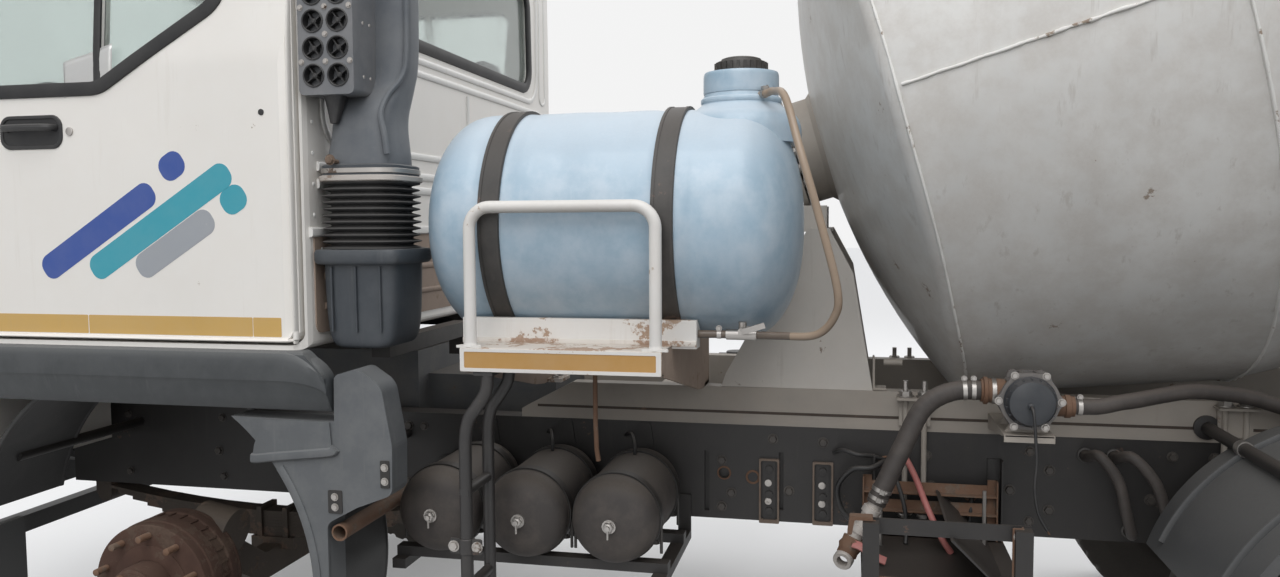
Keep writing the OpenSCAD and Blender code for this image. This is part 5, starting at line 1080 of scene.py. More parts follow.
class MIXER_OT_doors(bpy.types.Operator):
    """Rolled lower edges, handles, locks and plugged holes of the doors"""

    bl_idname = "mixer.doors"
    bl_label = "Door fittings"

    def execute(self, context):
        length = context.scene.mixer_cab.handle
        t = np.linspace(-0.5 * np.pi, 0.5 * np.pi, 7)
        lip = np.stack([0.008 * np.cos(t), 0.013 * np.sin(t)], 1)
        outline = np.array([
            (2.3665, 2.7), (2.3665, 2.2), (2.3665, 1.4), (2.369, 1.366), (2.384, 1.345), (2.415, 1.337),
            (2.9, 1.3365), (3.645, 1.3365)])
        edge = carried(
            np.concatenate([lip, lip[::-1] * (-0.4, 1)])[:-1], on_side(smooth_path(outline, 5), -0.002),
            side=Y)
        grip_x, grip_z = 3.235, 1.955
        bowl = rect(grip_x - length * 0.62, grip_z - 0.045, grip_x + length * 0.62, grip_z + 0.045, 0.03, 6)
        rim = carried(seal_profile(0.012, 0.005), on_side(denser(bowl)), True, Y)
        floor = plate(bowl, SIDE_Y - 0.001, SIDE_Y + 0.001)
        grip = tube(
            smooth_path(
                [
                    (grip_x - length * 0.5, SIDE_Y, grip_z + 0.012),
                    (grip_x - length * 0.42, SIDE_Y + 0.026, grip_z + 0.012),
                    (grip_x, SIDE_Y + 0.032, grip_z + 0.012),
                    (grip_x + length * 0.42, SIDE_Y + 0.026, grip_z + 0.012),
                    (grip_x + length * 0.5, SIDE_Y, grip_z + 0.012)], 5), 0.011, 10)
        lock = turned_form(
            [(0.012, 0), (0.012, 0.004), (0.01, 0.005)], (grip_x - length * 0.8, SIDE_Y, grip_z), Y, 20)
        plug = turned_form([(0.009, 0), (0.009, 0.002), (0.006, 0.003)], (2.456, SIDE_Y, 1.993), Y, 16)
        both_doors(
            "Door_fittings",
            [
                (edge, "cab_white"), (rim, "black_plastic"), (floor, "seal_rubber"), (grip, "black_plastic"),
                (lock, "bare_steel"), (plug, "seal_rubber")], "cab_white", "cab_white")
        return {"FINISHED"}


class MIXER_OT_rear_wall(bpy.types.Operator):
    """Pressed beads and folds of the cab's rear wall, its vents and bolts"""

    bl_idname = "mixer.rear_wall"
    bl_label = "Rear wall"

    def execute(self, context):
        bead = seal_profile(0.026, 0.0075)
        beads = []
        for low, high, bottom, top, r in (
            (-0.95, 0.95, 2.262, 2.88, 0.13), (-1.06, 1.06, 1.915, 2.215, 0.09)):
            outline = rect(low, bottom, high, top, r, 8)
            beads.append(carried(bead, on_rear(denser(outline, 0.2)), True, X))
        for y in (-1.04, 1.04):
            outline = rounded(
                [
                    (y - 0.045, 2.27, 0.04), (y + 0.045, 2.27, 0.04), (y + 0.035, 2.84, 0.035),
                    (y - 0.035, 2.84, 0.035)], 8)
            beads.append(carried(bead * 0.6, on_rear(outline), True, X))
        ribs = [
            carried(bead * (0.8, 0.9), on_rear(lined_up((y, 1.95), (y, 2.19), 4)), side=X)
            for y in (-0.06, 0.52, -0.64)]
        ribs += [
            carried(bead * (1.1, 1.2), on_rear(lined_up((-1.1, z), (1.1, z), 4)), side=X)
            for z in (1.843, 1.792)]
        hem = carried(seal_profile(0.03, 0.012), on_rear(lined_up((-1.15, 1.65), (1.15, 1.65), 4)), side=X)
        studs = repeated(
            rivet(0.014),
            on_rear(np.concatenate([lined_up((s * 1.12, 1.7), (s * 1.12, 2.15), 6) for s in (-1, 1)])),
            (-1, 0, 0))
        under = rounded(
            [(-1.13, 1.352, 0.03), (1.13, 1.352, 0.03), (1.13, 1.646, 0.004), (-1.13, 1.646, 0.004)], 6)
        apron = plate(under, CAB_REAR_X - 0.004, CAB_REAR_X + 0.002, ACROSS)
        folds = joined(*[
            carried(bead * (0.8, 0.7), on_rear(lined_up((-1.08, z), (1.08, z), 4), 0.003), side=X)
            for z in (1.43, 1.52)])
        studs = joined(
            studs, repeated(rivet(0.012), on_rear(lined_up((-1.09, 1.6), (1.09, 1.6), 12), 0.003), (-1, 0, 0))
        )
        piece(
            "Cab_rear_pressings",
            [(joined(*beads, *ribs, hem, studs), "cab_wall"), (joined(apron, folds), "side_brown")], "cab",
            "cab_white", "cab_wall")
        return {"FINISHED"}


# Length and drop of the mouldings' rounded rear ends
MOULDING_END = (0.15, 0.105)


class MIXER_OT_mouldings(bpy.types.Operator):
    """Creased mouldings over the front wheels, with their rolled rear ends"""

    bl_idname = "mixer.mouldings"
    bl_label = "Arch mouldings"

    def execute(self, context):
        section = np.array([
            (1.166, 1.3095), (1.204, 1.3095), (1.219, 1.303), (1.229, 1.288), (1.2335, 1.262),
            (1.2345, 1.226), (1.2315, 1.2215), (1.229, 1.214), (1.222, 1.18), (1.212, 1.15), (1.204, 1.138),
            (1.166, 1.13)])
        tail_x, low_z, tall = 2.262, 1.13, 0.1795
        x = np.concatenate([
            tail_x + MOULDING_END[0] * (1 - np.cos(np.linspace(0, np.pi / 2, 13))),
            np.linspace(2.43, 3.616, 24)])
        drop = MOULDING_END[1] * (1 - np.sqrt(1 - (1 - ((x - tail_x) / MOULDING_END[0]).clip(0, 1)) ** 2))
        share = ((section[:, 1] - low_z) / tall)[None, :]
        z = section[None, :, 1] - drop[:, None] * share ** 1.5
        y = section[None, :, 0] - 0.012 * (drop / MOULDING_END[1])[:, None] * (section[None, :, 0] > 1.2)
        points = np.stack([np.broadcast_to(x[:, None], z.shape), y, z], -1).reshape(-1, 3)
        rows, cols = z.shape
        skin = (
            points,
            [f[::-1] for f in grid_faces(rows, cols, False, True)] + [
                list(range(cols)), list(range((rows - 1) * cols, rows * cols))[::-1]])
        for side, turn in SIDES:
            piece("Arch_moulding_" + side, turn(skin), "cab", "dark_plastic", "moulding", angle=28)
        return {"FINISHED"}


# Air intake


class MixerIntake(bpy.types.PropertyGroup):
    """Sizes of the air intake behind the cab."""

    ribs: IntProperty(
        name="Bellows ribs", description="Folds of the rubber bellows", default=11, min=4, max=30)
    rows: IntProperty(name="Cell rows", description="Rows of cells in the head", default=10, min=2, max=20)
    cell: FloatProperty(name="Cell", description="Diameter of a cell", unit="LENGTH", default=0.06, min=0.02)


# Middle of the intake, ends of its bellows, and low and high corner of its cell head
INTAKE_X, INTAKE_Y = 2.206, 1.03
BELLOWS_Z = (1.602, 1.812)
HEAD = ((2.174, 1.048, 2.04), (2.341, 1.19, 2.86))


def rounded_ring(width, depth, power=0.42):
    """A superellipse of the given width and depth: nearly a rectangle, with round corners."""
    t = turns(48)
    c, s = np.cos(t), np.sin(t)
    return np.stack(
        [np.sign(c) * np.abs(c) ** power * width / 2, np.sign(s) * np.abs(s) ** power * depth / 2], 1)


def stacked(rings, heights, centres):
    """Rings laid one over the other at their heights and centres, with the first and last one closed."""
    points = np.concatenate([
        np.concatenate([r + c, np.full((len(r), 1), h)], 1)
        for r, h, c in zip(rings, heights, np.asarray(centres, float))])
    cols = len(rings[0])
    rows = len(rings)
    return points, grid_faces(rows, cols, False, True) + [
        list(range(cols))[::-1], list(range((rows - 1) * cols, rows * cols))]


class MIXER_OT_intake(bpy.types.Operator):
    """Bellows, duct and the head with its cells"""

    bl_idname = "mixer.intake"
    bl_label = "Air intake"

    def execute(self, context):
        sizes = context.scene.mixer_intake
        count = sizes.ribs
        per = 8
        t = np.linspace(0, count, count * per + 1)
        fold = 0.5 + 0.5 * np.cos(2 * np.pi * t)
        wave = np.sign(fold - 0.5) * np.abs(2 * fold - 1) ** 0.7 * 0.5 + 0.5
        sag = 0.004 * np.sin(t * 1.9)
        heights = BELLOWS_Z[0] + (BELLOWS_Z[1] - BELLOWS_Z[0]) * t / count
        rings = [rounded_ring(0.206 + 0.048 * w + s, 0.203 + 0.04 * w, 0.55) for w, s in zip(wave, sag)]
        bellows = stacked(rings, heights, [(INTAKE_X, INTAKE_Y)] * len(t))
        collar = stacked(
            [
                rounded_ring(w, d, 0.5)
                for w, d in ((0.236, 0.224), (0.246, 0.234), (0.246, 0.234), (0.232, 0.22))],
            (1.806, 1.811, 1.842, 1.846), [(INTAKE_X, INTAKE_Y)] * 4)
        strap = stacked(
            [
                rounded_ring(w, d, 0.5)
                for w, d in ((0.25, 0.238), (0.252, 0.24), (0.252, 0.24), (0.25, 0.238))],
            (1.82, 1.821, 1.833, 1.834), [(INTAKE_X, INTAKE_Y)] * 4)
        pale_band = stacked(
            [
                rounded_ring(w, d, 0.5)
                for w, d in ((0.254, 0.242), (0.262, 0.25), (0.262, 0.25), (0.252, 0.24))],
            (1.796, 1.799, 1.811, 1.814), [(INTAKE_X, INTAKE_Y)] * 4)
        # height, width, depth, middle x, middle y of the duct
        stations = np.array([
            (1.84, 0.214, 0.2, 2.209, 1.03), (1.87, 0.212, 0.198, 2.209, 1.03),
            (1.915, 0.196, 0.192, 2.205, 1.031), (1.96, 0.188, 0.186, 2.204, 1.03),
            (2.0, 0.184, 0.18, 2.2, 1.025), (2.035, 0.188, 0.165, 2.196, 1.014),
            (2.08, 0.196, 0.128, 2.19, 0.997), (2.15, 0.206, 0.116, 2.183, 0.991),
            (2.3, 0.214, 0.113, 2.182, 0.991), (2.6, 0.214, 0.113, 2.182, 0.991),
            (2.9, 0.212, 0.112, 2.182, 0.991), (2.945, 0.202, 0.104, 2.182, 0.991),
            (2.958, 0.17, 0.08, 2.182, 0.991)])
        fine = smooth_path(stations[:, [0, 1, 2]], 5)
        middle = smooth_path(stations[:, [0, 3, 4]], 5)
        duct = stacked([rounded_ring(w, d, 0.5) for _, w, d in fine], fine[:, 0], middle[:, 1:])
        crease = tube(
            smooth_path(
                [
                    (2.108, 1.122, 1.872), (2.116, 1.121, 1.93), (2.128, 1.118, 1.99), (2.12, 1.088, 2.045),
                    (2.092, 1.044, 2.11), (2.082, 1.038, 2.2), (2.08, 1.038, 2.5), (2.08, 1.038, 2.9)], 5),
            0.009, 8)
        (x0, y0, z0), (x1, y1, z1) = HEAD
        body = plate(rect(x0, z0, x1, z1, 0.014, 5), y0 - 0.002, y1 - 0.03)
        radius, pitch = sizes.cell / 2, 0.076
        rows = z0 + 0.052 + pitch * np.arange(sizes.rows)
        cells = np.array([
            (x, z) for z in rows for x in ((x0 + x1) / 2 - pitch / 2, (x0 + x1) / 2 + pitch / 2)])
        disc = circle(radius, 20)
        face = plate(
            rect(x0 - 0.002, z0 - 0.002, x1 + 0.001, z1 + 0.002, 0.016, 5), y1 - 0.032, y1 - 0.004,
            holes=[disc[::-1] + c for c in cells])
        ring = turned_form(
            [
                (radius - 0.001, -0.03), (radius + 0.0035, -0.03), (radius + 0.0035, 0.0022),
                (radius + 0.001, 0.0038), (radius - 0.001, 0.0022)], axis=Z, sides=24, closed=True)
        hub = turned_form(
            [(radius * 0.28, -0.026), (radius * 0.28, -0.006), (radius * 0.16, -0.002)], axis=Z, sides=12)
        vane = joined(*[
            moved(box((-radius, -0.0016, -0.024), (radius, 0.0016, -0.006)), turn=turned("Z", a))
            for a in (35, 125)])
        centres = np.stack([cells[:, 0], np.full(len(cells), y1 - 0.004), cells[:, 1]], 1)
        unit_of_cell = joined(ring, hub, vane)
        cell_parts = repeated(unit_of_cell, centres, Y)
        between = np.array([((x0 + x1) / 2, y1 - 0.004, z) for z in rows[:-1] + pitch / 2])
        screws = bolts(
            np.concatenate([between, between[::2] + (0.075, 0, 0), between[::2] - (0.075, 0, 0)]), Y, 0.009)
        side_rivets = repeated(
            rivet(0.012), [(x0, y, z) for z in rows[::2] for y in (y0 + 0.035, y0 + 0.075)], (-1, 0, 0))
        spout = carried(
            rounded_ring(1.0, 1.0, 0.8),
            smooth_path(
                [(2.262, 1.13, 2.045), (2.262, 1.13, 2.02), (2.264, 1.131, 1.99), (2.266, 1.133, 1.962)], 4),
            side=X, scale=np.linspace(0.066, 0.02, 13))
        clamp = joined(
            tube(lined_up((2.262, 1.128, 1.852), (2.262, 1.178, 1.856), 3), 0.007, 8),
            bolts([(2.262, 1.168, 1.856)], Y, 0.016))
        made = piece(
            "Intake_duct",
            [
                (duct, "duct_plastic"), (crease, "duct_plastic"), (body, "head_plastic"),
                (face, "head_plastic"), (cell_parts, "black_plastic"), (screws, "bare_steel"),
                (side_rivets, "bare_steel"), (spout, "black_plastic"), (collar, "intake_plastic"),
                (strap, "bare_steel"), (clamp, "rusty_steel"), (pale_band, "pale_pipe"),
                (
                    joined(
                        box((2.236, 0.98, 2.15), (CAB_REAR_X, 1.06, 2.19)),
                        box((2.236, 0.98, 2.8), (CAB_REAR_X, 1.06, 2.84))), "black_fittings")], "cab",
            "dark_plastic", "duct_plastic")
        folds = piece("Intake_bellows", bellows, "cab", "dark_plastic", "bellows_rubber", angle=60)
        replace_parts(made, "air_intake")
        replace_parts(folds, "air_intake")
        lip = stacked(
            [
                rounded_ring(w, d, 0.28)
                for w, d in (
                    (0.262, 0.252), (0.272, 0.262), (0.278, 0.268), (0.278, 0.268), (0.27, 0.26), (0.24, 0.23)
                )], (1.556, 1.56, 1.568, 1.59, 1.5985, 1.6005), [(INTAKE_X - 0.002, INTAKE_Y - 0.001)] * 6)
        widths = np.array([
            (1.312, 0.15, 0.19), (1.32, 0.185, 0.205), (1.345, 0.212, 0.214), (1.4, 0.228, 0.218),
            (1.48, 0.236, 0.221), (1.558, 0.24, 0.222)])
        box_form = smooth_path(widths, 5)
        lower = stacked(
            [rounded_ring(w, d, 0.36) for _, w, d in box_form], box_form[:, 0],
            [(INTAKE_X - 0.002, INTAKE_Y)] * len(box_form))
        ribs = joined(*[
            tube(smooth_path([(x, 1.143, 1.36), (x, 1.1445, 1.45), (x, 1.1445, 1.55)], 3), 0.004, 8)
            for x in (2.13, 2.206, 2.282)])
        foot = joined(
            box((2.176, 0.37, 1.2665), (2.236, 1.0, 1.318)), box((2.176, 0.37, 1.2005), (2.236, 0.42, 1.268)))
        under = piece(
            "Intake_box",
            [
                (lip, "intake_plastic"), (lower, "intake_plastic"), (ribs, "intake_plastic"),
                (foot, "black_fittings")], "root", "dark_plastic", "intake_plastic")
        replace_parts(under, "air_filter_box")
        return {"FINISHED"}


# Water tank and its platform


class MixerTank(bpy.types.PropertyGroup):
    """Sizes of the water tank's fittings."""

    strap: FloatProperty(
        name="Strap", description="Width of a tank strap", unit="LENGTH", default=0.062, min=0.02)
    groove: FloatProperty(
        name="Groove", description="Depth of the grooves in the tank", unit="LENGTH", default=0.006, min=0.0)
    hoop: FloatProperty(
        name="Hoop", description="Diameter of the hoop rail", unit="LENGTH", default=0.034, min=0.01)


# The tank's axis, its neck, both ends, the middles of its straps and its radius
TANK_Y, TANK_Z = 0.8, 1.665
NECK_X = 1.13
TANK_ENDS = (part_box("water_tank")[0].x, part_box("water_tank")[1].x)
STRAP_X = (TANK_ENDS[0] + 0.36, TANK_ENDS[1] - 0.268)
TANK_R = 0.342


class MIXER_OT_tank(bpy.types.Operator):
    """Blue water tank with its neck, grooves, straps and cap"""

    bl_idname = "mixer.tank"
    bl_label = "Water tank"

    def execute(self, context):
        sizes = context.scene.mixer_tank
        length = TANK_ENDS[1] - TANK_ENDS[0]
        t = np.linspace(0, 1, 91)
        x = 0.5 - 0.5 * np.cos(np.pi * t) * (0.72 + 0.28 * np.cos(np.pi * t) ** 2)
        along = x * length
        end = np.minimum(along, length - along)
        dome = 0.195
        radius = TANK_R * (1 - np.maximum(1 - end / dome, 0) ** 2.35) ** (1 / 2.35)
        around = turns(96)
        marks = np.array([s - TANK_ENDS[0] + d for s in STRAP_X for d in (-0.048, 0.048)])
        groove = sizes.groove * np.exp(-(((along[:, None] - marks[None, :]) / 0.007) ** 2)).sum(1)
        shallow = 0.0016 * np.sin(along * 31)[:, None] * np.cos(
            around * 3 + 1)[None, :] * (end > 0.1)[:, None]
        r = (radius - groove)[:, None] + shallow
        points = np.stack(
            [
                np.broadcast_to(TANK_ENDS[0] + along[:, None], r.shape), TANK_Y + r * np.cos(around),
                TANK_Z + r * np.sin(around)], -1)
        rows, cols = r.shape
        poles = np.array([(TANK_ENDS[0], TANK_Y, TANK_Z), (TANK_ENDS[1], TANK_Y, TANK_Z)])
        ring = np.arange(cols)
        inner = points[1:-1].reshape(-1, 3)
        faces = grid_faces(rows - 2, cols, False, True)
        first, last = (rows - 2) * cols, (rows - 2) * cols + 1
        faces += np.stack([np.full(cols, first), (ring + 1) % cols, ring], 1).tolist()
        faces += np.stack(
            [np.full(cols, last), (rows - 3) * cols + ring, (rows - 3) * cols + (ring + 1) % cols], 1
        ).tolist()
        shell = (np.concatenate([inner, poles]), faces)
        h = np.array([
            (0.178, 0.235), (0.176, 0.285), (0.16, 0.318), (0.132, 0.338), (0.118, 0.35), (0.114, 0.362),
            (0.108, 0.385), (0.111, 0.385), (0.111, 0.432), (0.108, 0.444)])
        neck = turned_form(smooth_path(h, 4), (NECK_X, TANK_Y, TANK_Z), Z, 56)
        scale = turned_form(
            [(0.116, 0.352), (0.119, 0.356), (0.119, 0.366), (0.115, 0.37)], (NECK_X, TANK_Y, TANK_Z), Z, 56)
        made = piece("Water_tank", joined(shell, neck, scale), "root", "tank_blue", "tank_blue", angle=50)
        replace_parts(made, "water_tank")
        cap = turned_form(
            [
                (0.07, 0.4455), (0.076, 0.448), (0.076, 0.47), (0.072, 0.476), (0.062, 0.478), (0.058, 0.485),
                (0.048, 0.4885), (0.018, 0.489)], (NECK_X, TANK_Y, TANK_Z), Z, 48)
        grips = joined(*[
            moved(
                box((0.072, -0.004, 0.4485), (0.079, 0.004, 0.4725)), (NECK_X, TANK_Y, TANK_Z), turned("Z", a)
            ) for a in range(0, 360, 15)])
        t = np.linspace(0, 2 * np.pi, 73)[:-1]
        bands = []
        for middle in STRAP_X:
            ring = np.stack(
                [
                    np.full(72, middle), TANK_Y + (TANK_R + 0.0045) * np.cos(t),
                    TANK_Z + (TANK_R + 0.0045) * np.sin(t)], 1)
            w = sizes.strap / 2
            bands.append(carried(
                np.array([(-0.0035, -w), (-0.0035, w), (0.0035, w), (0.0035, -w)]), ring, True, X))
            bands += [
                carried(
                    np.array([
                        (-0.0055, s - 0.004), (-0.0055, s + 0.004), (0.0055, s + 0.004), (0.0055, s - 0.004)
                    ]), ring, True, X) for s in (-w * 0.82, w * 0.82)]
        fittings = piece(
            "Tank_straps", [(joined(*bands), "black_fittings"), (joined(cap, grips), "black_fittings")],
            "root", "black_fittings", "black_fittings")
        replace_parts(fittings, "tank_fittings")
        return {"FINISHED"}


# Low and high corner of the platform, and the thickness of its side plates
PLAT_LOW, PLAT_HIGH = (1.295, 1.05, 1.262), (1.865, 1.2, 1.33)
SIDE_PLATE = 0.008


def tank_curve(low_y, high_y, gap=0.008, steps=7):
    """(y, z) points of the tank's underside with a gap, from high y to low y: a circle's lower half."""
    y = np.linspace(high_y, low_y, steps)
    return [(b, TANK_Z - math.sqrt((TANK_R + gap) ** 2 - (b - TANK_Y) ** 2)) for b in y]


class MIXER_OT_platform(bpy.types.Operator):
    """Step platform with its side plates, the cradle's beams and the hoop rail"""

    bl_idname = "mixer.platform"
    bl_label = "Step platform"

    def execute(self, context):
        hoop = context.scene.mixer_tank.hoop
        (x0, y0, z0), (x1, y1, z1) = PLAT_LOW, PLAT_HIGH
        channel = rounded(
            [
                (y0, z1, 0), (y0, z1 - 0.005, 0), (y1 - 0.005, z1 - 0.005, 0.003),
                (y1 - 0.005, z0 + 0.005, 0.003), (y1 - 0.03, z0 + 0.005, 0), (y1 - 0.03, z0, 0),
                (y1, z0, 0.006), (y1, z1, 0.006)], 4)
        parts = [(plate(channel, x0, x1, ACROSS), "white_frame")]
        rim = rect(x0 + 0.001, z0 + 0.002, x1 - 0.001, z1 - 0.002, 0.004, 4)
        field = rect(x0 + 0.015, z0 + 0.012, x1 - 0.013, z1 - 0.011, 0.003, 4)
        parts.append((plate(rim, y1 - 0.001, y1 + 0.0022, holes=[field[::-1]]), "white_border"))
        parts.append((plate(field, y1 - 0.001, y1 + 0.0008), "tape_amber"))
        notch = tank_curve(0.699, 0.901)
        side = [
            (0.33, 1.1105), (0.47, 1.1105), (0.56, 1.122), (1.19, z0), (y1 - 0.004, z0 + 0.003),
            (y1 - 0.004, z1 - 0.004), *notch, (0.33, z1 - 0.004)]
        for x in (x0, x1 - SIDE_PLATE):
            parts.append((plate(side, x, x + SIDE_PLATE, ACROSS), "side_brown"))
        for x in (x0, x1 - 0.06):
            parts.append((box((x, 0.33, 1.1105), (x + 0.06, 0.44, 1.1225), 0.004), "white_frame"))
            parts.append((
                bolts([(x + 0.03, 0.36, 1.1225), (x + 0.03, 0.415, 1.1225)], Z, 0.016), "bare_steel"))
        for low, high in ((0.548, 0.608), (0.992, 1.052)):
            near = 1 if low > TANK_Y else -1
            foot, wall = (low, high) if near > 0 else (high, low)
            beam = [(foot, 1.32), (wall, 1.32), (wall, 1.4), (wall - near * 0.0235, 1.4), (foot, 1.3724)]
            parts.append((plate(beam if near > 0 else beam[::-1], 1.225, 1.915, ACROSS), "white_border"))
            lip = plate(
                rounded(
                    [
                        (wall - near * 0.004, 1.326, 0), (wall + near * 0.004, 1.326, 0.001),
                        (wall + near * 0.004, 1.342, 0.001), (wall - near * 0.004, 1.342, 0)][::near], 3),
                1.225, 1.915, ACROSS)
            parts.append((lip, "white_frame"))
        for foot in ((x1 - 0.025), (x0 + 0.02)):
            parts.append((
                plate(
                    rounded(
                        [
                            (foot - 0.04, y1 - 0.002, 0.004), (foot - 0.014, y1 - 0.05, 0.01),
                            (foot + 0.014, y1 - 0.05, 0.01), (foot + 0.04, y1 - 0.002, 0.004)][::-1], 4),
                    z1 - 0.001, z1 + 0.006, (X, Y, Z)), "white_border"))
        path = rounded(
            [(x1 - 0.025, z1, 0), (x1 - 0.025, 1.717, 0.06), (x0 + 0.02, 1.717, 0.06), (x0 + 0.02, z1, 0)], 10
        )
        path = np.stack([path[:, 0], 1.18 - 0.002 * (path[:, 1] > 1.5), path[:, 1]], 1)
        path = np.concatenate([
            lined_up(path[0], path[1], 5)[:-1], path[1:11], lined_up(path[10], path[11], 6)[1:-1],
            path[11:-1], lined_up(path[-2], path[-1], 5)[1:]])
        parts.append((tube(path, hoop / 2, 20, side=Y), "hoop_white"))
        parts.append((
            joined(*[
                tube(
                    lined_up((f, 1.18, z1 + 0.001), (f, 1.18, z1 + 0.012), 2),
                    (hoop / 2 + 0.003, hoop / 2 + 0.0005), 20) for f in (x1 - 0.025, x0 + 0.02)]),
            "hoop_white"))
        parts.append((
            tube(
                [(1.523, 1.03, z1 - 0.006), (1.523, 1.03, 1.1), (1.521, 1.027, 1.02), (1.518, 1.02, 0.985)],
                0.007, 10), "rusty_steel"))
        made = piece("Step_platform", parts, "root", "white_frame", "white_frame", bevel=0.0012)
        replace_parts(made, "tank_platform")
        return {"FINISHED"}


class MIXER_OT_ladder(bpy.types.Operator):
    """Black ladder of bent tube that hangs under the platform"""

    bl_idname = "mixer.ladder"
    bl_label = "Ladder"

    def execute(self, context):
        legs = []
        for y in (1.18, 1.005):
            legs.append(tube(
                smooth_path(
                    [
                        (1.79, y, 1.256), (1.798, y, 1.205), (1.826, y, 1.16), (1.85, y, 1.125),
                        (1.861, y, 1.07), (1.862, y, 1.0), (1.862, y, 0.7), (1.862, y, 0.345),
                        (1.862, y, 0.332)], 6), 0.018, 18))
        rungs = [
            tube([(1.862, 0.99, z), (1.862, 1.005, z), (1.862, 1.18, z), (1.862, 1.195, z)], 0.014, 14)
            for z in (0.36, 0.64, 0.92)]
        grips = [
            tube(
                np.stack([np.full(9, 1.862), np.linspace(1.02, 1.165, 9), np.full(9, z)], 1),
                0.0152 + 0.0012 * (np.arange(9) % 2), 14) for z in (0.36, 0.64, 0.92)]
        flange = plate(rect(1.814, 0.742, 1.91, 0.786, 0.006, 4), 1.184, 1.19)
        hump = turned_form(
            [(0.0205, 0.742), (0.0225, 0.744), (0.0225, 0.784), (0.0205, 0.786)], (1.862, 1.18, 0), Z, 20)
        heads = bolts([(1.827, 1.19, 0.764), (1.897, 1.19, 0.764)], Y, 0.017)
        top = box((1.77, 0.985, 1.252), (1.83, 1.198, 1.2617), 0.006)
        made = piece(
            "Step_ladder",
            [
                (joined(*legs, *rungs), "black_tube"), (joined(*grips), "black_tube"),
                (joined(flange, hump, top), "black_tube"), (heads, "bare_steel")], "root", "black_tube",
            "black_tube")
        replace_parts(made, "tank_ladder")
        return {"FINISHED"}


# Air tanks, pump and hoses

# Places of the three air tanks along the truck, their height and radius
AIR_TANKS_X, AIR_TANK_Z, AIR_TANK_R = (2.075, 1.79, 1.505), 0.77, 0.134


def domed(radius, start, end, dome, power=2.5, steps=12):
    """Profile of (radius, along) points of a tank: straight sides, and superelliptic ends of the given
    depth.
    """
    t = np.linspace(0.0, 1.0, steps)
    r = radius * (1 - (1 - t) ** power) ** (1 / power)
    r[0] = radius * 0.04
    low = np.stack([r, start + dome * t], 1)
    high = np.stack([r[::-1], end - dome * t[::-1]], 1)
    return np.concatenate([low, high])


def beaded(profile, places, height, width):
    """The profile with round beads on it: a bump of the given height and width at each place along the
    axis.
    """
    low, high = profile[:, 1].min(), profile[:, 1].max()
    along = np.unique(np.concatenate([profile[:, 1]] + [
        np.linspace(max(p - width * 1.6, low), min(p + width * 1.6, high), 13) for p in places]))
    radius = np.interp(along, profile[:, 1], profile[:, 0])
    for p in places:
        radius = radius + height * np.exp(-(((along - p) / (width * 0.5)) ** 2))
    return np.stack([radius, along], 1)


class MIXER_OT_air_tanks(bpy.types.Operator):
    """Three steel air tanks with weld seams, straps and drain valves"""

    bl_idname = "mixer.air_tanks"
    bl_label = "Air tanks"

    def execute(self, context):
        form = beaded(domed(AIR_TANK_R, 0.432, 0.952, 0.085), (0.52, 0.866), 0.0022, 0.007)
        form = beaded(form, (0.53, 0.856), -0.0016, 0.005)
        tanks, straps, valves = [], [], []
        for x in AIR_TANKS_X:
            tanks.append(turned_form(form, (x, 0, AIR_TANK_Z), Y, 72))
            for y in (0.553, 0.842):
                straps.append(turned_form(
                    [
                        (AIR_TANK_R + 0.0003, y - 0.011), (AIR_TANK_R + 0.0026, y - 0.011),
                        (AIR_TANK_R + 0.0026, y + 0.011), (AIR_TANK_R + 0.0003, y + 0.011)],
                    (x, 0, AIR_TANK_Z), Y, 72, True))
                straps.append(bolts([(x + 0.118, y, 0.69), (x - 0.118, y, 0.69)], Z, 0.014))
                straps += [
                    tube([(x + s * 0.1365, y, 0.765), (x + s * 0.1365, y, 0.66)], 0.005, 8) for s in (-1, 1)]
            valves.append(turned_form(
                [
                    (0.021, 0.945), (0.021, 0.956), (0.016, 0.958), (0.016, 0.964), (0.0115, 0.966),
                    (0.0115, 0.972), (0.0075, 0.974), (0.0075, 0.983), (0.002, 0.984)], (x, 0, AIR_TANK_Z), Y,
                20))
            valves.append(bolts([(x, 0.957, AIR_TANK_Z)], Y, 0.022))
            valves.append(tube(
                [(x, 0.97, AIR_TANK_Z), (x, 0.974, AIR_TANK_Z - 0.012), (x, 0.974, AIR_TANK_Z - 0.034)],
                0.0035, 8))
        hangers = [
            plate(
                rounded(
                    [
                        (x - 0.03, 0.89, 0.006), (x + 0.03, 0.89, 0.006), (x + 0.018, 0.975, 0.012),
                        (x - 0.018, 0.975, 0.012)], 4), 0.4215, 0.4265) for x in AIR_TANKS_X]
        pipes = [
            tube(
                smooth_path(
                    [
                        (x, 0.6, AIR_TANK_Z + AIR_TANK_R - 0.002), (x, 0.6, 0.935), (x + 0.02, 0.55, 0.958),
                        (x + 0.05, 0.47, 0.945), (x + 0.07, 0.432, 0.93)], 5), 0.006, 8)
            for x in AIR_TANKS_X[1:]]
        made = piece(
            "Air_tanks",
            [
                (joined(*tanks), "air_tank_black"), (joined(*straps), "black_fittings"),
                (joined(*valves), "bare_steel"), (joined(*hangers), "frame_black"),
                (joined(*pipes), "cable_sheath")], "root", "air_tank_black", "air_tank_black", angle=40)
        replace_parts(made, "air_tanks")
        return {"FINISHED"}


# Middle of the pump's casing
PUMP = (0.3, 0.73, 1.15)


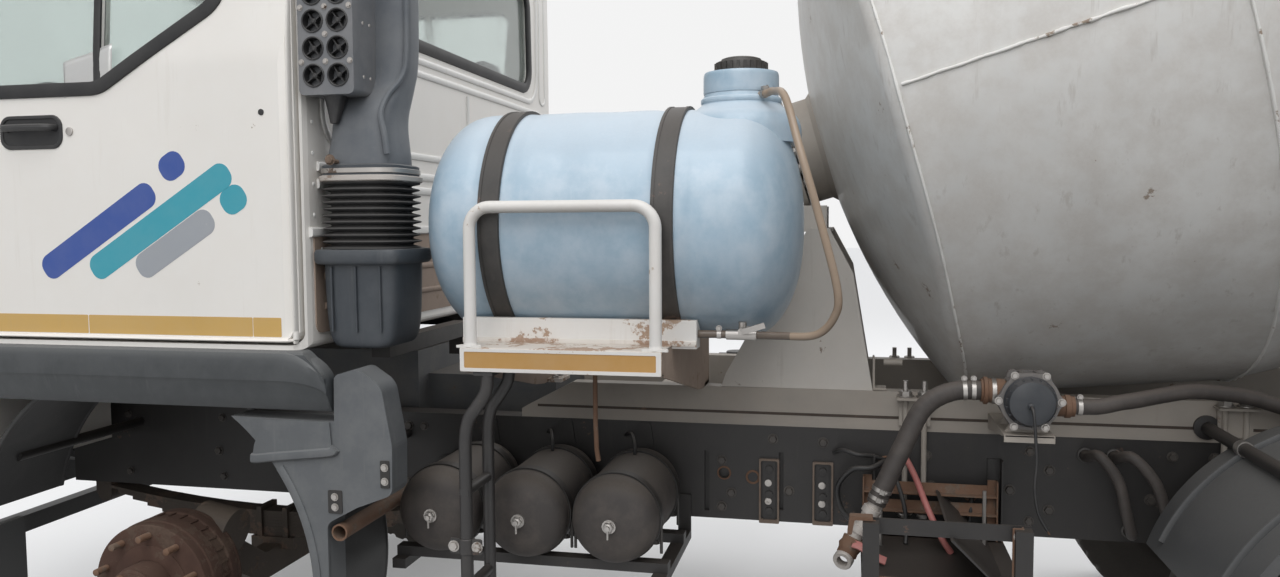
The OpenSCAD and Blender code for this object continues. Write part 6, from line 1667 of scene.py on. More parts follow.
def hose_clamp(place, run, radius):
    """A steel band round a hose, with its screw housing: a flat ring and a small box and screw beside it."""
    band_ring = turned_form(
        [
            (radius + 0.0002, -0.006), (radius + 0.0016, -0.006), (radius + 0.0016, 0.006),
            (radius + 0.0002, 0.006)], axis=Z, sides=32, closed=True)
    housing = moved(box((-0.008, -0.006, -0.007), (0.008, 0.006, 0.007), 0.002), (0, radius + 0.005, 0))
    screw = moved(bolt_head(0.009), (0, 0, 0), turned("Y", 90))
    return repeated(joined(band_ring, housing, moved(screw, (0.008, radius + 0.006, 0))), [place], run)


def lobed(radius, lobes, bump, turn=0.0, steps=120):
    """A round outline with rounded lobes: a circle plus a power of a cosine."""
    t = np.linspace(0, 2 * np.pi, steps, endpoint=False)
    r = radius + bump * np.maximum(np.cos(lobes * (t - turn)), 0) ** 1.5
    return np.stack([r * np.cos(t), r * np.sin(t)], 1)


class MIXER_OT_pump(bpy.types.Operator):
    """Water pump with its lobed body, black cap, bolts, stubs and bracket"""

    bl_idname = "mixer.pump"
    bl_label = "Water pump"

    def execute(self, context):
        x, _, z = PUMP
        at = np.array([x, z])
        lobes = 6
        body = [
            plate(lobed(0.082, lobes, 0.011) + at, 0.668, 0.69),
            plate(lobed(0.076, 1, 0.0) + at, 0.689, 0.742),
            plate(lobed(0.083, lobes, 0.011) + at, 0.741, 0.756)]
        ribs = joined(*[
            moved(box((-0.004, 0.69, 0.07), (0.004, 0.742, 0.084)), (x, 0, z), turned("Y", a))
            for a in range(15, 375, 30)])
        t = turns(lobes)
        rim = np.stack([x + 0.086 * np.cos(t), np.full(lobes, 0.756), z + 0.086 * np.sin(t)], 1)
        heads = bolts(rim, Y, 0.012)
        cap = turned_form(
            [
                (0.073, 0.752), (0.0735, 0.762), (0.07, 0.766), (0.068, 0.786), (0.062, 0.796),
                (0.04, 0.8035), (0.012, 0.8045)], (x, 0, z), Y, 56)
        cap_ribs = joined(*[
            moved(box((-0.0015, 0.766, 0.066), (0.0015, 0.789, 0.0705)), (x, 0, z), turned("Y", a))
            for a in range(0, 360, 20)])
        gland = turned_form([(0.009, 0.8), (0.009, 0.812), (0.006, 0.815)], (0.306, 0, 1.144), Y, 16)
        neck = turned_form(
            [(0.05, 0.5705), (0.052, 0.575), (0.052, 0.6), (0.044, 0.606), (0.044, 0.65), (0.06, 0.668)],
            (x, 0, z), Y, 40)
        fins = joined(*[
            turned_form(
                [(0.045, b), (0.0565, b), (0.0565, b + 0.003), (0.045, b + 0.003)], (x, 0, z), Y, 40, True)
            for b in (0.612, 0.622, 0.632, 0.642)])
        front = turned_form(
            [(0.036, 0.0), (0.036, 0.05), (0.041, 0.052), (0.041, 0.062), (0.034, 0.064), (0.034, 0.07)],
            (0.36, 0.7, 1.17), X, 32)
        rear = turned_form(
            [(0.03, -0.07), (0.03, -0.06), (0.034, -0.058), (0.034, -0.044), (0.03, -0.042), (0.03, 0.0)],
            (0.24, 0.7, 1.13), X, 32)
        ring = turned_form(
            [(0.0365, -0.012), (0.0385, -0.012), (0.0385, 0.0), (0.0365, 0.0)], (0.4, 0.7, 1.17), X, 32, True)
        shelf = [
            box((0.23, 0.42, 1.046), (0.37, 0.76, 1.0515), 0.004),
            box((0.23, 0.7545, 1.03), (0.37, 0.76, 1.05), 0.002),
            box((0.23, 0.4205, 1.0), (0.37, 0.4265, 1.048), 0.003)]
        gussets = [
            plate(
                [(0.426, 1.047), (0.426, 1.002), (0.445, 1.002), (0.72, 1.04), (0.72, 1.047)], a, a + 0.004,
                ACROSS) for a in (0.23, 0.366)]
        saddle = [
            plate(
                [(x - 0.06, 1.0515), (x + 0.06, 1.0515), (x + 0.045, 1.078), (x - 0.045, 1.078)], b, b + 0.012
            ) for b in (0.59, 0.7)]
        made = piece(
            "Water_pump",
            [
                (joined(*body, ribs, neck, fins), "pump_iron"), (joined(cap, cap_ribs, gland), "pump_cap"),
                (joined(front, rear), "rusty_steel"), (ring, "bare_steel"),
                (
                    joined(heads, bolts([(0.25, 0.4265, 1.024), (0.35, 0.4265, 1.024)], Y, 0.014)),
                    "bare_steel"), (joined(*shelf, *gussets, *saddle), "mixer_grey")], "root", "pump_iron",
            "pump_iron", bevel=0.0012)
        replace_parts(made, "water_pump")
        return {"FINISHED"}


def spiral_marks(path, radius, pitch, share=0.012):
    """Radii along a hose with a faint spiral reinforcement: a small sine of the distance along it."""
    run = np.concatenate([[0], np.cumsum(np.linalg.norm(np.diff(path, axis=0), axis=1))])
    return radius * (1 + share * np.sin(2 * np.pi * run / pitch))


class MIXER_OT_hoses(bpy.types.Operator):
    """Water hoses, the pipe with its valve, looped hoses and the tank's sight tube"""

    bl_idname = "mixer.hoses"
    bl_label = "Hoses"

    def execute(self, context):
        suction = smooth_path(
            [
                (0.4303, 0.7, 1.17), (0.47, 0.7, 1.17), (0.51, 0.701, 1.164), (0.558, 0.705, 1.143),
                (0.595, 0.71, 1.11), (0.622, 0.716, 1.063), (0.645, 0.722, 1.01), (0.671, 0.727, 0.954),
                (0.695, 0.732, 0.9), (0.713, 0.735, 0.86), (0.729, 0.738, 0.822)], 8)
        pressure = smooth_path(
            [
                (0.1697, 0.7, 1.13), (0.14, 0.7, 1.13), (0.1, 0.699, 1.132), (0.045, 0.688, 1.143),
                (-0.01, 0.67, 1.15), (-0.09, 0.636, 1.161), (-0.17, 0.6, 1.168), (-0.265, 0.56, 1.158),
                (-0.36, 0.52, 1.14), (-0.52, 0.47, 1.09), (-0.68, 0.444, 1.06)], 8)
        parts = [(
            joined(
                tube(suction, spiral_marks(suction, 0.029, 0.009), 28),
                tube(pressure, spiral_marks(pressure, 0.023, 0.008), 24)), "hose_rubber")]
        loops = []
        for i in (0, 1):
            loops.append(smooth_path(
                np.array([
                    (75 - 85 * i, 420.3, 925), (75 - 85 * i, 450, 925), (70 - 85 * i, 480, 935),
                    (50 - 95 * i, 510, 940), (0 - 105 * i, 520, 870), (-30 - 115 * i, 510, 760),
                    (-52 - 120 * i, 480, 695), (-60 - 120 * i, 450, 688), (-60 - 120 * i, 420.3, 688)
                ]) / 1000, 8))
        parts.append((joined(*[tube(p, 0.017, 18) for p in loops]), "hose_rubber"))
        parts.append((
            joined(*[
                turned_form(
                    [(0.018, 0.0), (0.024, 0.0), (0.024, 0.006), (0.019, 0.008)], (p[0], RAIL_FACE, p[2]), Y,
                    20, True) for loop in loops for p in (loop[0], loop[-1])]), "black_fittings"))
        sight = smooth_path(
            [
                (1.0626, 0.8898, 2.035), (1.045, 0.9133, 2.035), (1.022, 0.943, 2.036), (0.985, 1.04, 2.006),
                (0.939, 1.135, 1.857), (0.887, 1.152, 1.676), (0.842, 1.13, 1.494), (0.85, 1.105, 1.42),
                (0.9, 1.07, 1.368), (1.0, 1.035, 1.36), (1.13, 1.022, 1.36), (1.19, 1.022, 1.36),
                (1.2247, 1.022, 1.36)], 10)
        # the last run, under the tank, takes a darker copy of the tube's colour as painted shade
        split = int(len(sight) * 0.72)
        parts.append((tube(sight[:split + 1], 0.011, 16), "sight_tube"))
        parts.append((tube(sight[split:], 0.0108, 16), "sight_tube_dark"))
        tee = [
            tube([(1.06, 1.029, 1.36), (1.145, 1.022, 1.36)], 0.015, 16),
            tube([(1.1, 1.025, 1.36), (1.1, 1.027, 1.396)], 0.011, 12),
            tube([(1.1, 1.026, 1.372), (1.1, 1.06, 1.372)], 0.01, 12)]
        lever = carried(
            [(-0.003, -0.008), (0.003, -0.008), (0.003, 0.008), (-0.003, 0.008)],
            [(1.1, 1.06, 1.372), (1.085, 1.066, 1.376), (1.035, 1.068, 1.392)])
        parts.append((
            joined(
                *tee,
                *[
                    hose_clamp(sight[k], sight[k + 1] - sight[k], 0.011)
                    for k in (6, int(len(sight) * 0.8), -16)]), "bare_steel"))
        parts.append((lever, "bare_steel"))
        valve = np.array((0.8, 0.74, 0.7))
        pipe = smooth_path([(0.727, 0.738, 0.826), (0.75, 0.739, 0.785), (0.776, 0.74, 0.742), valve], 6)
        parts.append((tube(pipe, np.where(np.arange(len(pipe)) % 6 < 1, 0.0235, 0.022), 24), "pale_pipe"))
        body_run = valve - np.array(pipe[0])
        collars = repeated(
            turned_form([(0.024, -0.012), (0.029, -0.01), (0.029, 0.01), (0.024, 0.012)], axis=Z, sides=8),
            [pipe[4], pipe[12]], body_run)
        body = repeated(
            turned_form(
                [
                    (0.024, -0.03), (0.031, -0.028), (0.031, -0.012), (0.036, 0.0), (0.031, 0.012),
                    (0.031, 0.028), (0.024, 0.03)], axis=Z, sides=24), [valve + (0.004, 0.004, -0.012)],
            (0.38, 0.15, -0.9))
        out = np.array((0.3, 0.93, -0.2))
        mouth = repeated(
            turned_form(
                [(0.017, 0.0), (0.017, 0.03), (0.027, 0.031), (0.03, 0.026), (0.03, 0.006), (0.027, 0.0)],
                axis=Z, sides=28, closed=True), [(0.818, 0.748, 0.656)], out)
        stem = tube([(0.8, 0.745, 0.7), (0.79, 0.778, 0.706)], 0.009, 12)
        handle = carried(
            rect(-0.004, -0.014, 0.004, 0.014, 0.003, 3),
            smooth_path(
                [(0.795, 0.776, 0.706), (0.77, 0.784, 0.7), (0.735, 0.79, 0.678), (0.7, 0.792, 0.664)], 4))
        parts += [
            (joined(collars, mouth), "pale_pipe"), (joined(body, stem), "rusty_steel"), (handle, "handle_red")
        ]
        clamps = [
            hose_clamp(p, d, r)
            for p, d, r in (
                (suction[4], (1, 0, 0), 0.0292), (suction[9], (1, 0, -0.06), 0.0292),
                (suction[-5], (0.3, 0, -0.9), 0.0292), (suction[-10], (0.3, 0, -0.9), 0.0292),
                (pressure[4], (1, 0, 0), 0.0233))]
        parts.append((joined(*clamps), "bare_steel"))
        made = piece("Water_hoses", parts, "root", "hose_rubber", "hose_rubber", angle=50)
        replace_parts(made, "water_hoses")
        return {"FINISHED"}


# Frame


class MIXER_OT_rail_details(bpy.types.Operator):
    """Bolts, framed slots, brackets and cables on the frame's rails, and the subframe's clamps"""

    bl_idname = "mixer.rail_details"
    bl_label = "Frame fittings"

    def execute(self, context):
        heads = [
            (1.063, 0.935), (1.238, 0.854), (1.008, 0.758), (1.238, 0.693), (1.205, 0.742), (0.895, 0.93),
            (0.56, 0.9), (0.545, 0.8), (0.3, 0.8), (0.18, 0.87), (0.18, 0.74), (-0.12, 0.79), (-0.3, 0.93),
            (-0.3, 0.7), (2.4, 0.93), (2.55, 0.85), (2.4, 0.72), (3.2, 0.8)]
        row = [(x, z) for x in np.arange(-2.7, 3.8, 0.42) for z in (0.7, 0.93) if not 0.3 < x < 2.3]
        places = np.array([(x, RAIL_Y, z) for x, z in heads])
        both = np.concatenate([
            np.array([(x, RAIL_Y, z) for x, z in row]), np.array([(x, RAIL_Y, z) for x, z in heads])])
        left = [bolts(places, Y, 0.019), bolts([(x, RAIL_Y, z) for x, z in row], Y, 0.017)]
        right = mirrored(bolts(both, Y, 0.018))
        frames_, clips, bright = [], [], []
        for x, z, h in ((1.075, 0.756, 0.222), (0.895, 0.756, 0.215)):
            outer = rect(x - 0.034, z - h / 2, x + 0.034, z + h / 2, 0.003, 3)
            inner = rect(x - 0.028, z - h / 2 + 0.012, x + 0.028, z + h / 2 - 0.006, 0.006, 3)
            frames_.append(plate(outer, RAIL_Y, RAIL_Y + 0.012, holes=[inner[::-1]]))
            clips.append(box(
                (x - 0.02, RAIL_Y, z - h / 2 + 0.012), (x + 0.02, RAIL_Y + 0.004, z + h / 2 - 0.006)))
            bright += [
                turned_form(
                    [(0.012, 0.0), (0.012, 0.006), (0.006, 0.007)], (x + 0.003, RAIL_Y + 0.004, z + d), Y, 14)
                for d in (0.028, -0.035)]
            clips += [
                turned_form([(0.013, 0.0), (0.013, 0.01), (0.009, 0.0105)], (x, RAIL_Y + 0.002, z + d), Y, 14)
                for d in (0.075, -0.012, -0.07)]
        ring = turned_form(
            [(0.017, 0.0), (0.025, 0.0), (0.024, 0.0025), (0.018, 0.003)], (1.131, RAIL_Y, 0.8), Y, 28, True)
        # a near-black disc filling the ring: painted shade inside the empty hole in the rail
        hole_shade_disc = turned_form([(0.017, 0.0), (0.017, 0.0006)], (1.131, RAIL_Y, 0.8), Y, 24)
        piece(
            "Rail_bolts",
            [
                (joined(*left, right), "frame_bolt"), (joined(*frames_), "rail_slot_frame"),
                (
                    joined(*clips, plate(rect(0.96, 0.668, 1.36, 0.995, 0.01, 3), 0.398, 0.4035)),
                    "frame_black"), (joined(*bright), "bare_steel"), (ring, "rusty_steel"),
                (hole_shade_disc, "seal_rubber")], "root", "frame_black", "frame_bolt")
        nuts, seams = [], []
        clamps_x, bolt_y = (0.6, -0.35, -2.5), 0.434
        for x in clamps_x:
            for side in (1, -1):
                for d in (-0.03, 0.03):
                    nuts.append(bolts([(x + d, side * bolt_y, 1.0985)], Z, 0.028))
                    nuts.append(tube(
                        [(x + d, side * bolt_y, 1.098), (x + d, side * bolt_y, 1.15)], 0.0088, 12))
                    nuts.append(bolts([(x + d, side * bolt_y, 0.712)], (0, 0, -1), 0.028))
        lugs = [
            plate(
                rounded(
                    [
                        (x - 0.06, 1.09, 0.004), (x + 0.06, 1.09, 0.004), (x + 0.06, 1.0975, 0.002),
                        (x - 0.06, 1.0975, 0.002)], 3), 0.4205, 0.474) for x in clamps_x]
        angle_plate = [
            plate(
                rounded(
                    [
                        (0.69, 1.112, 0.004), (0.735, 1.112, 0.004), (0.735, 1.222, 0.004),
                        (0.728, 1.222, 0.004), (0.728, 1.119, 0.002), (0.69, 1.119, 0.002)], 3), 0.352, 0.412
            ), tube([(0.7, 0.4, 1.205), (0.64, 0.4, 1.205)], 0.011, 12)]
        for side in (1, -1):
            seams.append(box((-2.75, side * RAIL_FACE, 1.019), (1.9, side * 0.4215, 1.028)))
        piece(
            "Subframe_clamps",
            [
                (joined(*nuts), "bare_steel"),
                (joined(*lugs, *[mirrored(s) for s in lugs], *angle_plate), "mixer_grey"),
                (joined(*seams), "seam_brown")], "root", "mixer_grey", "mixer_grey")
        cables = [
            smooth_path(
                [
                    (0.69, RAIL_FACE, 0.87), (0.688, 0.47, 0.868), (0.66, 0.52, 0.84), (0.635, 0.55, 0.76),
                    (0.63, 0.56, 0.69), (0.632, 0.58, 0.652)], 6),
            smooth_path(
                [
                    (0.69, RAIL_FACE, 0.87), (0.7, 0.46, 0.882), (0.74, 0.5, 0.87), (0.8, 0.5, 0.862),
                    (0.845, 0.49, 0.8), (0.83, 0.48, 0.72), (0.77, 0.49, 0.665), (0.72, 0.52, 0.652)], 6),
            smooth_path(
                [
                    (0.42, RAIL_FACE, 0.78), (0.42, 0.45, 0.778), (0.425, 0.47, 0.74), (0.43, 0.475, 0.66),
                    (0.42, 0.47, 0.6), (0.4, 0.44, 0.575)], 6),
            smooth_path(
                [
                    (0.86, 0.43, 0.9), (0.83, 0.455, 0.915), (0.78, 0.47, 0.905), (0.74, 0.455, 0.9),
                    (0.7, 0.435, 0.885), (0.69, RAIL_FACE, 0.875)], 6)]
        thin = [smooth_path(
            [
                (0.64, RAIL_FACE, 0.905), (0.63, 0.45, 0.9), (0.6, 0.52, 0.85), (0.57, 0.6, 0.78),
                (0.53, 0.64, 0.7), (0.5, 0.64, 0.652)], 6)]
        hole_rings = [
            turned_form(
                [(0.0185, 0.0), (0.0245, 0.0), (0.0235, 0.003), (0.019, 0.004)], (x, RAIL_Y, z), Y, 24, True)
            for x, z in ((0.69, 0.87), (0.42, 0.78), (1.23, 0.81), (2.15, 0.8))]
        piece(
            "Frame_cables",
            [
                (
                    joined(
                        *[tube(c, 0.007, 12) for c in cables[:1] + cables[2:]], tube(cables[1], 0.009, 12)),
                    "cable_sheath"), (joined(*[tube(c, 0.01, 12) for c in thin]), "handle_red"),
                (joined(*hole_rings), "rusty_steel")], "root", "cable_sheath", "cable_sheath")
        return {"FINISHED"}


class MIXER_OT_battery_frame(bpy.types.Operator):
    """Rusty angle bars, posts and plates round the empty battery carrier"""

    bl_idname = "mixer.battery_frame"
    bl_label = "Battery carrier"

    def execute(self, context):
        angle = rounded(
            [
                (0, 0, 0), (0.034, 0, 0.001), (0.034, 0.004, 0.001), (0.004, 0.004, 0.002),
                (0.004, 0.034, 0.001), (0, 0.034, 0.001)], 3)
        bars = []
        for y, z, low, high in (
            (0.96, 0.646, 0.33, 0.765), (0.47, 0.646, 0.33, 0.765), (0.47, 0.79, 0.35, 0.76),
            (0.47, 0.73, 0.35, 0.76)):
            bars.append(plate(angle + (y, z), low, high, ACROSS))
        posts = [
            box((x, y, 0.646), (x + 0.03, y + 0.005, 0.842), 0.001) for x in (0.345, 0.735)
            for y in (0.47, 0.972)]
        posts += [
            box((x, y, 0.646), (x + 0.005, y + 0.03, 0.842), 0.001) for x in (0.345, 0.76)
            for y in (0.47, 0.945)]
        hook = plate(
            rounded(
                [
                    (0.742, 0.842, 0.003), (0.792, 0.842, 0.003), (0.8, 0.8, 0.003), (0.812, 0.8, 0.003),
                    (0.806, 0.852, 0.004), (0.742, 0.852, 0.003)], 3), 0.95, 0.985)
        tray = [box((0.332, 0.47, 0.646), (0.766, 0.99, 0.65), 0.002)]
        heads = bolts([(x, 0.977, z) for x in (0.36, 0.75) for z in (0.67, 0.82)], Y, 0.014)
        rods = [tube([(x, 0.6, 0.65), (x, 0.6, 0.835), (x, 0.6, 0.84)], 0.006, 8) for x in (0.4, 0.71)]
        piece(
            "Battery_frame",
            [
                (joined(*bars), "rusty_steel"), (joined(*posts, hook), "rusty_steel"),
                (joined(*tray), "frame_black"), (heads, "bare_steel"), (joined(*rods), "bare_steel")], "root",
            "frame_black", "rusty_steel")
        return {"FINISHED"}


# Drum

# Foot of the drum's axis and its rise towards the rear, with the directions along and across it
DRUM_FOOT, DRUM_TILT = np.array([0.805, 0.0, 1.98]), math.radians(16)
DRUM_AXIS = np.array([-math.cos(DRUM_TILT), 0.0, math.sin(DRUM_TILT)])
DRUM_UP = np.array([math.sin(DRUM_TILT), 0.0, math.cos(DRUM_TILT)])
# Radii of the drum's head, belly and mouth, and the thickness of its sheet
HEAD_R, DRUM_R, MOUTH_R, SHELL = 0.995, 1.15, 0.55, 0.008
# Distances along the axis to the ends of the drum's cones
DRUM_S = (0.104, 0.926, 2.08, 4.05)
# Roller ring: distance along the axis, radius and width
RING_S, RING_R, RING_W = 3.15, 0.9, 0.11


def on_drum(radius, along, angle):
    """Points of the drum: its foot, plus the distance along its axis, plus the radius turned from straight
    out at the left (0) upwards.
    """
    radius, along, angle = np.broadcast_arrays(radius, along, angle)
    return DRUM_FOOT + along[..., None] * DRUM_AXIS + radius[..., None] * (
        np.cos(angle)[..., None] * Y + np.sin(angle)[..., None] * DRUM_UP)


def drum_radius(along):
    """Outer radius at a distance along the axis: two cones with a cylinder between them."""
    return np.interp(along, DRUM_S, (HEAD_R, DRUM_R, DRUM_R, MOUTH_R))


class MixerDrum(bpy.types.PropertyGroup):
    """Sizes of the drum's skin."""

    bead: FloatProperty(
        name="Weld bead", description="Height of a weld seam on the shell", unit="LENGTH", default=0.0045,
        min=0.0)
    dents: FloatProperty(
        name="Waviness", description="Depth of the shallow waves in the sheets", unit="LENGTH",
        default=0.0016, min=0.0)
    knuckle: FloatProperty(
        name="Knuckle", description="Radius of the bend between the head and the shell", unit="LENGTH",
        default=0.075, min=0.01)


class MIXER_OT_drum(bpy.types.Operator):
    """Smooth drum skin with its weld seams, track ring, mouth sleeve and flange"""

    bl_idname = "mixer.drum"
    bl_label = "Drum"

    def execute(self, context):
        sizes = context.scene.mixer_drum
        dish = 0.224
        ball = (HEAD_R**2 + dish**2) / 2 / dish
        r = np.linspace(0.0006, HEAD_R * 0.97, 14)
        head = np.stack([r, DRUM_S[0] - dish + ball - np.sqrt(ball**2 - r**2), np.zeros_like(r)], 1)
        outside = [tuple(k) for k in head] + [
            (HEAD_R, DRUM_S[0], sizes.knuckle), (DRUM_R, DRUM_S[1], 0.09), (DRUM_R, DRUM_S[2], 0.09),
            (MOUTH_R, DRUM_S[3], 0)]
        inside = [
            (MOUTH_R - SHELL, DRUM_S[3], 0), (DRUM_R - SHELL, DRUM_S[2], 0), (DRUM_R - SHELL, DRUM_S[1], 0),
            (HEAD_R - SHELL, DRUM_S[0] + SHELL, 0)
        ] + [(max(k - 0.002, 0.0005), s + SHELL, 0) for k, s, _ in head[::-2]]
        # the first and last point are both next to the axis, where the skin is closed by its two caps
        outline = denser(rounded(outside + inside, 7), 0.16)[1:]
        cols = 128
        angle = turns(cols)
        wave = np.sin(angle * 3 + 1.3)[None] * np.sin(
            outline[:, 1] * 5.1)[:, None] + 0.6 * np.sin(angle * 7 + 0.4)[None] * np.cos(
            outline[:, 1] * 8.3 + 1)[:, None]
        wide = (outline[:, 0] > 0.6)[:, None]
        skin = on_drum(outline[:, :1] + sizes.dents * wave * wide, outline[:, 1:], angle[None])
        rows = len(outline)
        shell = (
            skin.reshape(-1, 3),
            grid_faces(rows, cols, False, True) + [
                list(range(cols))[::-1], list(range((rows - 1) * cols, rows * cols))])
        half = seal_profile(0.016, sizes.bead)
        rng = np.random.default_rng(SEED)
        turn = turns(240)
        seams = []
        for s, lift in (
            (DRUM_S[0] + 0.018, -0.004), (DRUM_S[1], -0.0015), (1.5, 0.0), (DRUM_S[2], -0.0015), (3.02, 0.0)):
            uneven = 1 + 0.16 * rng.standard_normal(len(turn))
            seams.append(carried(
                half, on_drum(drum_radius(s) + lift, s + 0.0012 * np.sin(turn * 11), turn), True, DRUM_AXIS,
                scale=np.clip(uneven, 0.7, 1.35)))
        for s0, s1, a in (
            (0.135, 0.9, 1.0), (0.95, 1.49, 74.0), (1.51, 2.06, -38.0), (2.1, 3.01, 21.0),
            (0.135, 0.9, 181.0), (0.95, 1.49, 254.0), (1.51, 2.06, 150.0), (2.1, 3.01, 201.0)):
            s = np.linspace(s0, s1, 60)
            uneven = 1 + 0.16 * rng.standard_normal(len(s))
            line = on_drum(
                drum_radius(s) - 0.0005, s, np.full_like(s, math.radians(a)) + 0.0008 * np.sin(s * 60))
            seams.append(carried(
                half, line, side=np.cross(DRUM_AXIS, line[0] - DRUM_FOOT), scale=np.clip(uneven, 0.7, 1.35)))
        a, b = RING_S - RING_W / 2, RING_S + RING_W / 2
        skirt = [
            (drum_radius(a) - 0.002, a, 0), (RING_R - 0.06, a + 0.02, 0.02), (RING_R - 0.05, a, 0.008),
            (RING_R, a, 0.008), (RING_R, b, 0.008), (RING_R - 0.05, b, 0.008),
            (RING_R - 0.06, b - 0.02, 0.02), (drum_radius(b) - 0.002, b, 0)]
        track = turned_form(rounded(skirt, 5), DRUM_FOOT, DRUM_AXIS, cols, True)
        sleeve = turned_form(
            rounded(
                [
                    (MOUTH_R - 0.002, 3.99, 0), (MOUTH_R + 0.022, 3.99, 0.004),
                    (MOUTH_R + 0.022, 4.06, 0.004), (MOUTH_R - 0.002, 4.06, 0.002)], 4), DRUM_FOOT, DRUM_AXIS,
            96, True)
        flange = turned_form(
            [
                (0.02, -0.258), (0.056, -0.258), (0.06, -0.254), (0.06, -0.208), (0.186, -0.208),
                (0.19, -0.204), (0.19, -0.128), (0.205, -0.112), (0.205, -0.099), (0.1, -0.098)], DRUM_FOOT,
            DRUM_AXIS, 72)
        places = on_drum(0.155, -0.208, np.arange(16) * np.pi / 8)
        hatch = turned_form(
            [(0.19, 0.0), (0.19, 0.01), (0.186, 0.013), (0.1, 0.016), (0.01, 0.0165)], axis=Z, sides=48)
        hatch_bolts = repeated(
            bolt_head(0.016),
            [(0.165 * math.cos(t), 0.165 * math.sin(t), 0.01) for t in np.arange(12) * np.pi / 6], Z)
        hatch_at, hatch_up = on_drum(
            DRUM_R - 0.004, 1.78, math.radians(205)), on_drum(1.0, 0.0, math.radians(205)) - DRUM_FOOT
        # the weld seams' pale finish is partly a painted highlight along the beads
        made = piece(
            "Drum_skin",
            [
                (shell, "drum_paint"), (joined(*seams), "drum_seam"), (track, "roller_steel"),
                (sleeve, "drum_paint"), (flange, "mixer_grey"),
                (bolts(places, -DRUM_AXIS, 0.024), "bare_steel"),
                (repeated(hatch, [hatch_at], hatch_up), "drum_paint"),
                (repeated(hatch_bolts, [hatch_at], hatch_up), "bare_steel")], "drum", "drum_paint",
            "drum_paint", angle=28)
        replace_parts(made, "drum_shell")
        return {"FINISHED"}


# Wheels


class MixerWheels(bpy.types.PropertyGroup):
    """Sizes of the tyres and of the wheel nuts."""

    tread: FloatProperty(
        name="Tread", description="Depth of the tyre's tread", unit="LENGTH", default=0.011, min=0.001)
    lugs: IntProperty(name="Lugs", description="Tread lugs round a tyre", default=46, min=12)
    nut: FloatProperty(name="Nut", description="Width of a wheel nut", unit="LENGTH", default=0.03, min=0.01)


# Height of the axles, and where the front one and the two rear ones stand
AXLE_Z, FRONT_X, REAR_X = 0.525, 2.975, (-0.625, -2.005)
# Radius of the rim, radius and width of the tyre, and half the width between its beads
RIM_R, TYRE_R, TYRE_W = 0.258, 0.525, 0.29
BEAD = 0.1044
# Half the track of the front and of the rear wheels, and the distance between twin wheels
FRONT_TRACK, REAR_TRACK, TWIN = 1.03, 0.93, 0.334
# Face of the front hub's flange, and the radius of the stud circle
FLANGE_Y, STUD_R = 1.09, 0.1675


def tyre_shape(middle, depth, lugs):
    """A tyre round Y: its section turned about the axle, less the tread. Grooves are where a zigzag in
    (angle, width) passes near zero; shoulder lugs are where a cosine of the angle is low.
    """
    half = TYRE_W / 2
    section = rounded(
        [
            (RIM_R + 0.0004, -BEAD, 0), (RIM_R + 0.024, -BEAD, 0.004), (RIM_R + 0.06, -half, 0.05),
            (TYRE_R - 0.09, -half, 0.08), (TYRE_R, -half * 0.82, 0.024), (TYRE_R, half * 0.82, 0.024),
            (TYRE_R - 0.09, half, 0.08), (RIM_R + 0.06, half, 0.05), (RIM_R + 0.024, BEAD, 0.004),
            (RIM_R + 0.0004, BEAD, 0), (RIM_R + 0.0004, BEAD * 0.8, 0), (RIM_R + 0.05, 0, 0.09),
            (RIM_R + 0.0004, -BEAD * 0.8, 0)], 6)
    crown = denser(section, 0.011)
    cols = 276
    angle = turns(cols)
    r, y = crown[:, :1], crown[:, 1:]
    phase = lugs * angle[None]
    zigzag = 0.01 * np.arcsin(np.sin(phase)) * 2 / np.pi
    lines = np.max([np.exp(-(((y - c - zigzag) / 0.0065) ** 2)) for c in (-0.052, 0.0, 0.052)], axis=0)
    shoulder = (np.cos(phase + 0.6 * np.sign(y)) > 0.45) * (np.abs(y) > 0.074)
    on_tread = np.clip((r - (TYRE_R - 0.045)) / 0.025, 0, 1)
    rings = 0.0022 * (np.exp(-(((r - 0.345) / 0.004) ** 2)) + np.exp(-(((r - 0.405) / 0.004) ** 2)) + np.exp(
        -(((r - 0.452) / 0.003) ** 2))) * (np.abs(y) > half * 0.6)
    radius = r - depth * np.maximum(lines, shoulder) * on_tread
    wide = y + np.sign(y) * rings * np.clip((half - np.abs(y)) / 0.0022, 0, 1)
    points = np.stack(
        [radius * np.cos(angle), np.broadcast_to(wide, radius.shape) + middle, radius * np.sin(angle)], -1)
    return points.reshape(-1, 3), grid_faces(len(crown), cols, True, True)


def rim_shape(middle):
    """A rim round Y: barrel with a drop in the middle, and two rolled flanges."""
    t = 0.009
    outer = [
        (RIM_R - t, -BEAD - t, 0), (RIM_R + 0.02, -BEAD - t, 0.004), (RIM_R + 0.022, -BEAD, 0.002),
        (RIM_R, -BEAD, 0.003), (RIM_R, -0.062, 0.006), (RIM_R - 0.01, -0.05, 0.006),
        (RIM_R - 0.01, 0.05, 0.006), (RIM_R, 0.062, 0.006), (RIM_R, BEAD, 0.003),
        (RIM_R + 0.022, BEAD, 0.002), (RIM_R + 0.02, BEAD + t, 0.004), (RIM_R - t, BEAD + t, 0.003),
        (RIM_R - t, 0.066, 0.006), (RIM_R - t - 0.01, 0.054, 0.006), (RIM_R - t - 0.01, -0.054, 0.006),
        (RIM_R - t, -0.066, 0.006)]
    return turned_form(rounded(outer, 4) + (0, middle), axis=Y, sides=72, closed=True)


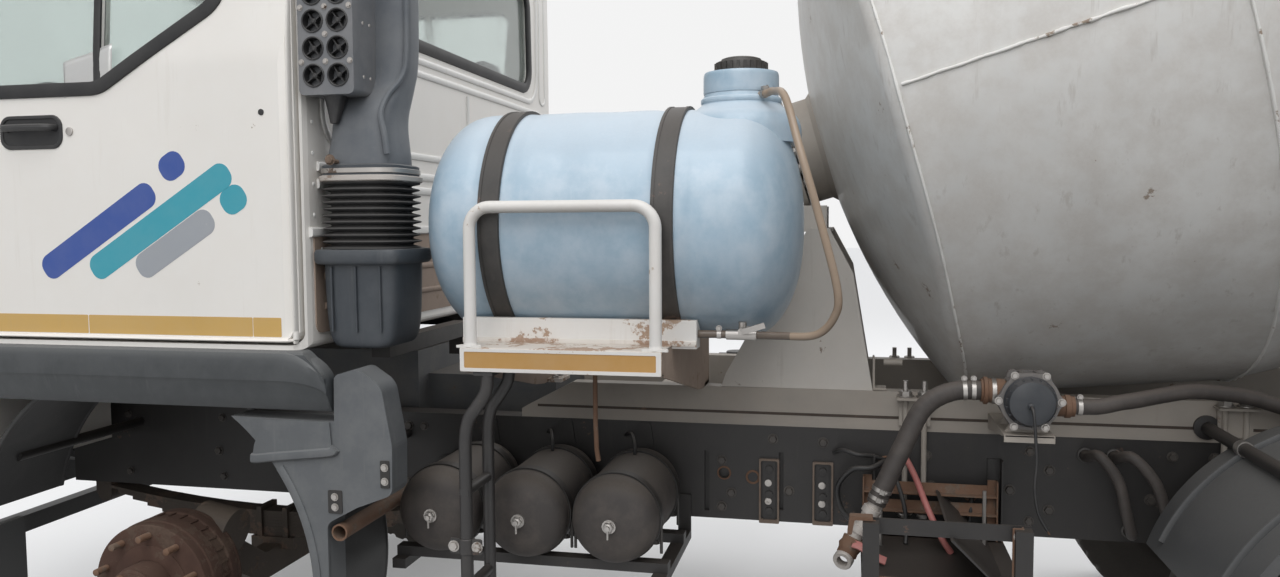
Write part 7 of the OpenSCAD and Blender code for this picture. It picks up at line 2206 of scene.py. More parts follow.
def wheel_disc(face, thick, bore, edge, rise, holes=8, bend=0.205):
    """A wheel's disc round Y: a flat ring with round holes, whose outer part is pushed along the axle by a
    share of its radius beyond the bend.
    """
    around = circle(1.0, 96)
    hand = [circle(0.017, 20)[::-1] + 0.2235 * np.array([math.cos(a), math.sin(a)]) for a in turns(holes)]
    rings = [circle(bend, 96)[::-1], around * bend]
    middle = plate(around * bend, face - thick, face, holes=[circle(bore, 72)[::-1]])
    outer = plate(around * edge, face - thick, face, holes=[rings[0], *hand])
    points, faces = outer
    far = np.hypot(points[:, 0], points[:, 2])
    points = points + np.outer(rise * np.clip((far - bend) / (edge - bend), 0, 1), Y)
    return joined(middle, (points, faces))


def wheel_nuts(face, width, long=0.03, turn=18.0, stud=0.011):
    """Ten nuts on the stud circle, each with its washer and the end of its stud."""
    one = joined(bolt_head(width, width * 0.75), tube([(0, 0, 0), (0, 0, long)], stud, 12))
    a = np.radians(36 * np.arange(10) + turn)
    places = np.stack([STUD_R * np.cos(a), np.full(10, face), STUD_R * np.sin(a)], 1)
    return repeated(one, places, Y)


class MIXER_OT_wheels(bpy.types.Operator):
    """Tyres with their tread, rims, discs, hubs and nuts"""

    bl_idname = "mixer.wheels"
    bl_label = "Wheels"

    def execute(self, context):
        sizes = context.scene.mixer_wheels
        tyre = tyre_shape(0, sizes.tread, sizes.lugs)
        front = moved(mirrored(moved(tyre, (0, FRONT_TRACK, 0))), (FRONT_X, 0, AXLE_Z))
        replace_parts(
            piece("Tyre_front_right", front, "wheel_front", "tyre_rubber", "tyre_rubber", angle=32),
            "tyre_front")
        hub = turned_form(
            [
                (0.03, FLANGE_Y - 0.002), (0.088, FLANGE_Y - 0.002), (0.088, 1.15), (0.084, 1.156),
                (0.084, 1.17), (0.078, 1.178), (0.03, 1.185)], sides=64)
        cap_bolts = bolts(
            [(0.066 * math.cos(a), 1.1795, 0.066 * math.sin(a)) for a in np.arange(6) * np.pi / 3], Y, 0.013)
        drum = turned_form(
            rounded(
                [
                    (0.12, 0.925, 0), (0.205, 0.925, 0.004), (0.205, 0.96, 0.004), (0.2, 0.965, 0.003),
                    (0.2, 1.0, 0.003), (0.205, 1.005, 0.003), (0.205, 1.05, 0.008), (0.2015, 1.056, 0.002),
                    (0.2015, 1.089, 0.004), (0.12, 1.089, 0)], 4), sides=96, closed=True)
        disc = wheel_disc(FLANGE_Y + 0.014, 0.014, 0.089, 0.2485, -0.045)
        right = [
            (joined(rim_shape(FRONT_TRACK), disc), "wheel_steel"), (joined(hub, drum), "hub_rust"),
            (joined(wheel_nuts(FLANGE_Y + 0.014, sizes.nut, 0.034), cap_bolts), "rusty_steel")]
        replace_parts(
            piece(
                "Wheel_front_right", [(moved(mirrored(s), (FRONT_X, 0, AXLE_Z)), m) for s, m in right],
                "wheel_front", "wheel_steel", "wheel_steel"), "wheel_front")
        thread = np.stack([0.0103 + 0.0007 * (np.arange(26) % 2), np.linspace(0.0, 0.048, 26)], 1)
        thread = np.concatenate([thread, [(0.008, 0.0495)]])
        a = np.radians(36 * np.arange(10) + 18)
        studs = repeated(
            turned_form(thread, axis=Z, sides=14),
            np.stack([STUD_R * np.cos(a), np.full(10, FLANGE_Y - 0.001), STUD_R * np.sin(a)], 1), Y)
        fins = joined(*[
            moved(box((-0.004, 0.962, 0.199), (0.004, 1.003, 0.2045)), (0, 0, 0), turned("Y", d))
            for d in range(0, 360, 12)])
        back = turned_form(
            rounded([(0.183, 0.912, 0), (0.205, 0.912, 0.003), (0.205, 0.926, 0.003), (0.183, 0.926, 0)], 3),
            sides=96, closed=True)
        face = turned_form(
            rounded([(0.089, 1.088, 0), (0.135, 1.088, 0), (0.135, 1.092, 0.002), (0.089, 1.095, 0)], 3),
            sides=72, closed=True)
        left = [(joined(drum, hub, fins, back, face), "hub_rust"), (joined(studs, cap_bolts), "rusty_steel")]
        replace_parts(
            piece(
                "Hub_left", [(moved(s, (FRONT_X, 0, AXLE_Z)), m) for s, m in left], "hub_left", "hub_rust",
                "hub_rust"), "hub_left")
        twin = joined(moved(tyre, (0, REAR_TRACK - TWIN / 2, 0)), moved(tyre, (0, REAR_TRACK + TWIN / 2, 0)))
        barrels = joined(rim_shape(REAR_TRACK - TWIN / 2), rim_shape(REAR_TRACK + TWIN / 2))
        discs = joined(
            wheel_disc(REAR_TRACK + 0.014, 0.0138, 0.109, 0.2485, 0.082),
            moved(mirrored(wheel_disc(0.014, 0.0138, 0.109, 0.2485, 0.082)), (0, REAR_TRACK, 0)))
        rear_hub = turned_form(
            [
                (0.05, REAR_TRACK - 0.01), (0.11, REAR_TRACK - 0.01), (0.11, 1.07), (0.118, 1.074),
                (0.118, 1.09), (0.108, 1.096), (0.1, 1.112), (0.05, 1.119)], sides=72)
        rear_bolts = bolts(
            [(0.108 * math.cos(b), 1.0905, 0.108 * math.sin(b)) for b in np.arange(12) * np.pi / 6], Y, 0.014)
        rear_drum = turned_form(
            rounded(
                [
                    (0.183, 0.681, 0), (0.205, 0.681, 0.004), (0.205, 0.9, 0.01), (0.18, 0.915, 0.01),
                    (0.11, 0.915, 0), (0.11, 0.895, 0), (0.175, 0.89, 0.01), (0.183, 0.875, 0)], 4), sides=72,
            closed=True)
        rear = [
            (joined(barrels, discs), "wheel_steel"), (joined(rear_hub, rear_drum), "hub_rust"),
            (joined(wheel_nuts(REAR_TRACK + 0.014, sizes.nut, 0.044), rear_bolts), "rusty_steel")]
        number = 0
        for x in REAR_X:
            for _, turn in SIDES:
                number += 1
                tyres = piece(
                    f"Tyres_rear_{number}", moved(turn(twin), (x, 0, AXLE_Z)), f"wheel_rear_{number}",
                    "tyre_rubber", "tyre_rubber", angle=32)
                wheel = piece(
                    f"Wheels_rear_{number}", [(moved(turn(s), (x, 0, AXLE_Z)), m) for s, m in rear],
                    f"wheel_rear_{number}", "wheel_steel", "wheel_steel")
                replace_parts(tyres, f"tyres_rear_{number}")
                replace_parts(wheel, f"wheels_rear_{number}")
        return {"FINISHED"}


# Mudguards, front end and lamps


def arc_points(centre, radius, low, high, steps):
    """(x, z) points of an arc, its angles in degrees."""
    t = np.radians(np.linspace(low, high, steps))
    return np.stack([centre[0] + radius * np.cos(t), centre[1] + radius * np.sin(t)], 1)


class MIXER_OT_mudguards(bpy.types.Operator):
    """Front arches and side panels with their ridge and bolt plates, rear guards with their flaps"""

    bl_idname = "mixer.mudguards"
    bl_label = "Mudguards"

    def execute(self, context):
        arch, r, t = (FRONT_X, 0.6), 0.64, 0.012
        stub = (2.252, 0, 0.779)
        shell = plate(
            np.concatenate([arc_points(arch, r, 12, 205, 64), arc_points(arch, r + t, 205, 12, 64)]), 0.76,
            1.1)
        lips = joined(*[
            carried(
                seal_profile(0.016, 0.01), np.insert(arc_points(arch, r + t / 2, 12, 205, 72), 1, y, axis=1),
                side=Y) for y in (0.762, 1.098)])
        sweep = arc_points(arch, r, 127, 205, 28)
        # the panel's rear side is nearly upright, with large round corners
        back = rounded(
            [
                (2.395, 0.331, 0), (2.29, 0.331, 0.012), (2.286, 0.6, 0.1), (2.286, 0.806, 0.03),
                (2.19, 0.858, 0.05), (2.08, 0.9, 0.03), (2.077, 1.04, 0.1), (2.108, 1.215, 0.06),
                (2.18, 1.262, 0.03), (2.253, 1.24, 0.02), (2.256, 1.1055, 0.004), (2.59, 1.1055, 0)], 9)[1:-1]
        outline = np.concatenate([sweep, back])
        outline = outline if np.dot(outline[:, 0], np.roll(outline[:, 1], -1)) > np.dot(
            outline[:, 1], np.roll(outline[:, 0], -1)) else outline[::-1]
        face = plate(outline, 1.184, 1.196)
        wall = plate(outline, 1.099, 1.186, holes=[inset(outline, 0.011)[::-1]])
        step = rounded(
            [
                (2.268, 1.105, 0.004), (2.262, 1.02, 0.018), (2.44, 1.0, 0.012), (2.52, 0.985, 0.01),
                (2.512, 1.03, 0.015), (2.478, 1.105, 0.004)], 6)[::-1]
        ledge = carried(
            seal_profile(0.03, 0.013),
            smooth_path(
                [
                    (2.252, 1.197, 1.03), (2.262, 1.197, 1.02), (2.3, 1.197, 1.014), (2.44, 1.197, 0.998),
                    (2.5, 1.197, 0.99), (2.522, 1.196, 0.99)], 5), side=Y)
        crease = carried(
            seal_profile(0.026, 0.006),
            np.insert(arc_points(arch, r + 0.013, 146, 203, 40), 1, 1.196, axis=1), side=Y)
        plates = joined(*[
            plate(rect(x - w, z - h, x + w, z + h, 0.004, 3), 1.1955, 1.1995)
            for x, z, w, h in ((2.258, 0.872, 0.022, 0.034), (2.1, 0.96, 0.014, 0.04))])
        heads = bolts(
            [(2.258, 1.1995, 0.887), (2.258, 1.1995, 0.857), (2.1, 1.1995, 0.98), (2.1, 1.1995, 0.94)], Y,
            0.012)
        stay = turned_form(
            [
                (0.0, RAIL_FACE), (0.024, RAIL_FACE), (0.024, 1.17), (0.025, 1.172), (0.025, 1.19),
                (0.02, 1.19), (0.02, 1.12), (0.0, 1.12)], stub, Y, 32)
        stays = joined(*[
            turned_form([(thick, RAIL_FACE), (thick, 1.0)], (x, 0, 0.9), Y, 24)
            for x, thick in ((FRONT_X + 0.572, 0.018), (FRONT_X - 0.572, 0.015))])
        collar = turned_form(
            [(0.023, RAIL_FACE), (0.048, RAIL_FACE), (0.048, 0.428), (0.027, 0.434)], stub, Y, 32)
        # the arch's shell and lips are near-black plastic, partly their own colour and partly painted shade
        # under the arch
        guard = [
            (joined(shell, lips), "black_plastic"),
            (joined(face, wall, plate(step, 1.195, 1.203), ledge, crease), "mudguard"),
            (plates, "frame_black"), (heads, "bare_steel"), (stay, "rusty_steel"),
            (joined(stays, collar), "frame_black")]
        for side, turn in SIDES:
            made = piece(
                "Front_mudguard_" + side, side_pairs(turn, guard), "root", "dark_plastic", "mudguard",
                bevel=0.004)
            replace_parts(made, "front_mudguards")
        guards, flaps, tubes, clips = [], [], [], []
        # the rear guards hang on tubes at this distance from their axle and this lean from upright
        reach, lean = 0.614, math.radians(35)
        for x in REAR_X:
            section = np.array([
                (0, 0), (0, 0.64), (-0.03, 0.64), (-0.03, 0.634), (-0.006, 0.634), (-0.006, 0.006),
                (-0.03, 0.006), (-0.03, 0.0)])
            path = np.insert(arc_points((x, AXLE_Z), 0.596, 18, 162, 60), 1, 0.61, axis=1)
            out = unit(path - (x, 0.61, AXLE_Z))
            rings = path[:, None] + section[None, :, :1] * out[:, None] + section[None, :, 1:] * Y
            k = len(section)
            guards.append((
                rings.reshape(-1, 3),
                grid_faces(60, k, False, True) + [list(range(k)), list(range(59 * k, 60 * k))[::-1]]))
            for bump in (-0.21, 0.21):
                guards.append(carried(
                    seal_profile(0.03, 0.006),
                    np.insert(arc_points((x, AXLE_Z), 0.5965, 22, 158, 50), 1, 0.93 + bump, axis=1), side=Y))
            for s in (-1, 1):
                place = (x + s * reach * math.sin(lean), 0, AXLE_Z + reach * math.cos(lean))
                tubes.append(turned_form([(0.019, RAIL_FACE), (0.019, 1.2), (0.01, 1.203)], place, Y, 24))
                tubes.append(turned_form(
                    [(0.019, RAIL_FACE), (0.038, RAIL_FACE), (0.038, 0.43), (0.021, 0.434)], place, Y, 24))
                clips += [
                    turned_form(
                        [(0.0195, b), (0.0225, b), (0.0225, b + 0.03), (0.0195, b + 0.03)], place, Y, 24, True
                    ) for b in (0.7, 1.12)]
        flap_x = REAR_X[1] - 0.566
        flaps.append(box((flap_x - 0.003, 0.64, 0.33), (flap_x + 0.003, 1.22, 0.735), 0.002))
        flaps.append(box((flap_x - 0.008, 0.64, 0.705), (flap_x - 0.003, 1.22, 0.735), 0.001))
        pairs = [
            (joined(*guards), "dark_plastic"), (joined(*flaps), "seal_rubber"),
            (joined(*tubes), "frame_black"), (joined(*clips), "bare_steel")]
        for side, turn in SIDES:
            made = piece(
                "Rear_mudguards_" + side, side_pairs(turn, pairs), "root", "dark_plastic", "dark_plastic")
            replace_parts(made, "rear_mudguards")
        return {"FINISHED"}


class MIXER_OT_lamps(bpy.types.Operator):
    """Headlamps, rear lamps, mirrors, wipers and the front grille"""

    bl_idname = "mixer.lamps"
    bl_label = "Lamps and mirrors"

    def execute(self, context):
        bumper_x = 4.225
        t = np.linspace(0, np.pi / 2, 8)
        bowl = np.stack([0.062 * np.sin(t), 0.03 * (1 - np.cos(t))], 1)
        bowl[0, 0] = 0.002
        reflector = turned_form(
            np.concatenate([bowl, bowl[::-1] * (0.97, 1) + (0, 0.0015)]), axis=Z, sides=40, closed=True)
        bulb = turned_form([(0.004, 0.004), (0.01, 0.006), (0.01, 0.016), (0.004, 0.022)], axis=Z, sides=16)
        head_places = [(bumper_x - 0.0385, y, 0.597) for y in (0.823, 0.973)]
        shells = repeated(reflector, head_places, X)
        bulbs = repeated(bulb, head_places, X)
        around, opening = rect(
            0.7515, 0.5015, 1.0485, 0.6885, 0.012, 5), rect(0.76, 0.51, 1.04, 0.68, 0.012, 5)
        case = plate(around, bumper_x - 0.0395, bumper_x - 0.036, ACROSS)
        ring = plate(around, bumper_x - 0.037, bumper_x - 0.006, ACROSS,
                     holes=[opening[::-1]])
        lens = plate(opening, bumper_x - 0.0065, bumper_x - 0.0035, ACROSS)
        head_lamp = [
            (joined(case, ring), "black_plastic"), (shells, "mirror_glass"), (bulbs, "hoop_white"),
            (lens, "lamp_lens")]
        for side, turn in SIDES:
            made = piece("Headlamps_" + side, side_pairs(turn, head_lamp), "root", "lamp_lens", "lamp_lens")
            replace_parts(made, "lamps")
            tail = [(
                plate(rect(0.8, 0.492, 1.12, 0.568, 0.008, 5), -2.905, -2.8895, ACROSS), "black_plastic")]
            for low, high, kind in (
                (0.806, 0.862, "lamp_lens"), (0.866, 0.972, "lens_red"), (0.976, 1.046, "lens_amber"),
                (1.05, 1.114, "lens_red")):
                tail.append((plate(rect(low, 0.497, high, 0.563, 0.006, 4), -2.924, -2.904, ACROSS), kind))
            piece("Rear_lamps_" + side, side_pairs(turn, tail), "root", "lamp_lens", "lens_red", bevel=0.002)
            arms = [
                tube(
                    smooth_path(
                        [
                            (3.962, 1.155, z0), (3.97, 1.22, z0), (3.995, 1.33, z1), (4.008, 1.378, z1),
                            (4.01, 1.39, z1 + s * 0.012)], 5), 0.012, 14)
                for z0, z1, s in ((2.56, 2.596, -1), (2.15, 2.132, 1))]
            arms.append(tube([(4.01, 1.39, 2.12), (4.01, 1.39, 2.36), (4.01, 1.39, 2.61)], 0.012, 14))
            rim = rect(1.282, 2.182, 1.488, 2.558, 0.035, 8)
            levels = np.array([
                (3.93, 0.0), (3.934, -0.004), (3.975, 0.0), (3.992, 0.012), (4.002, 0.032), (4.0045, 0.06)])
            shell = np.concatenate([np.insert(inset(rim, max(d, 0.0)), 0, x, axis=1) for x, d in levels])
            k = len(rim)
            housing = (
                shell,
                grid_faces(len(levels), k, False, True) + [
                    list(range(k)), list(range((len(levels) - 1) * k, len(levels) * k))])
            glass = plate(inset(rim, 0.01), 3.9285, 3.931, ACROSS)
            mirrors = piece(
                "Mirror_" + side,
                side_pairs(
                    turn, [(joined(*arms), "black_tube"), (housing, "mirror_black"), (glass, "mirror_glass")]
                ), "cab", "mirror_black", "mirror_black", angle=40)
            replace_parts(mirrors, "cab_mirrors")
        bars = joined(*[
            carried(
                seal_profile(0.03, 0.01),
                smooth_path(
                    np.stack([np.full(12, 4.1755), np.linspace(-0.8, 0.8, 12), np.full(12, z)], 1), 2), side=X
            ) for z in (1.28, 1.36, 1.44, 1.52)])
        panel = plate(rect(-0.86, 1.235, 0.86, 1.565, 0.03, 6), 4.174, 4.1775, ACROSS)
        wipers = []
        for y in (-0.75, 0.05):
            pivot, tip = np.array((4.152, y, 2.098)), np.array((4.134, y + 0.46, 2.225))
            wipers.append(tube(
                smooth_path([pivot + (0.018, 0, 0), pivot + (0.022, 0.16, 0.03), tip + (0.016, 0, 0)], 5),
                0.006, 8))
            wipers.append(tube(
                smooth_path([tip + (0.01, -0.3, -0.062), tip + (0.01, 0, 0.0), tip + (0.008, 0.28, 0.06)], 5),
                0.005, 8))
            wipers.append(turned_form([(0.022, 0.0), (0.022, 0.016), (0.014, 0.022)], pivot, X, 20))
        piece(
            "Cab_front_fittings",
            [(panel, "black_plastic"), (bars, "dark_plastic"), (joined(*wipers), "black_plastic")], "cab",
            "dark_plastic", "black_plastic")
        return {"FINISHED"}


# Right side and rear


def block_form(low, high, corner, ends, bead):
    """Rounded block along X whose section shrinks over its last few millimetres at both ends, with raised
    rings near them.
    """
    base = rect(low[1], low[2], high[1], high[2], corner, 12)
    near = [(0.0, ends), (ends * 0.3, ends * 0.3), (ends, 0.0)] + bead
    stations = [(low[0] + a, d) for a, d in near] + [(high[0] - a, d) for a, d in bead[::-1] + near[2::-1]]
    rings = [np.insert(inset(base, d), 0, x, axis=1) for x, d in stations]
    k = len(base)
    return np.concatenate(rings), grid_faces(len(rings), k, False, True) + [
        list(range(k)), list(range((len(rings) - 1) * k, len(rings) * k))]


class MIXER_OT_right_side(bpy.types.Operator):
    """Fuel tank with its straps and cap, and the silencer with its seams and pipes"""

    bl_idname = "mixer.right_side"
    bl_label = "Fuel tank and silencer"

    def execute(self, context):
        bead = [(0.06, 0.0), (0.07, 0.004), (0.078, 0.004), (0.082, 0.0)]
        tank = block_form((1.25, -1.18, 0.47), (2.05, -0.56, 1.02), 0.09, 0.012, bead)
        outline = rect(-1.18, 0.47, -0.56, 1.02, 0.09, 10)
        straps = []
        for x in (1.4, 1.85):
            straps.append(plate(
                inset(outline, -0.0035), x, x + 0.05, ACROSS, holes=[inset(outline, 0.0005)[::-1]]))
            straps += [
                box((x, -1.15, 0.4405), (x + 0.05, -RAIL_FACE, 0.4705), 0.004),
                box((x, -0.48, 0.4405), (x + 0.05, -RAIL_FACE, 0.9), 0.004)]
        cap = turned_form(
            [(0.055, 0.0), (0.055, 0.01), (0.05, 0.012), (0.05, 0.026), (0.046, 0.03), (0.01, 0.03)],
            (1.35, -0.98, 1.0185), Z, 36)
        tank_piece = piece(
            "Fuel_tank",
            [
                (tank, "tank_alloy"), (joined(*straps), "frame_black"), (cap, "black_plastic"),
                (bolts([(1.425, -1.1835, 0.6), (1.875, -1.1835, 0.6)], -Y, 0.018), "bare_steel")], "root",
            "tank_alloy", "tank_alloy")
        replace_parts(tank_piece, "fuel_tank")
        pot = block_form(
            (0.3, -1.12, 0.56), (1.06, -0.6, 0.9), 0.15, 0.02,
            [(0.035, 0.0), (0.04, 0.003), (0.046, 0.003), (0.05, 0.0)])
        hoops = []
        ring = rect(-1.12, 0.56, -0.6, 0.9, 0.15, 12)
        for x in (0.38, 0.92):
            hoops.append(plate(inset(ring, -0.003), x, x + 0.05, ACROSS, holes=[inset(ring, 0.0005)[::-1]]))
            hoops.append(box((x, -0.64, 0.69), (x + 0.05, -RAIL_FACE, 0.73), 0.003))
        pipes = [
            turned_form(
                [(0.04, 1.0505), (0.05, 1.0505), (0.05, 1.172), (0.04, 1.172)], (0, -0.86, 0.73), X, 32, True
            ),
            turned_form(
                [(0.038, -0.86), (0.046, -0.86), (0.046, -RAIL_FACE), (0.038, -RAIL_FACE)], (1.12, 0, 0.73),
                Y, 32, True),
            tube(
                smooth_path(
                    [
                        (0.42, -1.04, 0.6), (0.42, -1.04, 0.5), (0.42, -1.044, 0.462), (0.42, -1.062, 0.438),
                        (0.42, -1.1, 0.43), (0.42, -1.188, 0.43)], 6), 0.044, 28),
            turned_form(
                [(0.036, -1.19), (0.046, -1.19), (0.046, -1.168), (0.036, -1.168)], (0.42, 0, 0.43), Y, 32,
                True)]
        # a near-black disc across the tail pipe's end: its soot and the painted shade inside the open pipe
        mouth = turned_form([(0.036, -1.1895), (0.036, -1.1888)], (0.42, 0, 0.43), Y, 24)
        silencer = piece(
            "Silencer",
            [
                (pot, "silencer_rust"), (joined(*hoops), "frame_black"), (joined(*pipes), "rusty_steel"),
                (mouth, "seal_rubber")], "root", "silencer_rust", "silencer_rust")
        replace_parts(silencer, "silencer")
        return {"FINISHED"}


def crust(rng, corner, along, across, normal, thick):
    """Dried cement on a flat sheet: a grid between its corner and two sides, lifted along the normal by
    smoothed noise, thin at its edges.
    """
    rows = 26
    u, v = np.meshgrid(np.linspace(0, 1, rows), np.linspace(0, 1, rows))
    lumps = sum(
        rng.random() * np.sin(u * k + rng.random() * 6) * np.sin(v * (k * 0.8 + 1) + rng.random() * 6)
        for k in (7, 11, 17, 23, 31))
    fade = np.clip(8 * np.minimum(np.minimum(u, 1 - u), np.minimum(v, 1 - v)), 0, 1)
    lift = thick * (0.55 + 0.45 * lumps) * fade - 0.0006
    sheet = np.asarray(corner) + u[..., None] * np.asarray(along) + v[..., None] * np.asarray(across)
    both = np.stack([sheet + lift[..., None] * unit(normal), sheet - 0.002 * unit(normal)])
    top = np.array(grid_faces(rows, rows))
    edge = np.concatenate([
        np.arange(rows), np.arange(1, rows) * rows + rows - 1,
        (rows - 1) * rows + np.arange(rows - 2, -1, -1), np.arange(rows - 2, 0, -1) * rows])
    wall = np.stack([edge, np.roll(edge, -1), np.roll(edge, -1) + rows * rows, edge + rows * rows], 1)
    return both.reshape(-1, 3), top.tolist() + (top[:, ::-1] + rows * rows).tolist() + wall.tolist()


class MIXER_OT_rear_end(bpy.types.Operator):
    """Rolled rims and dried cement of the hopper, the collector and the chute"""

    bl_idname = "mixer.rear_end"
    bl_label = "Hopper and chute"

    def execute(self, context):
        ring = rect(-3.76, -0.47, -3.01, 0.47, 0.02, 4)
        rolled = carried(circle(0.011, 12), np.insert(ring, 2, 3.856, axis=1), True, Z)
        brim_y, brim_z = 0.427, 2.797
        edges = [
            [(x, y, brim_z) for x in (-3.3, -3.45, -3.637)] for y in (-brim_y, brim_y)
        ] + [[(-3.637, y, brim_z) for y in (-brim_y, 0.0, brim_y)]]
        brim = joined(*[carried(circle(0.009, 10), edge, side=Z) for edge in edges])
        rng = np.random.default_rng(SEED + 1)
        crusts = [
            crust(rng, (-3.7, -0.4, 3.795), (0.33, 0.05, -0.33), (0.05, 0.75, 0.0), (0.7, 0, 0.7), 0.01),
            crust(rng, (-3.63, -0.38, 2.36), (0.0, 0.76, 0), (0, 0, 0.4), (1, 0, 0), 0.009)]
        piece(
            "Hopper_rims", [(joined(rolled, brim), "mixer_grey"), (joined(*crusts), "cement")], "root",
            "mixer_grey", "mixer_grey")
        return {"FINISHED"}


# Inside of the cab


def cushion(low, high, power=0.3, channels=(), depth=0.01):
    """A stuffed cushion: a superellipsoid that fills the box, with sewn channels pressed into it across its
    length.
    """
    low, high = np.asarray(low, float), np.asarray(high, float)
    v = np.linspace(-np.pi / 2, np.pi / 2, 40)[1:-1]
    k = 64
    u = turns(k)
    cos_v, sin_v, cos_u, sin_u = (
        np.sign(s) * np.abs(s) ** power for s in (np.cos(v), np.sin(v), np.cos(u), np.sin(u)))
    p = np.stack([np.outer(cos_v, cos_u), np.outer(cos_v, sin_u), np.outer(sin_v, np.ones(k))], -1)
    p = np.concatenate([p.reshape(-1, 3), [(0, 0, -1), (0, 0, 1)]])
    for c in channels:
        press = depth * np.exp(-(((p[:, 0] - c) / 0.035) ** 2)) / ((high[2] - low[2]) / 2)
        p[:, 2] -= press * (p[:, 2] > 0)
    # the middle stands higher than the edges
    p[:, 2] *= 1 - 0.1 * np.clip(p[:, 0] ** 2 + p[:, 1] ** 2, 0, 1.6)
    rows, ring = len(v), np.arange(k)
    faces = grid_faces(rows, k, False, True)
    faces += np.stack([np.full(k, rows * k), (ring + 1) % k, ring], 1).tolist() + np.stack(
        [np.full(k, rows * k + 1), (rows - 1) * k + ring, (rows - 1) * k + (ring + 1) % k], 1).tolist()
    return (low + high) / 2 + p * (high - low) / 2, faces


class MIXER_OT_cab_inside(bpy.types.Operator):
    """Padded seats, dashboard, steering wheel and levers"""

    bl_idname = "mixer.cab_inside"
    bl_label = "Cab inside"

    def execute(self, context):
        made = []
        for y, side in ((0.64, "left"), (-0.64, "right")):
            base = piece(
                "Pad_base_" + side,
                moved(
                    cushion((-0.235, -0.245, -0.065), (0.235, 0.245, 0.065), 0.34, (-0.45, 0.05, 0.5)),
                    (2.77, y, 1.705)), "cab", "cab_cloth", "cab_cloth", angle=60)
            lean = turned("Y", -84)
            back = piece(
                "Pad_back_" + side,
                moved(
                    cushion((-0.3, -0.235, -0.045), (0.3, 0.235, 0.045), 0.34, (-0.5, -0.1, 0.3), 0.008),
                    (2.52, y, 2.08), lean), "cab", "cab_cloth", "cab_cloth", angle=60)
            rest = piece(
                "Pad_head_" + side,
                moved(cushion((-0.055, -0.12, -0.03), (0.055, 0.12, 0.03), 0.45), (2.48, y, 2.365), lean),
                "cab", "cab_cloth", "cab_cloth", angle=60)
            for soft, fill in ((base, 0.75), (back, 0.8), (rest, 0.85)):
                made.append(soft)
            frame_parts = [
                box((2.562, y - 0.118, 1.4105), (2.818, y + 0.118, 1.64), 0.03, 5),
                box((2.49, y - 0.225, 1.632), (3.0, y + 0.225, 1.655), 0.05, 6),
                *[tube([(2.478, y + d, 2.3), (2.48, y + d, 2.345)], 0.006, 8) for d in (-0.05, 0.05)]]
            made.append(piece(
                "Pad_frame_" + side, joined(*frame_parts), "cab", "cab_cloth", "black_plastic", bevel=0.006))
        dash = plate(
            rounded(
                [
                    (4.095, 1.702, 0.01), (4.095, 2.055, 0.02), (3.905, 2.055, 0.07), (3.765, 1.905, 0.06),
                    (3.822, 1.702, 0.04)], 8), -0.98, 0.98)
        hood = plate(
            rounded([(3.8, 1.96, 0.01), (3.83, 2.05, 0.03), (3.98, 2.085, 0.02), (3.96, 2.03, 0.01)], 6), 0.4,
            0.88)
        vents = joined(*[
            moved(
                box((-0.003, -0.055, -0.006), (0.003, 0.055, 0.006)), (3.786, y, 1.945 + k * 0.012),
                turned("Y", -30)) for y in (-0.75, -0.1, 0.1) for k in range(-2, 3)])
        dials = joined(*[
            turned_form(
                [(0.045, 0.0), (0.048, 0.004), (0.045, 0.007), (0.04, 0.004)], (3.806, y, 1.985),
                (-0.8, 0, 0.6), 32) for y in (0.56, 0.72)])
        wheel_at, wheel_axis = np.array((3.55, 0.64, 1.996)), unit((
            -math.sin(math.radians(60)), 0, math.cos(math.radians(60))))
        grip = turned_form(circle(0.015, 16) + (0.215, 0.0), wheel_at, wheel_axis, 96, True)
        boss = turned_form(
            [(0.02, -0.02), (0.052, -0.018), (0.055, 0.0), (0.05, 0.016), (0.02, 0.02)], wheel_at, wheel_axis,
            36)
        first = unit(np.cross(wheel_axis, Y))
        spokes = joined(*[
            carried(
                rect(-0.014, -0.005, 0.014, 0.005, 0.003, 3),
                [wheel_at + 0.04 * d, wheel_at + 0.12 * d - 0.004 * wheel_axis, wheel_at + 0.212 * d],
                side=wheel_axis)
            for d in [math.cos(a) * first + math.sin(a) * Y for a in np.radians((90, 210, 330))]])
        column = tube(smooth_path([(3.8, 0.64, 1.85), (3.68, 0.64, 1.92), (3.56, 0.64, 1.99)], 4), 0.03, 24)
        stalks = joined(
            tube([(3.62, 0.64, 1.955), (3.6, 0.72, 1.975), (3.59, 0.82, 1.985)], 0.006, 10),
            tube([(3.62, 0.64, 1.955), (3.6, 0.56, 1.975), (3.59, 0.46, 1.985)], 0.006, 10))
        lever = joined(
            tube(smooth_path([(3.2, 0.18, 1.4), (3.2, 0.19, 1.62), (3.16, 0.2, 1.84)], 5), 0.009, 12),
            turned_form(
                [(0.01, -0.03), (0.022, -0.022), (0.026, 0.0), (0.02, 0.024), (0.006, 0.032)],
                (3.16, 0.2, 1.86), Z, 24))
        made.append(piece(
            "Dashboard",
            [
                (dash, "inside_plastic"), (hood, "inside_plastic"), (joined(vents, dials), "black_plastic"),
                (joined(grip, boss, spokes, column, stalks, lever), "black_plastic")], "cab", "cab_cloth",
            "inside_plastic", bevel=0.006))
        for part in made:
            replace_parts(part, "cab_interior")
        return {"FINISHED"}


# Finishes of the frame's own parts


# Nodes whose finish isn't the one of their slot's name
NODE_FINISH = {
    "cab_trim": "moulding",
    "front_mudguards": "mudguard",
    "air_filter_box": "intake_plastic",
    "air_intake": "duct_plastic",
    "cab_interior": "inside_plastic",
    "drum_pedestals": "mixer_pale",
    "door_glass_left": "cab_glazing",
    "door_glass_right": "cab_glazing"}


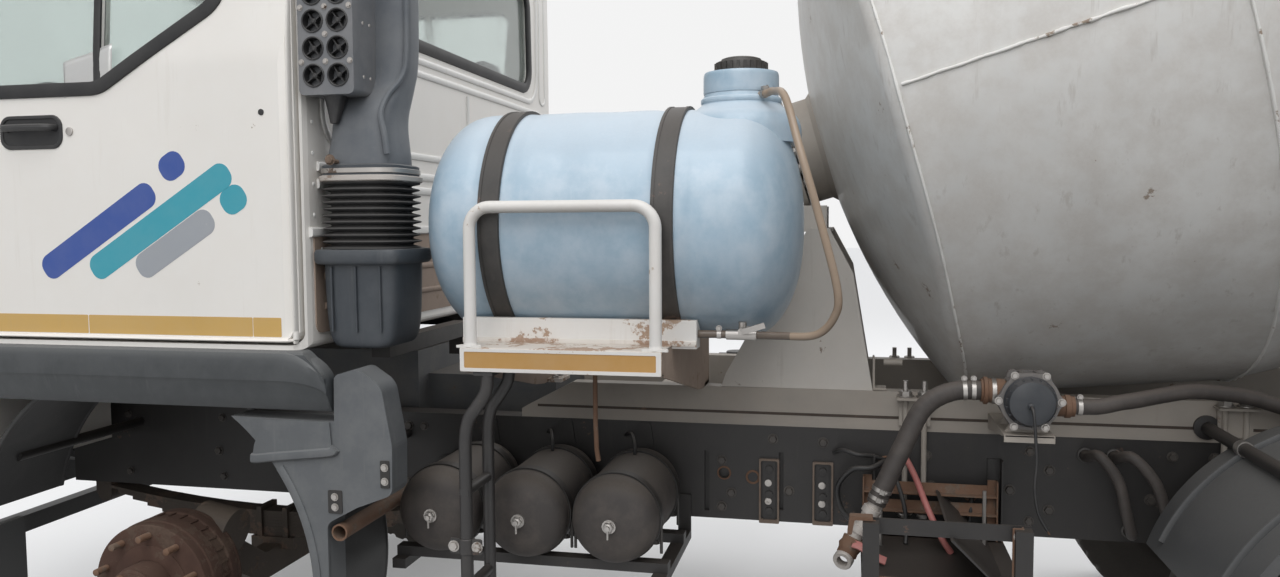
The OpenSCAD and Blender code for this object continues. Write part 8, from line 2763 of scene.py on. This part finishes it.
class MIXER_OT_finishes(bpy.types.Operator):
    """Gives each part of the frame its own finish"""

    bl_idname = "mixer.finishes"
    bl_label = "Finishes"

    def execute(self, context):
        slots = {row["node"]: row["material_slot"] for row in frame["record"]["subparts"]}
        for name, part in frame["nodes"].items():
            part.data.materials.clear()
            part.data.materials.append(finish(NODE_FINISH.get(name, slots[name])))
        return {"FINISHED"}


# Settings and steps, in the order in which the panel lists them and main calls them
GROUPS = (MixerLook, MixerStage, MixerLines, MixerCab, MixerIntake, MixerTank, MixerDrum, MixerWheels)
STEPS = (
    MIXER_OT_stage,
    MIXER_OT_cable,
    MIXER_OT_finishes,
    MIXER_OT_windows,
    MIXER_OT_livery,
    MIXER_OT_doors,
    MIXER_OT_rear_wall,
    MIXER_OT_mouldings,
    MIXER_OT_intake,
    MIXER_OT_tank,
    MIXER_OT_platform,
    MIXER_OT_ladder,
    MIXER_OT_air_tanks,
    MIXER_OT_pump,
    MIXER_OT_hoses,
    MIXER_OT_rail_details,
    MIXER_OT_battery_frame,
    MIXER_OT_drum,
    MIXER_OT_wheels,
    MIXER_OT_mudguards,
    MIXER_OT_lamps,
    MIXER_OT_right_side,
    MIXER_OT_rear_end,
    MIXER_OT_cab_inside,
)


class MIXER_PT_steps(bpy.types.Panel):
    """Lists the truck's pieces and their sizes in the sidebar"""

    bl_idname = "MIXER_PT_steps"
    bl_label = "Concrete mixer truck"
    bl_space_type = "VIEW_3D"
    bl_region_type = "UI"
    bl_category = "Mixer"

    def draw(self, context):
        for step in STEPS:
            self.layout.operator(step.bl_idname)
        for group in GROUPS:
            settings = getattr(context.scene, scene_name(group))
            for key in group.__annotations__:
                self.layout.prop(settings, key)


def scene_name(group):
    """The scene's name for a group of settings: MixerLook is mixer_look."""
    return "mixer_" + group.__name__[len("Mixer"):].lower()


def register():
    for cls in (*GROUPS, *STEPS, MIXER_PT_steps):
        bpy.utils.register_class(cls)
    for group in GROUPS:
        setattr(bpy.types.Scene, scene_name(group), PointerProperty(type=group))


def unregister():
    for group in GROUPS:
        delattr(bpy.types.Scene, scene_name(group))
    for cls in reversed((*GROUPS, *STEPS, MIXER_PT_steps)):
        bpy.utils.unregister_class(cls)


def main():
    """Makes the stage and every piece."""
    register()
    for step in STEPS:
        kind, name = step.bl_idname.split(".")
        getattr(getattr(bpy.ops, kind), name)()


if __name__ == "__main__":
    main()
